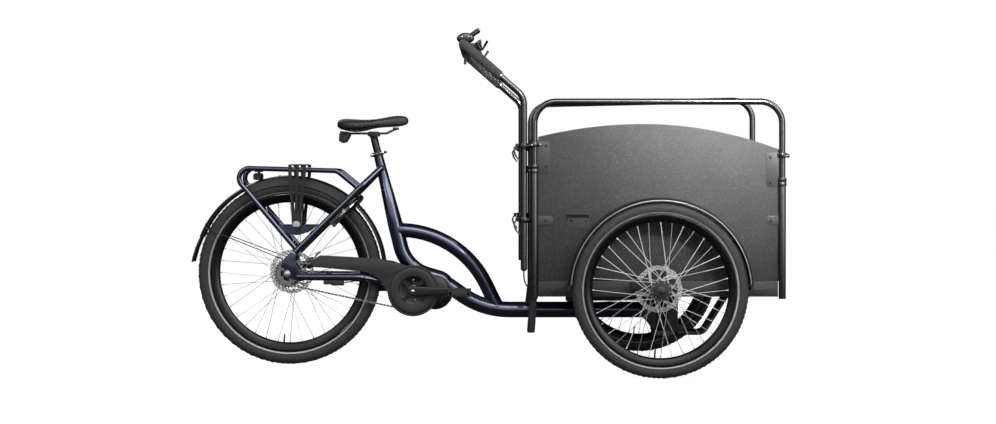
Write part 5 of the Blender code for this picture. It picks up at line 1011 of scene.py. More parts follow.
# The two chain wheels, the spider with its cranks, and the axle's bolts.
hole = round_hole(BRACKET, 0.0565, RING_TEETH * 8)
bm = ring_plate(bmesh.new(), toothed(BRACKET, RING_RADIUS, RING_TEETH), hole, CHAIN_Y - 0.0012,
    CHAIN_Y + 0.0012)
made("chainring_skin", bm, forged, "crank", ["chainring"], sharp=50)
hole = round_hole(REAR_AXLE, 0.0285, SPROCKET_TEETH * 8)
bm = ring_plate(bmesh.new(), toothed(REAR_AXLE, SPROCKET_RADIUS, SPROCKET_TEETH), hole,
    CHAIN_Y - 0.0012, CHAIN_Y + 0.0012)
plate_centre = REAR_AXLE + Vector((0, CHAIN_Y, 0))
lathe(bm, mm(6.8, -4, 15.5, -4, 16, -3, 16, 5.5, 6.8, 5.5), plate_centre, 40)
for k in range(5):
    a = 2 * math.pi * k / 5
    plate_of(bm, fan(REAR_AXLE, a, ((0.014, -0.3), (0.03, -0.16), (0.03, 0.16), (0.014, 0.3))),
        CHAIN_Y - 0.0011, CHAIN_Y + 0.0011)
made("rear_sprocket_skin", bm, chain_steel, "sprocket", ["rear_sprocket"], sharp=50)
bm = ring_plate(bmesh.new(), toothed(REAR_AXLE, 0.0505, 26), round_hole(REAR_AXLE, 0.0405, 208),
    CHAIN_Y + 0.0075, CHAIN_Y + 0.0095)
lathe(bm, mm(20, 9, 40, 9, 44, 10, 44, 11, 20, 11, z=CHAIN_Y), REAR_AXLE, 60)
made("sprocket_guard", bm, dark_alloy, "sprocket", sharp=50)
bm = ring_plate(bmesh.new(), toothed(REAR_AXLE, 0.056, 30), round_hole(REAR_AXLE, 0.047, 240),
    CHAIN_Y + 0.0112, CHAIN_Y + 0.0124)
made("sprocket_guard_ring", bm, steel, "sprocket", sharp=50)

bm = bmesh.new()
for side in (-1, 1):
    outline = arc_points((0, 0), 0.0175, 90, 270, 16)
    outline += [(0.05, -0.0148), (0.11, -0.0125)]
    outline += arc_points((0.17, 0), 0.0125, -90, 90, 14)
    outline += [(0.11, 0.0125), (0.05, 0.0148)]
    plate_of(bm, [(BRACKET.x - side * a, BRACKET.z + b) for a, b in outline], side * 0.074,
        side * 0.086)
bmesh.ops.recalc_face_normals(bm, faces=bm.faces)
edges = [e for e in bm.edges if e.calc_face_angle(0) > 1.2]
bmesh.ops.bevel(bm, geom=edges, offset=0.0034, segments=3, profile=0.6, affect="EDGES")
lathe(bm, collar(0, 0.01, -0.084, 0.084, 0.0005, 0.01), BRACKET, 40)
# Partly painted shade: the disc behind the spider in the case's mouth is a real cover, and its
# dark finish also stands for the shade in that recess.
shield = lathe(bmesh.new(), mm(11, -45, 44, -45, 45.5, -46.2, 56, -46.2, 56, -44, 11, -44),
    BRACKET, 72)
plate_of(shield, mm(-3, 25.5, 17, 25.5, 17, 29, -3, 29, x=BRACKET.x, z=BRACKET.z), -0.0468, -0.044)
made("crank_shield", shield, dark_alloy, "crank", sharp=50)
SCREWS.run("crank_shield_screws", "crank", slot="steel", Size=0.003,
    spots=[(BRACKET + Vector((a, -0.0455, b)), (0, -1, 0)) for a, b in ((0.0, 0.0385),
    (-0.0335, -0.0245), (0.009, -0.0345), (0.033, 0.033))])
lathe(bm, mm(10, -52.5, 19.5, -52.5, 21.5, -51, 21.5, -50, 10, -50), BRACKET, 40)
for k in range(4):
    a = math.radians(45 + 90 * k)
    way, out = ray(a), ray(a + math.pi / 2)
    corners = mm(12, 9, 34, 7, 52, 7.8, 62, 7.8, 62, -7.8, 52, -7.8, 34, -7, 12, -9)
    outline = [BRACKET + way * r + out * t for r, t in corners]
    plate_of(bm, [(p.x, p.z) for p in outline], CHAIN_Y - 0.0042, CHAIN_Y - 0.0016)
made("crank_arms_skin", bm, forged, "crank", ["crank_arms"], sharp=40)
SCREWS.run("chainring_screws", "crank", slot="steel", Size=0.0042,
    spots=[(BRACKET + ray(math.radians(45 + 90 * k), 0.059, CHAIN_Y - 0.0042), (0, -1, 0))
    for k in range(4)])
SCREWS.run("crank_axle_screws", "crank", slot="steel", Size=0.007,
    spots=[(BRACKET + Vector((0, side * 0.0848, 0)), (0, side, 0)) for side in (-1, 1)])

# The pedals: a resin cage moulded round a barrel, with ribbed rubber treads that are
# pressed into its two long sides, on a steel spindle screwed into the crank's end.
rubber, place = finish("moulded_rubber", (0.016, 0.016, 0.017), 0.82)
feed(rubber, Roughness=grain(place, 260, 3) * 0.15 + 0.74,
    Base_Color=grain(place, 60, 3).blend((0.01, 0.01, 0.011), (0.022, 0.022, 0.023)),
    Normal=bump(grain(place, 1200, 2), 0.3, 0.0002))
RIBS = Pattern("tread_ribs", Height=0.0268)
points = RIBS.spots()[0]
rib = RIBS.add("MeshCylinder", Vertices=10, Radius=0.0016, Depth=RIBS.size("Height"))
RIBS.ends_with((RIBS.add("InstanceOnPoints", Points=points, Instance=rib), rubber))
for word, side in (("right", -1), ("left", 1)):
    centre = BRACKET + Vector((-side * 0.17, 0, 0))
    inner_y, outer_y = side * 0.093, side * 0.1835
    bm = bmesh.new()
    for end in (-1, 1):
        block_of(bm, (centre.x + end * 0.0335 - 0.0068, inner_y, centre.z - 0.0105),
            (centre.x + end * 0.0335 + 0.0068, outer_y, centre.z + 0.0105))
    for y in (inner_y, outer_y - side * 0.0085):
        plate_of(bm, mm(-36, -7.5, -12, -12.8, 12, -12.8, 36, -7.5, 36, 7.5, 12, 12.8, -12, 12.8,
            -36, 7.5, x=centre.x, z=centre.z), y, y + side * 0.0085)
    made(f"pedal_{word}_cage", bm, plastic, f"pedal_{word}", [f"pedal_{word}"],
        rounded=0.0016)
    bm = lathe(bmesh.new(), [(0, inner_y), (0.0085, inner_y), (0.0105, inner_y + side * 0.004),
        (0.0095, side * 0.135), (0.01, outer_y - side * 0.004), (0.008, outer_y + side * 0.0004),
        (0, outer_y + side * 0.0004)], centre, 32)
    made(f"pedal_{word}_barrel", bm, plastic, f"pedal_{word}")
    bm = lathe(bmesh.new(), mm(0, 73.5, 5.8, 73.5, 5.8, 86.5, 8.5, 86.8, 8.5, 90.5, 5.5, 91,
        5.5, 94, 0, 94, flip=side), centre, 24)
    made(f"pedal_{word}_spindle", bm, steel, f"pedal_{word}")
    RIBS.run(f"pedal_{word}_treads", f"pedal_{word}", slot="matte_black_plastic",
        spots=[(centre + Vector((end * 0.0335 + shift, side * (0.1 + 0.0052 * k), 0)), (0, 0, 1))
        for end in (-1, 1) for shift in (-0.0045, 0, 0.0045) for k in range(16)], Height=0.0252)

# The chain cover: a moulded arm over the chain's upper run, grown together with a
# round end that stands out as a flat ring round the crank, its rims softly rounded.
CASE_Y = CHAIN_Y - 0.014
upper = mm(-372.5, 96.5, -369, 101, -342, 124.5, -333, 128, -210, 121.5, -120, 115, -70, 108,
    -40, 99.5)
under = mm(-94.5, -4, -100, 8, -112, 29, -131, 48, -152, 61, -181, 69, -263, 77, -330, 83.5,
    -354, 84.5)
outline = upper[:-1] + arc_points((0, 0), 0.0925, 104, -177, 60) + under
outline = moved(outline, BRACKET)
bm = plate_of(bmesh.new(), outline, CASE_Y, CASE_Y + 0.0066)
inside = (mm(-369, 97.5, -340, 121.5, -332.5, 125.2, -120, 112.5, -60, 103)
    + arc_points((0, 0), 0.09, 100, -170, 50) + mm(-120, 44, -181, 72, -330, 86.2, -353, 87))
inside = moved(inside, BRACKET)
hollow = plate_of(bmesh.new(), inside, CASE_Y + 0.0025, CASE_Y + 0.02)
mouth = lathe(bmesh.new(), mm(0, -20, 52.5, -20, 52.5, 20, 0, 20),
    BRACKET + Vector((0, CASE_Y, 0)), 96)
groove = lathe(bmesh.new(), mm(83.4, -4, 85.2, -4, 85.2, 1.8, 83.4, 1.8),
    BRACKET + Vector((0, CASE_Y, 0)), 96)
bm = drilled(bm, mouth, hollow, groove)
lathe(bm, mm(52.2, 2, 52.2, -1.6, 53.2, -2.6, 55, -3, 65, -3.4, 73, -3.4, 80.5, -3, 82.5, -2.2,
    83.2, -0.8, 83.2, 2), BRACKET + Vector((0, CASE_Y, 0)), 96)
bracket_low = Vector((BRACKET.x + 0.085, CASE_Y + 0.001, BRACKET.z - 0.01))
block_of(bm, bracket_low, (BRACKET.x + 0.0905, -0.0343, BRACKET.z + 0.01))
made("chaincase_skin", bm, plastic, "frame", ["chaincase"], sharp=30,
    rounded=0.0011)

# The motor: two die-cast halves with a parting seam, ribs for heat and small screws.
centre = BRACKET + Vector((0.077, 0, -0.0055))
bm = lathe(bmesh.new(), mm(0, -34, 41, -34, 45, -32.5, 59, -26.5, 64, -21.5, 66, -16, 66, -1.2,
    64.5, -0.4, 64.5, 0.6, 66, 1.4, 66, 37, 64, 42, 56, 48.5, 44, 50, 0, 50), centre, 80)
lathe(bm, mm(12, -24, 39, -24, 43, -22, 44, -18, 44, 40, 42, 43, 37, 44, 12, 44), BRACKET, 72)
for k in range(9):
    a = math.radians(-150 + 15 * k)
    rib = fan(centre, a, ((0.064, -0.02), (0.0672, -0.016), (0.0672, 0.016), (0.064, 0.02)))
    plate_of(bm, rib, 0.006, 0.034)
made("motor_skin", bm, plastic, "frame", ["motor"], sharp=32)
DARK_SCREWS.run("motor_screws", "frame", slot="matte_black_plastic", Size=0.0036,
    spots=[(centre + ray(math.radians(a), 0.052, y), (0, side, 0))
    for side, y in ((-1, -0.03), (1, 0.049)) for a in (-160, -110, -60, -10, 25)])

# The rear axle's ends: a washer and a domed nut on each side of the dropouts.
bm = lathe(bmesh.new(), mm(0, -87, 5.6, -86.5, 6, -85, 6, 85, 5.6, 86.5, 0, 87), REAR_AXLE, 24)
for side in (-1, 1):
    lathe(bm, mm(5.8, 75.8, 11.5, 75.8, 11.5, 77.2, 5.8, 77.2, flip=side), REAR_AXLE, 32)
    lathe(bm, mm(5.8, 77.2, 9.8, 77.2, 9.8, 83.5, 8.8, 84.8, 5.8, 84.8, flip=side), REAR_AXLE, 6)
made("rear_axle_nuts", bm, steel, "frame", ["rear_axle"], sharp=30, rounded=0.0004)

# The rear caliper: a cast body over the disc, inside the left dropout, with a banjo stub for the
# hose.
x, z = REAR_AXLE.x, REAR_AXLE.z
bm = plate_of(bmesh.new(), mm(50, 16, 62, 10, 86, 18, 94, 30, 90, 48, 74, 53, 56, 50, 48, 36,
    x=x, z=z), 0.038, 0.0668)
plate_of(bm, mm(18, 10, 34, 6, 60, 14, 60, 30, 40, 40, 20, 34, x=x, z=z), 0.061, 0.067)
slot = lathe(bmesh.new(), mm(20, -3.4, 82.8, -3.4, 82.8, 3.4, 20, 3.4),
    REAR_AXLE + Vector((0, 0.05, 0)), 72)
bm = drilled(bm, slot)
swept(bend_corners([(x + 0.084, 0.058, z + 0.048), (x + 0.09, 0.06, z + 0.064),
    (x + 0.104, 0.061, z + 0.07)], [0.008], 5), 0.003, 12, bm)
made("rear_caliper_skin", bm, forged, "frame", ["rear_caliper"],
    rounded=0.0012)

# On the rack. Three moulded rubber bands run over the deck and down both sides to a
# hook, whose face holds a white reflector, and a red lamp hangs under the deck's end.


def band(bm, path, width, thickness, radius):
    """A flat strip with rounded edges, its width along the tricycle."""
    points = bend_corners(path, [radius] * (len(path) - 2), 6)
    section = [(-0.5, -0.25), (-0.44, -0.5), (0.44, -0.5), (0.5, -0.25), (0.5, 0.25), (0.44, 0.5),
        (0.1, 0.5), (0.06, 0.34), (-0.06, 0.34), (-0.1, 0.5), (-0.44, 0.5), (-0.5, 0.25)]
    rings = []
    for k, point in enumerate(points):
        along = (points[min(k + 1, len(points) - 1)] - points[max(k - 1, 0)]).normalized()
        out = Vector((1, 0, 0)).cross(along).normalized()
        rings.append([bm.verts.new(point + Vector((a * width, 0, 0)) + out * (b * thickness))
            for a, b in section])
    skinned(bm, rings)


STRAP_X, HOOK_Z = -0.6875, 0.512
bm = bmesh.new()
for shift in (-0.026, 0.0, 0.026):
    low_x = STRAP_X + 0.021 + shift * 0.42
    top_x = STRAP_X + 0.023 + shift
    half = [(low_x, 0.08, 0.54), (top_x, 0.0776, 0.7), (top_x, 0.074, 0.7262)]
    path = [Vector((x, -y, z)) for x, y, z in half]
    path += [Vector(p) for p in reversed(half)]
    band(bm, path, 0.0125, 0.0036, 0.006)
block_of(bm, (STRAP_X - 0.01, -0.011, 0.7245), (STRAP_X + 0.056, 0.011, 0.7292))
for side in (-1, 1):
    x = STRAP_X + 0.021
    outline = [(x - 0.018, HOOK_Z + 0.044), (x - 0.0158, HOOK_Z + 0.004)]
    outline += arc_points((x, HOOK_Z), 0.0158, 180, 360, 18)
    outline += [(x + 0.0158, HOOK_Z + 0.004), (x + 0.018, HOOK_Z + 0.044)]
    plate_of(bm, outline, side * 0.0762, side * 0.0826)
    plate_of(bm, arc_points((x, HOOK_Z - 0.02), 0.0085, -180, 0, 10)
        + [(x + 0.0085, HOOK_Z - 0.01), (x - 0.0085, HOOK_Z - 0.01)], side * 0.077, side * 0.0815)
    swept(bend_corners([(x, side * 0.07, HOOK_Z - 0.016), (x, side * 0.0745, HOOK_Z - 0.028),
        (x, side * 0.08, HOOK_Z - 0.02)], [0.004], 5), 0.0028, 10, bm)
made("rack_bands", bm, rubber, "frame", ["rack_straps"], sharp=40, rounded=0.0007)
reflector, place = finish("white_reflector", (0.8, 0.8, 0.8), 0.16, 0.0, 1.0, 0.03)
x, y, z = (place.node("SeparateXYZ", k, Vector=place) for k in range(3))
facets = x.sum("PINGPONG", x, 0.0011) + z.sum("PINGPONG", z, 0.0011)
feed(reflector, Base_Color=(facets * 500.0).blend((0.62, 0.63, 0.64), (0.94, 0.94, 0.95)),
    Normal=bump(facets, 0.6, 0.002))
bm = bmesh.new()
for side in (-1, 1):
    outline = arc_points((STRAP_X + 0.021, HOOK_Z), 0.0128, -38, 218, 26)
    plate_of(bm, outline, side * 0.0815, side * 0.0834)
made("hook_reflectors", bm, reflector, "frame", rounded=0.0005)

red_lens, place = finish("red_lamp_lens", (0.42, 0.01, 0.012), 0.12, 0.0, 1.0, 0.03)
y = place.node("SeparateXYZ", 1, Vector=place)
z = place.node("SeparateXYZ", 2, Vector=place)
ribs = y.sum("PINGPONG", y, 0.0016)
feed(red_lens, Base_Color=(ribs * 500.0).blend((0.24, 0.004, 0.006), (0.52, 0.016, 0.018)),
    Normal=bump(ribs, 0.5, 0.002))
x = -0.814
bm = bmesh.new()
outline = mm(-11, 671.5, 6, 670.5, 12, 676, 12, 692, 6, 697, -11, 696.5, x=x)
plate_of(bm, outline, -0.034, 0.034)
block_of(bm, (x - 0.005, -0.004, 0.694), (x + 0.005, 0.004, 0.7065))
block_of(bm, (x - 0.012, -0.03, 0.7005), (x + 0.012, 0.03, 0.7075))
made("rear_lamp_body", bm, plastic, "frame", ["rear_light"], rounded=0.0025)
bm = plate_of(bmesh.new(), mm(-16, 674.5, -10.5, 672.5, -10.5, 695.5, -16, 693.5, x=x), -0.0325,
    0.0325)
made("rear_lamp_lens", bm, red_lens, "frame", rounded=0.0016)

# The mudguards: blades pressed from black coated sheet, crowned across, with rolled
# edges. The rear one ends in a soft flap and is held by the lock, the rack and two
# steel wires; each wire ends in a small clip that is riveted to the blade.
guard_black, place = finish("matte_guard_coating", (0.01, 0.01, 0.011), 0.34, 0.0, 0.9, 0.16)
feed(guard_black, Roughness=grain(place, 220, 3) * 0.14 + 0.26,
    Normal=bump(grain(place, 1500, 2), 0.1, 0.0002),
    Base_Color=grain(place, 18, 4).blend((0.007, 0.007, 0.008), (0.014, 0.014, 0.015)))


def arc_sweep(bm, centre, section, start, end, steps, change=None):
    """Sweep a closed section of (radius, across) round a centre, in degrees."""
    rings = []
    for k in range(steps + 1):
        a = math.radians(start + (end - start) * k / steps)
        grow, widen = change(k / steps) if change else (0.0, 1.0)
        rings.append([bm.verts.new((centre[0] + (r + grow) * math.cos(a), centre[1] + y * widen,
            centre[2] + (r + grow) * math.sin(a))) for r, y in section])
    return skinned(bm, rings)


def blade_section(radius, width, sag=0.0115, wall=0.0016):
    """A crowned blade with edges that roll inwards."""
    outer = []
    for k in range(17):
        t = -1 + 2 * k / 16
        outer.append((radius - sag * abs(t) ** 3.2, t * width / 2))
    inner = [(r - wall if abs(y) < width * 0.44 else r - 0.0002, y * (1 - 2 * wall / width))
        for r, y in reversed(outer)]
    roll = 0.0022
    return outer[:-1] + [(outer[-1][0], width / 2), (outer[-1][0] - roll, width / 2 - 0.0006),
        (outer[-1][0] - roll, width / 2 - 0.0022)] + inner[1:-1] + [
        (outer[0][0] - roll, -width / 2 + 0.0022), (outer[0][0] - roll, -width / 2 + 0.0006)]


REAR_GUARD, GUARD_WIDTH = 0.354, 0.062
bm = arc_sweep(bmesh.new(), REAR_AXLE, blade_section(REAR_GUARD, GUARD_WIDTH), 6, 158, 120,
    lambda s: (0.0, 1.0 + 0.12 * max(0.0, s - 0.86) / 0.14))
made("rear_guard_blade", bm, guard_black, "frame", ["rear_mudguard"],
    sharp=40)
bm = bmesh.new()
skirt = mm(318, 30.2, 317.4, 31, 318.2, 32, 320, 31.8, 346.5, 30.8, 346.5, 29.8)
for side in (-1, 1):
    arc_sweep(bm, REAR_AXLE, [(r, side * y) for r, y in skirt], 52, 118, 48)
made("rear_guard_skirts", bm, bracket_black, "frame", sharp=40)
tip = REAR_AXLE + ray(math.radians(158), REAR_GUARD - 0.006)
bm = bmesh.new()
rows = [(0.004, 0.014, 0.03), (-0.01, -0.014, 0.0325), (-0.021, -0.04, 0.034),
    (-0.03, -0.07, 0.0345), (-0.0345, -0.088, 0.0325), (-0.0345, -0.0915, 0.03)]
grid = []
for back, down, half in rows:
    row = []
    for k in range(13):
        t = -1 + k / 6
        crown = 0.0075 * (1 - abs(t) ** 2.4)
        row.append((tip.x + back - crown + 0.0065, t * half, tip.z + down))
    grid.append(row)
front = [[bm.verts.new(p) for p in row] for row in grid]
rear = [[bm.verts.new((x + 0.0022, y * 0.985, z)) for x, y, z in row] for row in grid]
for sheet, flip in ((front, False), (rear, True)):
    for low, high in zip(sheet, sheet[1:]):
        for k in range(12):
            face = [low[k], low[k + 1], high[k + 1], high[k]]
            bm.faces.new(list(reversed(face)) if flip else face)
for a, b in (([r[0] for r in front], [r[0] for r in rear]),
             ([r[-1] for r in front], [r[-1] for r in rear]), (front[0], rear[0]),
             (front[-1], rear[-1])):
    for k in range(len(a) - 1):
        bm.faces.new((a[k], a[k + 1], b[k + 1], b[k]))
made("rear_guard_flap", bm, rubber, "frame", sharp=50)
high = REAR_AXLE + ray(math.radians(152), REAR_GUARD - 0.01)
bm, clips = bmesh.new(), bmesh.new()
for side in (-1, 1):
    start = Vector((high.x + 0.004, side * 0.031, high.z))
    near = Vector((REAR_AXLE.x - 0.019, side * 0.0655, REAR_AXLE.z + 0.052))
    swept([start, near], 0.0017, 12, bm)
    swept([near + Vector((-0.004, side * 0.001, 0.002)), near], 0.004, 12, bm)
    way = (near - start).normalized()
    swept([start - way * 0.006, start + way * 0.012], [0.0042, 0.003], 12, clips)
made("rear_guard_wires", bm, black, "frame")
made("rear_guard_clips", clips, plastic, "frame")
DARK_SCREWS.run("rear_guard_rivets", "frame", slot="matte_black_plastic", Size=0.003,
    spots=[(REAR_AXLE + ray(math.radians(a), REAR_GUARD + 0.0002, y), ray(math.radians(a)))
    for a in (150, 96, 40) for y in (-0.01, 0.01)])

# The ring lock: a horseshoe of two moulded halves, screwed to bosses on the seat stays,
# with a hardened steel bow inside it and a key barrel at the end of its right leg.
LOCK_AXES = Matrix(((0, -1, 0), (0.705, 0, -0.7092), (0.7092, 0, 0.705)))
LOCK = Matrix.Translation((-0.49061, 0, 0.55964)) @ LOCK_AXES.transposed().to_4x4()


def in_lock(bm):
    bmesh.ops.transform(bm, matrix=LOCK, verts=bm.verts)
    return bm


section = mm(50, -10.8, 49.5, -10, 49, -6, 49, -1.2, 49.5, -0.4, 49.5, 0.4, 49, 1.2, 49, 7.5,
    51.5, 10.4, 54, 11.5, 66, 12, 71, 10.8, 75, 7.8, 77.5, 3.4, 78, 1.2, 77.5, 0.4, 77.5, -0.4,
    78, -1.2, 77.5, -4, 75, -8.2, 71, -10.8, 66, -12, 54, -11.5, 52, -11)
bm = arc_sweep(bmesh.new(), (0, 0, 0), section, 90 - 138, 90 + 138, 72)
plate_of(bm, mm(46, -65, 50, -69, 68, -69, 74, -64, 76.5, -12, 74, -10, 48, -10, 46, -12), -0.0105,
    0.0115)
for z, y in ((-0.067, -0.005), (-0.065, 0.007)):
    lathe(bm, mm(0, -6, 5, -6, 6.6, -4.5, 6.6, 6, 0, 6), (0.069, y, z), 20, "X")
for k in range(4):
    z = 0.007 + k * 0.0032
    block_of(bm, (0.076, -0.006, z), (0.0788 - k * 0.0006, 0.006, z + 0.0016))
gloss_moulded = worn("lock_shell", (0.01, 0.01, 0.011), (0.26, 0.0, 0.7, 0.12), 220, 2, 0.14, 0.2)
made("ring_lock_skin", in_lock(bm), gloss_moulded, "frame", ["ring_lock"],
    sharp=35, rounded=0.0007)
barrel = lathe(bmesh.new(), mm(0, 70, 6.6, 70, 7.2, 78, 6.6, 80, 4.8, 80, 4.4, 79, 0, 79),
    (0, -0.004, -0.003), 32, "X")
block_of(barrel, (0.0755, -0.002, -0.03), (0.079, 0.0006, -0.011))
swept([ray(math.radians(15 + k * 1.5), 0.0772, 0.002) for k in range(11)], 0.003, 12, barrel)
swept([ray(math.radians(41 + k), 0.077, 0.001) for k in range(4)], 0.0026, 12, barrel)
made("ring_lock_barrel", in_lock(barrel), steel, "frame", rounded=0.0003)
bow = [ray(math.radians(90 + 136 - 180 * k / 48), 0.06) for k in range(49)]
made("lock_bow", in_lock(swept(bow, 0.004, 16)), steel, "lock_shackle", ["lock_shackle"])

# The seat. A steel post slides in the seat tube, held by an alloy collar with a cam
# lever. A forged head on it grips the saddle's two sprung steel rails.
satin_steel, place = finish("polished_post_steel", (0.55, 0.55, 0.56), 0.22, 1.0)
feed(satin_steel, Roughness=grain(place, 700, 2) * 0.16 + 0.14,
    Normal=bump(grain(place, 900, 1), 0.04, 0.0002))
LEAN = Matrix.Rotation(-SEAT_LEAN, 4, "Y")


def on_seat(bm, z):
    """Lean a shape built round the Z axis onto the seat tube at a height."""
    bmesh.ops.transform(bm, matrix=Matrix.Translation(on_seat_tube(z)) @ LEAN, verts=bm.verts)
    return bm


bm = lathe(bmesh.new(), mm(0, -164, 13, -164, 13.6, -162.5, 13.6, 54, 13, 55.2, 0, 55.2),
    (0, 0, 0), 48, "Z")
made("seat_post_skin", on_seat(bm, 0.774), rim_black, "saddle", ["seat_post"])
bm = lathe(bmesh.new(), mm(17, -15, 20.8, -15, 21.4, -14.2, 21.4, -11.5, 20.8, -10.8, 20.8, -4,
    21.4, -3.2, 21.4, -0.8, 20.6, 0, 13.8, 0, 13.8, -0.8, 17, -1.2), (0, 0, 0), 56, "Z")
block_of(bm, (-0.0115, -0.03, -0.014), (-0.0012, -0.0188, -0.002))
block_of(bm, (0.0012, -0.03, -0.014), (0.0115, -0.0188, -0.002))
made("seat_collar_skin", on_seat(bm, 0.774), black, "frame", ["seat_collar"],
    rounded=0.0009)
bm = lathe(bmesh.new(), mm(0, -21, 3.2, -21, 3.2, 15, 0, 15), (0, -0.0255, -0.0075), 20, "X")
lathe(bm, mm(0, -26.8, 5.2, -26.6, 6.2, -24, 6.8, -19.5, 6, -18, 0, -18), (0, -0.0255, -0.0075),
    28, "X")
made("seat_collar_bolt", on_seat(bm, 0.774), steel, "frame", rounded=0.0003)
lever = bmesh.new()
lathe(lever, collar(0, 0.0055, -0.0058, 0.0058, 0.0005, 0.0008), (0.02, -0.0255, -0.0075), 28, "Z")
path = bend_corners([(0.02, -0.0255, -0.0075), (0.0262, -0.0135, -0.0075),
    (0.0302, 0.0045, -0.0075), (0.0262, 0.0265, -0.0075)], [0.012, 0.022], 8)
widths = [0.003 + 0.0016 * math.sin(math.pi * min(1, k / (len(path) - 1) * 1.1))
    for k in range(len(path))]
swept(path, widths, 16, lever)
made("seat_lever_skin", on_seat(lever, 0.774), satin_steel, "seat_lever", ["seat_lever"])

head_at = on_seat_tube(0.828)
NOSE_X, SEAT_Z = -0.268, 0.9
rail_z = head_at.z + 0.0133
bm = bmesh.new()
for side in (-1, 1):
    y = side * 0.022
    path = bend_corners([(NOSE_X - 0.04, y * 0.5, SEAT_Z - 0.04), (NOSE_X - 0.082, y, rail_z),
        (NOSE_X - 0.19, y, rail_z), (NOSE_X - 0.234, y * 1.4, SEAT_Z - 0.059)], [0.022, 0.03], 8)
    swept(path, 0.0035, 16, bm)
    coil = [Vector((NOSE_X - 0.232 + 0.01 * math.cos(a), y * 1.28 + 0.01 * math.sin(a),
        SEAT_Z - 0.083 + 0.024 * a / (8 * math.pi))) for a in (2 * math.pi * 4 * k / 96
        for k in range(97))]
    swept(coil, 0.0016, 8, bm)
made("saddle_rails_skin", bm, black, "saddle", ["saddle_rails"])
bm = bmesh.new()
outline = mm(-21, 4.5, -17, 2.5, 17, 2.5, 21, 4.5, 21, 12, 17, 20, -17, 20, -21, 12)
plate_of(bm, moved(outline, head_at), -0.028, 0.028)
plate_of(bm, mm(-13, -3, 12, -3, 16, 6, -17, 6, x=head_at.x, z=head_at.z), -0.0135, 0.0135)
outline = mm(-251, -86, -240, -94, -226, -90, -212, -66, -214, -54, -245, -50, -250, -64,
    x=NOSE_X, z=SEAT_Z)
plate_of(bm, outline, -0.036, -0.019)
plate_of(bm, outline, 0.019, 0.036)
block_of(bm, (NOSE_X - 0.246, -0.0195, SEAT_Z - 0.074), (NOSE_X - 0.222, 0.0195, SEAT_Z - 0.052))
block_of(bm, (NOSE_X - 0.056, -0.02, SEAT_Z - 0.0455), (NOSE_X - 0.036, 0.02, SEAT_Z - 0.037))
made("saddle_head", bm, plastic, "saddle", rounded=0.0022)
DARK_SCREWS.run("saddle_head_screws", "saddle", slot="matte_black_plastic", Size=0.0045,
    spots=[(head_at + Vector((0.0, side * 0.0285, 0.013)), (0, side, 0)) for side in (-1, 1)])

# The saddle: a moulded shell under thick soft foam, with a tight cover whose edge is
# folded round the shell. The wings sag at their sides, the nose is round, and the top
# dips between a raised back and a raised nose.
cover, place = finish("saddle_cover_film", (0.02, 0.02, 0.021), 0.55, 0.0, 0.06, 0.4)
pores = place.node("TexVoronoi", 0, {"feature": "DISTANCE_TO_EDGE"}, Vector=place, Scale=900.0)
mottle = grain(place, 30, 4)
feed(cover, Base_Color=mottle.blend((0.009, 0.009, 0.01), (0.018, 0.018, 0.019)),
    Roughness=mottle * 0.1 + grain(place, 400, 2) * 0.12 + 0.46, Normal=bump(pores, 0.2, 0.0003))
STATIONS = [
    (0.000, -0.0080, -0.0190, 0.0060), (0.014, -0.0015, -0.0255, 0.0140),
    (0.045, 0.0035, -0.0310, 0.0190), (0.100, 0.0060, -0.0350, 0.0225),
    (0.170, 0.0062, -0.0372, 0.0258), (0.250, 0.0036, -0.0382, 0.0300),
    (0.340, -0.0010, -0.0392, 0.0362), (0.430, -0.0052, -0.0408, 0.0460),
    (0.520, -0.0078, -0.0440, 0.0600), (0.610, -0.0086, -0.0498, 0.0760),
    (0.700, -0.0076, -0.0538, 0.0868), (0.790, -0.0060, -0.0548, 0.0898),
    (0.870, -0.0052, -0.0530, 0.0856), (0.930, -0.0058, -0.0495, 0.0750),
    (0.970, -0.0092, -0.0430, 0.0610), (0.992, -0.0150, -0.0370, 0.0470),
    (1.000, -0.0215, -0.0320, 0.0330)]
bm = bmesh.new()
rings = []
for share, top, under, half in STATIONS:
    x = NOSE_X - share * 0.257
    low, high = SEAT_Z + under, SEAT_Z + top
    middle = low + (high - low) * 0.5
    ring = []
    for k in range(32):
        a = 2 * math.pi * k / 32
        c, s = math.cos(a), math.sin(a)
        out = math.copysign(abs(c) ** 0.8, c) * half
        if s < 0:
            out *= 1 - 0.2 * abs(s) ** 2
            up = -abs(s) ** 0.55 * (middle - low) * (1 - 0.42 * (1 - abs(c)) ** 2)
        else:
            up = abs(s) ** 0.86 * (high - middle)
            groove = math.exp(-(out / 0.01) ** 2) * 0.0038
            up -= groove * min(1, max(0, (share - 0.3) / 0.2)) * min(1, (1 - share) / 0.12)
        ring.append(bm.verts.new((x, out, middle + up)))
    rings.append(ring)
skinned(bm, rings)
bmesh.ops.recalc_face_normals(bm, faces=bm.faces)
mesh = bpy.data.meshes.new("saddle_start")
bm.to_mesh(mesh)
bm.free()
pad = linked("saddle_start", mesh)
smooth = pad.modifiers.new("smooth", "SUBSURF")
smooth.levels = smooth.render_levels = 2
mesh = baked(pad)
bpy.data.objects.remove(pad)
bm = bmesh.new()
bm.from_mesh(mesh)
saddle = made("saddle_pad", bm, cover, "saddle", ["saddle"], sharp=80)
bm = bmesh.new()
highlight_bead = []
for k in range(1, len(STATIONS) - 1):
    share, top, under, half = STATIONS[k]
    highlight_bead.append((NOSE_X - share * 0.257, half * 0.9, SEAT_Z + under + 0.0045))
loop = [Vector((x, -y, z)) for x, y, z in highlight_bead] + [Vector(p) for p in reversed(highlight_bead)]
swept(loop + loop[:1], 0.0011, 8, bm)
made("saddle_edge_piping", bm, rubber, "saddle")

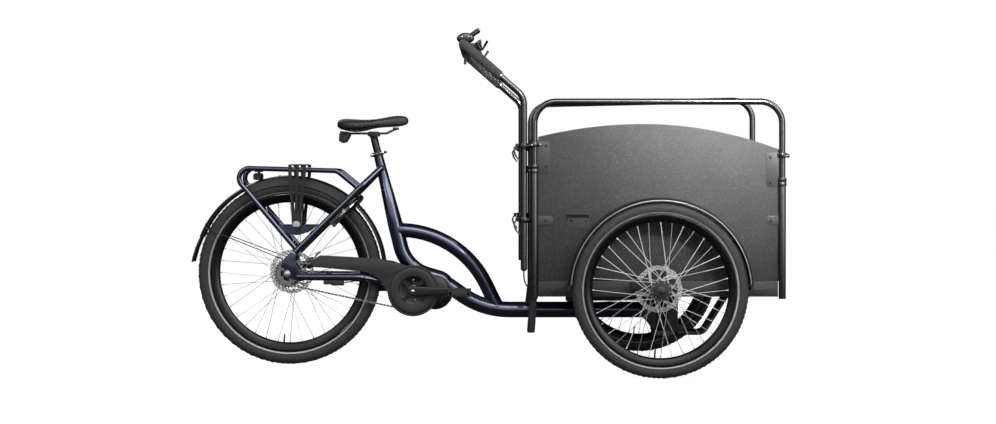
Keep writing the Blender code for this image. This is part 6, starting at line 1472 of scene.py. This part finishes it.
# The front chassis. Welded flat steel in black powder coat: a forked bracket holds the
# king pin above and below the steering head, a cross beam carries the wheels' stub
# axles, and two long rails and a bent strut pair carry the box.
HEAD_X, DECK_Z = 0.65, 0.2697
bm = bmesh.new()
plate_of(bm, [(0.565, 0.2628), (0.57, DECK_Z), (0.705, DECK_Z), (0.71, 0.2628)], -0.095, 0.095)
plate_of(bm, mm(618, 109, 622, 125.2, 700, 125.2, 710, 125.2, 710, 115, 704, 109), -0.045, 0.045)
block_of(bm, (0.697, -0.045, 0.109), (0.71, 0.045, DECK_Z))
for side in (-1, 1):
    y = side * 0.12
    block_of(bm, (0.214, y - 0.02, 0.2582), (1.008, y + 0.02, DECK_Z))
    block_of(bm, (0.3, y - 0.0185, 0.242), (0.629, y + 0.0185, 0.26))
    block_of(bm, (0.589, side * 0.05, 0.232), (0.629, side * 0.3155, DECK_Z))
    plate_of(bm, [(0.666, 0.124), (0.708, 0.124), (0.708, DECK_Z - 0.001), (0.656, DECK_Z - 0.001),
        (0.656, 0.25)], side * 0.0385, side * 0.044)
    plate_of(bm, mm(706, 118, 756, 118, 706, 154), side * 0.031, side * 0.0345)
    carrier = mm(-32, 232, 32, 232, 32, 280, 26, 310, 18, 326, -18, 326, -50, 333, -66, 334,
        -70, 328, -70, 296, -62, 289, -34, 281)
    plate_of(bm, [(FRONT_X + a, b) for a, b in carrier], side * 0.3075, side * 0.3155)
block_of(bm, (0.872, -0.14, 0.2582), (0.912, 0.14, DECK_Z))
made("chassis_plates", bm, bracket_black, "front", ["chassis"], rounded=0.0016)
bm = bmesh.new()
for side in (-1, 1):
    swept(bend_corners([(0.7, side * 0.03, 0.118), (0.803, side * 0.03, 0.118),
        (0.896, side * 0.03, 0.266)], [0.03], 10), 0.009, 20, bm)
lathe(bm, mm(0, 113, 15, 113, 15, 266, 0, 266), (HEAD_X, 0, 0), 36, "Z")
lathe(bm, mm(0, 101, 9, 101.5, 10.5, 103.5, 10.5, 108.5, 16.5, 108.5, 16.5, 111, 0, 111),
    (HEAD_X, 0, 0), 36, "Z")
for z in (0.1253, 0.2622):
    lathe(bm, mm(15.5, -0.2, 30, -0.2, 32.5, 0.2, 32.5, 0.4, 15.5, 0.4, z=z), (HEAD_X, 0, 0), 40,
        "Z")
made("king_pin_and_struts", bm, bracket_black, "front", rounded=0.0006)
bm = bmesh.new()
for side in (-1, 1):
    profile = mm(0, 313.5, 15, 313.5, 15, 325, 13, 333.5, 7.5, 334, 7.5, 440.5, 0, 441)
    lathe(bm, [(r, side * y) for r, y in profile], (FRONT_X, 0, FRONT_Z), 36)
    washer = mm(7.5, 440.6, 12.5, 440.6, 12.5, 442, 7.5, 442)
    lathe(bm, [(r, side * y) for r, y in washer], (FRONT_X, 0, FRONT_Z), 36)
made("stub_axles", bm, steel, "front", rounded=0.0005)
bm = bmesh.new()
for side in (-1, 1):
    cap = mm(0, 442, 12.2, 442, 12.2, 445.5, 10.5, 448, 6, 449.4, 0, 449.6)
    lathe(bm, [(r, side * y) for r, y in cap], (FRONT_X, 0, FRONT_Z), 36)
made("stub_axle_caps", bm, plastic, "front", sharp=45)

# The front calipers: cast bodies that straddle each disc behind the axle, each held on
# its carrier by two screws, with a short hose that runs to the chassis beam.
bm, hoses = bmesh.new(), bmesh.new()
for side in (-1, 1):
    disc_y = side * 0.346
    x, z = FRONT_X, FRONT_Z
    plate_of(bm, mm(-54, 2, -60, -8, -80, -6, -94, 4, -94, 24, -84, 33, -62, 33, -55, 26,
        x=x, z=z), side * 0.3135, disc_y + side * 0.013)
    swept(bend_corners([(x - 0.086, side * 0.326, z + 0.03), (x - 0.092, side * 0.32, z + 0.046),
        (x - 0.07, side * 0.304, z + 0.04), (x - 0.04, side * 0.3, z - 0.036)], [0.008, 0.012], 6),
        0.0026, 12, hoses)
slots = bmesh.new()
for side in (-1, 1):
    lathe(slots, mm(20, -3.4, 82.8, -3.4, 82.8, 3.4, 20, 3.4), (FRONT_X, side * 0.346, FRONT_Z),
        72)
made("front_calipers", drilled(bm, slots), forged, "front",
    rounded=0.0014)
made("front_caliper_hoses", hoses, rubber, "front")
spots = mm(-86, 4, -64, 26, x=FRONT_X, z=FRONT_Z)
DARK_SCREWS.run("front_caliper_screws", "front", slot="black_paint", Size=0.0036,
    spots=faced(spots, -1, 0.359) + faced(spots, 1, 0.359))

# The sill: folded steel channel all round the foot of the box, mitred at its corners
# and open inwards, which the floor and the boards stand on.
sill_grey, place = finish("grey_powder_coat", (0.018, 0.0185, 0.02), 0.45, 0.1, 0.3, 0.3)
feed(sill_grey, Roughness=grain(place, 150, 3) * 0.14 + 0.38,
    Normal=bump(grain(place, 1200, 2), 0.14, 0.0002))
tab_grey = worn("grey_tab_coat", (0.04, 0.041, 0.044), (0.45, 0.1, 0.3, 0.3), 150, 3, 0.14, 0.38)
SILL_LOW, SILL_HIGH = Vector((0.1975, -0.306, 0.27)), Vector((1.0245, 0.306, 0.323))
bm = bmesh.new()
block_of(bm, SILL_LOW, SILL_HIGH)
inside, lip = bmesh.new(), bmesh.new()
wall = Vector((0.003, 0.003, 0.003))
block_of(inside, SILL_LOW + wall, SILL_HIGH - wall)
block_of(lip, SILL_LOW + Vector((0.026, 0.026, -0.01)), SILL_HIGH - Vector((0.026, 0.026, -0.01)))
made("sill_channel", drilled(bm, inside, lip), sill_grey, "front", ["sill_frame"],
    rounded=0.0014)
spots = mm(232, 296.5, 985, 296.5)
DARK_SCREWS.run("sill_screws", "front", slot="black_paint", Size=0.0036,
    spots=faced(spots, -1, 0.3062) + faced(spots, 1, 0.3062))

# The box: boards of birch plywood, pressed with a dark resin film that has a fine
# pebbled face, their edges sealed in black, screwed to tabs on the corner posts.
board, place = finish("film_faced_plywood", (0.062, 0.063, 0.066), 0.62, 0.0, 0.1, 0.5)
speck = grain(place, 410, 3)
fleck = place.node("TexVoronoi", 0, {"feature": "F1"}, Vector=place, Scale=330.0)
patch = grain(place, 7, 4)
tone = speck * 0.84 + patch * 0.16
feed(board, Base_Color=tone.node("ValToRGB", settings={"stops": [(0.37, (0.003, 0.0029, 0.0032)),
    (0.46, (0.0085, 0.0082, 0.0092)), (0.55, (0.02, 0.0193, 0.0215)),
    (0.66, (0.074, 0.071, 0.079))]}, Fac=tone), Roughness=speck * 0.22 + 0.46,
    Normal=bump(speck + fleck * 0.4, 0.35, 0.0005))
board_edge, place = finish("sealed_plywood_edge", (0.02, 0.02, 0.021), 0.6)
layers = place.node("TexNoise", Vector=place, Scale=300.0, Detail=2.0)
feed(board_edge, Roughness=layers * 0.2 + 0.5, Normal=bump(layers, 0.2, 0.0003))


def edged(piece, across, face):
    """Give the narrow sides of a board their sealed-edge finish."""
    piece.data.materials.append(board_edge)
    for polygon in piece.data.polygons:
        if abs(polygon.normal[across]) < face:
            polygon.material_index = 1


def side_outline(steps):
    rear, front, apex = 0.1975, 1.0245, 0.438
    outline = [(front, 0.3233), (rear, 0.3233)]
    for k in range(steps + 1):
        share = k / steps
        part = (apex - share) / apex if share < apex else (share - apex) / (1 - apex)
        drop = (0.044 if share < apex else 0.086) * part ** 2
        outline.append((rear + (front - rear) * share, 0.866 - drop))
    return outline


for word, side in (("right", -1), ("left", 1)):
    piece = made(f"side_board_{word}_panel", plate_of(bmesh.new(), side_outline(72), side * 0.306,
        side * 0.297), board, "front", [f"side_board_{word}"], rounded=0.001,
        sharp=50)
    edged(piece, 1, 0.6)
    bm = bmesh.new()
    block_of(bm, (0.296, side * 0.3062, 0.504), (0.375, side * 0.3084, 0.556))
    made(f"ledge_{word}_plate", bm, tab_grey, "front", rounded=0.0007)
    bm = bmesh.new()
    # Painted shadow: the black strip on the plate's face just under the lip stands for the lip's
    # shadow.
    block_of(bm, (0.299, side * 0.3083, 0.5425), (0.372, side * 0.3092, 0.5545))
    block_of(bm, (0.296, side * 0.3062, 0.5536), (0.375, side * 0.3278, 0.5558))
    for x in (0.2972, 0.3728):
        plate_of(bm, mm(-1.1, 555.5, 1.1, 555.5, 1.1, 530, -1.1, 530, x=x), side * 0.3075,
            side * 0.314)
    made(f"ledge_{word}", bm, bracket_black, "front", rounded=0.0003)
    DARK_SCREWS.run(f"ledge_{word}_screws", "front", slot="black_paint", Size=0.0058,
        spots=faced(mm(312, 533.5, 359, 533.5), side, 0.3084))
POST_REAR, POST_FRONT = 0.184, 1.038
for name, x, top in (("rear", POST_REAR, 0.822), ("front", POST_FRONT, 0.78)):
    bm = bmesh.new()
    block_of(bm, (x - 0.0045, -0.2965, 0.3233), (x + 0.0045, 0.2965, top))
    piece = made(f"{name}_board_panel", bm, board, "front", [f"{name}_board"],
        rounded=0.001)
    edged(piece, 0, 0.6)
dress("floor_board", board)
STUDS = Pattern("floor_studs", Rows=17, Columns=23)
grid = STUDS.add("MeshGrid", Size_X=0.78, Size_Y=0.52, Vertices_X=STUDS.size("Columns"),
    Vertices_Y=STUDS.size("Rows"))
placed = STUDS.add("Transform", Geometry=grid, Translation=(0.611, 0.0, 0.3353))
stud = STUDS.add("Transform", Scale=(1.0, 1.0, 0.16), Geometry=STUDS.add("MeshUVSphere",
    Segments=10, Rings=6, Radius=0.0055))
STUDS.ends_with((STUDS.add("InstanceOnPoints", Points=placed, Instance=stud), board))
STUDS.run("floor_studs", "front", slot="coated_board")

# The corner posts: steel tubes with laser-cut tabs that hold the boards, a collar at
# the top and a small clamp ring for the hoop. The rear two also carry the handlebar's
# clamps and, below, a leg in a thick rubber sleeve that stops the steering.
POST_Y, BAR_X, BAR_Y = 0.31, 0.148, 0.29
knobs = bmesh.new()
for end, x, top_z, tab_top, ring_z in (("rear", POST_REAR, 0.725, 0.807, 0.795),
                                       ("front", POST_FRONT, 0.68, 0.7675, 0.759)):
    inward = 1 if end == "rear" else -1
    for word, side in (("right", -1), ("left", 1)):
        y = side * POST_Y
        bm, tabs = bmesh.new(), bmesh.new()
        lathe(bm, [(0.0116, 0.263), (0.0125, 0.264), (0.0125, top_z - 0.002),
            (0.0116, top_z - 0.002)], (x, y, 0), 40, "Z")
        lathe(bm, mm(11.6, -28, 14.4, -28, 15, -26.5, 15, -16, 14.3, -15, 14.3, -13, 15, -12,
            15, -1.5, 14.4, 0, 11.6, 0, z=top_z), (x, y, 0), 40, "Z")
        lathe(bm, collar(0.0116, 0.0162, ring_z - 0.007, ring_z + 0.007, 0.0006, 0.001), (x, y, 0),
            40, "Z")
        reach = 0.024 if end == "rear" else 0.0205
        knob = (x, y + side * 0.0205, ring_z - 0.003)
        near, far = sorted((-inward * 0.021, inward * 0.006))
        lathe(knobs, collar(0, 0.0062, near, far, 0.0012, 0.0015), knob, 24, "X")
        block_of(bm, (x + 0.014, y - 0.0056, ring_z - 0.0055),
            (x + reach, y + 0.0056, ring_z + 0.0055))
        deep = 0.053
        for low_z, high_z, far in ((top_z - 0.03, tab_top, deep),
                                   (0.517, 0.549, 0.064 if end == "rear" else 0.05)):
            outline = [(x, low_z), (x + inward * (far - 0.006), low_z),
                (x + inward * far, low_z + 0.006), (x + inward * far, high_z - 0.006),
                (x + inward * (far - 0.006), high_z), (x, high_z)]
            plate_of(tabs, outline, side * 0.3064, side * 0.3094)
        made(f"{end}_post_{word}_tube", bm, black, "front", [f"{end}_post_{word}"],
            rounded=0.0007)
        made(f"{end}_post_{word}_tabs", tabs, tab_grey, "front",
            rounded=0.0007)
        levels = (tab_top - 0.016, tab_top - 0.087 if end == "rear" else top_z - 0.016, 0.533)
        spots = faced([(x + inward * 0.04, z) for z in levels], side, 0.3094)
        DARK_SCREWS.run(f"{end}_post_{word}_screws", "front", slot="black_paint", Size=0.0056,
            spots=spots)
        SCREWS.run(f"{end}_post_{word}_pinch_screw", "front", slot="steel", Size=0.0034,
            spots=[(Vector(knob) + Vector((-inward * 0.01, side * 0.0058, 0)), (0, side, 0)),
            (Vector((x + reach - 0.004, y + side * 0.0056, ring_z)), (0, side, 0))])
        if end == "front":
            continue
        leg = [Vector((x, y, 0.29)), Vector((x - 0.003, y - side * 0.006, 0.255)),
            Vector((x - 0.009, y - side * 0.01, 0.19)),
            Vector((x - 0.012, y - side * 0.012, 0.1485))]
        bm = swept(leg, [0.0098, 0.0122, 0.0136, 0.0132], 28)
        swept([leg[2], leg[3]], [0.0139, 0.0139], 28, bm)
        swept([Vector((x - 0.012, y - side * 0.012, 0.1505)),
            Vector((x - 0.012, y - side * 0.012, 0.146))], [0.0136, 0.011], 28, bm)
        made(f"stop_leg_{word}", bm, rubber, "front", rounded=0.0008)
        for level, z in (("upper", 0.79), ("lower", 0.535)):
            bm = bmesh.new()
            bar_y = side * BAR_Y
            lathe(bm, collar(0.0121, 0.0175, z - 0.01, z + 0.01, 0.0007, 0.001), (BAR_X, bar_y, 0),
                40, "Z")
            near, far = Vector((BAR_X, bar_y, z)), Vector((x, y, z))
            way = (far - near).normalized()
            swept([near + way * 0.015, near + way * 0.0185, far - way * 0.0125],
                [0.0086, 0.0074, 0.009], 20, bm)
            for ear_z in (z - 0.0042, z + 0.0072):
                plate_of(bm, mm(119, -1.8, 136, -1.8, 136, 1.8, 119, 1.8, z=ear_z), bar_y - 0.003,
                    bar_y + 0.003)
            made(f"{level}_clamp_{word}", bm, forged, "front", rounded=0.0009)
            lever_y = side * 0.2965
            bm = lathe(bmesh.new(), collar(0, 0.0062, -0.003, 0.003, 0.0006, 0.0006),
                (0.124, lever_y, z + 0.002), 28)
            path = bend_corners([(0.124, lever_y, z + 0.002), (0.113, lever_y, z - 0.014),
                (0.12, lever_y, z - 0.034), (0.132, lever_y, z - 0.05)], [0.014, 0.024], 8)
            last = len(path) - 1
            swept(path, [0.0026 + 0.0008 * math.sin(math.pi * k / last) for k in range(last + 1)],
                14, bm)
            made(f"{level}_clamp_lever_{word}_skin", bm, gloss_plastic,
                f"{level}_clamp_lever_{word}", [f"{level}_clamp_lever_{word}"])

made("hoop_clamp_knobs", knobs, bracket_black, "front")

# The hoops: bent steel tubes, powder coated, whose legs slide down into the posts. The
# left one stands a little higher in its posts, as in the photograph.
hoop_black, place = finish("hoop_powder_coat", (0.009, 0.009, 0.01), 0.3, 0.0, 1.0, 0.12)
feed(hoop_black, Roughness=grain(place, 180, 3) * 0.06 + 0.25,
    Normal=bump(grain(place, 1300, 2), 0.03, 0.0001))
for word, side, raised, slope in (("right", -1, 0.0, 0.0), ("left", 1, 0.026, 0.009)):
    y = side * POST_Y
    path = bend_corners([(POST_REAR, y, 0.6452 + raised), (POST_REAR, y, 0.943 + raised - slope),
        (POST_FRONT, y, 0.943 + raised + slope), (POST_FRONT, y, 0.6002 + raised)], [0.075, 0.075],
        16)
    made(f"hoop_{word}_tube", swept(path, 0.011, 32), hoop_black, f"hoop_{word}", [f"hoop_{word}"])

# The handlebar: one steel tube bent into two arms and a crossbar, with the controls
# clamped on the crossbar: two lever bodies, a gear pod with two screws, and a display
# in a tilted bracket, its glass flush with its black case.
TOP_X, TOP_Z, LEVER_Y = -0.063, 1.147, 0.12
SLOPE = math.radians(41.5)
BEND_Z = TOP_Z - (BAR_X - TOP_X) * math.tan(SLOPE)
corners = [(BAR_X, -BAR_Y, 0.363), (BAR_X, -BAR_Y, BEND_Z), (TOP_X, -BAR_Y, TOP_Z),
    (TOP_X, BAR_Y, TOP_Z), (BAR_X, BAR_Y, BEND_Z), (BAR_X, BAR_Y, 0.363)]
bm = swept(bend_corners(corners, [0.06, 0.055, 0.055, 0.06], 14), 0.0113, 32)
made("handlebar_tube", bm, hoop_black, "handlebar", ["handlebar"])
bm, screws = bmesh.new(), []
LEVER_X, LEVER_Z = TOP_X + 0.048, TOP_Z + 0.008
for side in (-1, 1):
    y = side * LEVER_Y
    lathe(bm, collar(0.0116, 0.0165, -0.0095, 0.0095, 0.0007, 0.001), (TOP_X, y, TOP_Z), 40)
    plate_of(bm, mm(10, -5.5, 34, -6, 39.5, -1, 40, 9, 34, 14, 16, 14, 10, 9, x=TOP_X, z=TOP_Z),
        y - side * 0.03, y + side * 0.006)
    plate_of(bm, mm(30, -4, 58, -10, 63, 20, 60, 29, 53, 27, 32, 9, x=TOP_X, z=TOP_Z),
        y - side * 0.03, y - side * 0.016)
    for z_low, z_high in ((-0.004, 0.003), (0.0125, 0.0155)):
        plate_of(bm, [(LEVER_X - 0.01, TOP_Z + z_low), (LEVER_X + 0.0088, TOP_Z + z_low),
            (LEVER_X + 0.0088, TOP_Z + z_high), (LEVER_X - 0.01, TOP_Z + z_high)],
            y - side * 0.0078, y + side * 0.0078)
    screws.append((Vector((LEVER_X, y, TOP_Z + 0.0155)), (0, 0, 1)))
    screws.append((Vector((TOP_X + 0.0165, y, TOP_Z + 0.001)), (1, 0, 0)))
made("lever_bodies", bm, forged, "handlebar", rounded=0.0016)
pod_at = (TOP_X + 0.004, -0.06, TOP_Z + 0.036)
bm = lathe(bmesh.new(), mm(0, -18, 20.5, -18, 24.5, -17.2, 29, -14, 31.2, -9.5, 31.8, -4, 31, -2,
    31, 0, 31.8, 2, 31.2, 8.5, 27.5, 14, 22, 17.5, 16, 18, 0, 18), (0, 0, 0), 56)
bmesh.ops.transform(bm, matrix=Matrix.Translation(pod_at) @ Matrix.Diagonal((1.0, 1.0, 0.62, 1.0)),
    verts=bm.verts)
lathe(bm, collar(0.0116, 0.0165, -0.07, -0.05, 0.001, 0.002), (TOP_X, 0, TOP_Z), 36)
block_of(bm, (TOP_X - 0.009, -0.066, TOP_Z + 0.012), (TOP_X + 0.011, -0.054, TOP_Z + 0.02))
plate_of(bm, mm(-1, -14, 11, -12, 15, -32, 5, -60, -2, -58, x=TOP_X, z=TOP_Z), -0.068, -0.06)
made("gear_pod", bm, gloss_plastic, "handlebar", sharp=45)
screws += [(Vector((pod_at[0] + a, -0.0781, pod_at[2] + 0.004)), (0, -1, 0))
    for a in (-0.012, 0.011)]
SCREWS.run("control_screws", "handlebar", slot="steel", Size=0.0036, spots=screws)
TILT = (Matrix.Translation((TOP_X + 0.03, 0, TOP_Z + 0.056))
    @ Matrix.Rotation(-math.radians(35), 4, "Y"))
bm = bmesh.new()
block_of(bm, (-0.028, -0.036, -0.0065), (0.028, 0.036, 0.0045))
block_of(bm, (-0.0265, -0.0345, 0.0035), (0.0265, 0.0345, 0.0062))
bmesh.ops.transform(bm, matrix=TILT, verts=bm.verts)
plate_of(bm, mm(-6, 7, 16, 6, 24, 36, 36, 54, 14, 44, 2, 30, x=TOP_X, z=TOP_Z), -0.0095, 0.0095)
lathe(bm, collar(0.0116, 0.016, -0.009, 0.009, 0.0005, 0.001), (TOP_X, 0, TOP_Z), 36)
made("display_case", bm, plastic, "handlebar", rounded=0.0018)
glass, place = finish("display_glass", (0.01, 0.012, 0.014), 0.06, 0.0, 1.0, 0.02)
smear = grain(place, 60, 4)
feed(glass, Roughness=smear * 0.12 + 0.03, Base_Color=smear.blend((0.006, 0.008, 0.01),
    (0.016, 0.019, 0.022)))
bm = bmesh.new()
block_of(bm, (-0.0235, -0.0315, 0.005), (0.0235, 0.0315, 0.0068))
bmesh.ops.transform(bm, matrix=TILT, verts=bm.verts)
made("display_glass_pane", bm, glass, "handlebar", rounded=0.0004)

# The brake levers: cast blades on a vertical pin in front of the grips, flattened for
# two fingers and hooked at the tip.
for word, side in (("right", -1), ("left", 1)):
    y = side * LEVER_Y
    bm = lathe(bmesh.new(), collar(0, 0.0065, -0.004, 0.004, 0.0005, 0.0006),
        (LEVER_X, y, LEVER_Z), 28, "Z")
    path = bend_corners([(LEVER_X, y, LEVER_Z), (LEVER_X + 0.004, y + side * 0.03, LEVER_Z),
        (LEVER_X + 0.018, y + side * 0.085, LEVER_Z - 0.026), (LEVER_X + 0.036, y + side * 0.1,
        LEVER_Z + 0.004)], [0.05, 0.012], 8)
    last = len(path) - 1
    thick = [0.0036 + 0.0012 * math.sin(math.pi * min(1, k / last * 1.15)) ** 2
        for k in range(last + 1)]
    thick[-1] = 0.0048
    swept(path, thick, 18, bm)
    made(f"brake_lever_{word}_blade", bm, forged, f"brake_lever_{word}", [f"brake_lever_{word}"],
        sharp=50)

# The grips: sleeves of closed-cell foam that run from the lever bodies round the bends and down
# the arms, their lower ends closed by a hard ring.
foam, place = finish("closed_cell_foam", (0.014, 0.014, 0.015), 0.88)
cells = place.node("TexVoronoi", 0, {"feature": "F1"}, Vector=place, Scale=700.0)
feed(foam, Roughness=cells * 0.25 + 0.78, Normal=bump(cells, 0.15, 0.0003),
    Base_Color=grain(place, 25, 4).blend((0.085, 0.086, 0.09), (0.15, 0.152, 0.158)))
RINGS = bmesh.new()
for word, side in (("right", -1), ("left", 1)):
    slope_way = Vector((math.cos(SLOPE), 0, -math.sin(SLOPE)))
    corner = Vector((TOP_X, side * BAR_Y, TOP_Z))
    path = bend_corners([(TOP_X, side * 0.1308, TOP_Z), corner, corner + slope_way * 0.1698],
        [0.055], 16)
    extra = ([path[0], path[0].lerp(path[1], 0.03)] + path[1:-1]
        + [path[-1].lerp(path[-2], 0.015), path[-1]])
    sizes = [0.0148, 0.016] + [0.016] * (len(path) - 2) + [0.016, 0.0148]
    made(f"grip_{word}_sleeve", swept(extra, sizes, 32), foam, "handlebar", [f"grip_{word}"],
        sharp=60)
    end = corner + slope_way * 0.17
    swept([end, end + slope_way * 0.0015, end + slope_way * 0.005, end + slope_way * 0.0065],
        [0.013, 0.0142, 0.0142, 0.013], 28, RINGS)
made("grip_end_rings", RINGS, satin_steel, "handlebar")

# The brake hose: a short stretch of sleeved hydraulic hose from the foot of the right arm into the
# back of the sill, held at the arm by a rubber grommet.
route = [(0.1480, -0.2900, 0.3626), (0.1480, -0.2900, 0.3560), (0.1480, -0.2900, 0.3480),
         (0.1482, -0.2899, 0.3400), (0.1488, -0.2896, 0.3320), (0.1502, -0.2889, 0.3240),
         (0.1525, -0.2879, 0.3165), (0.1560, -0.2866, 0.3098), (0.1606, -0.2851, 0.3040),
         (0.1662, -0.2834, 0.2992), (0.1726, -0.2816, 0.2956), (0.1796, -0.2796, 0.2934),
         (0.1868, -0.2776, 0.2926), (0.1920, -0.2764, 0.2925), (0.1968, -0.2752, 0.2925)]
hose = made("brake_hose_sleeve", swept(route, 0.0026, 16), rubber, "front", ["brake_hose"])
bm = lathe(bmesh.new(), mm(0, 357.5, 5, 357.5, 5.8, 359, 9.2, 360, 9.2, 363.6, 0, 364),
    (BAR_X, -BAR_Y, 0), 28, "Z")
made("hose_grommet", bm, rubber, "handlebar")

# The front mudguards: the same coated blades over both front wheels, each on two
# moulded feet that are screwed to the sill.
# Painted highlight: a light grey metal bead along each front blade's edge stands for the bright
# line that the edge's reflection makes.
guard_highlight_bead = worn("guard_bead_painted_highlight", (0.3, 0.3, 0.31), (0.32, 0.6), 200, 2, 0.15, 0.25)
for word, side in (("right", -1), ("left", 1)):
    hub = (FRONT_X, side * TRACK, FRONT_Z)
    bm = arc_sweep(bmesh.new(), hub, blade_section(0.316, 0.06), 3, 177, 120)
    made(f"front_guard_{word}_blade", bm, guard_black, "front", [f"front_mudguard_{word}"],
        sharp=40)
    bead = [(0.3042 + 0.002 * math.cos(a), side * 0.03 + 0.002 * math.sin(a))
        for a in (2 * math.pi * k / 8 for k in range(8))]
    made(f"front_guard_{word}_edge", arc_sweep(bmesh.new(), hub, bead, 4, 176, 120), guard_highlight_bead,
        "front")
    bm, spots = bmesh.new(), []
    for end in (-1, 1):
        near, far = FRONT_X + end * 0.305, FRONT_X + end * 0.373
        outline = [(near, 0.281), (near, 0.303), (near + end * 0.006, 0.304),
            (far - end * 0.008, 0.304), (far, 0.298), (far, 0.286), (far - end * 0.008, 0.28),
            (near + end * 0.004, 0.28)]
        plate_of(bm, outline, side * 0.3063, side * 0.3092)
        plate_of(bm, [(FRONT_X + end * a, b) for a, b in ((0.3052, 0.297), (0.3168, 0.297),
            (0.3166, 0.319), (0.3056, 0.319))], side * 0.3063, side * 0.398)
        spots += faced([(FRONT_X + end * 0.352, 0.292)], side, 0.3092)
    made(f"front_guard_{word}_feet", bm, plastic, "front",
        rounded=0.0012)
    DARK_SCREWS.run(f"front_guard_{word}_screws", "front", slot="matte_black_plastic", Size=0.0045,
        spots=spots)
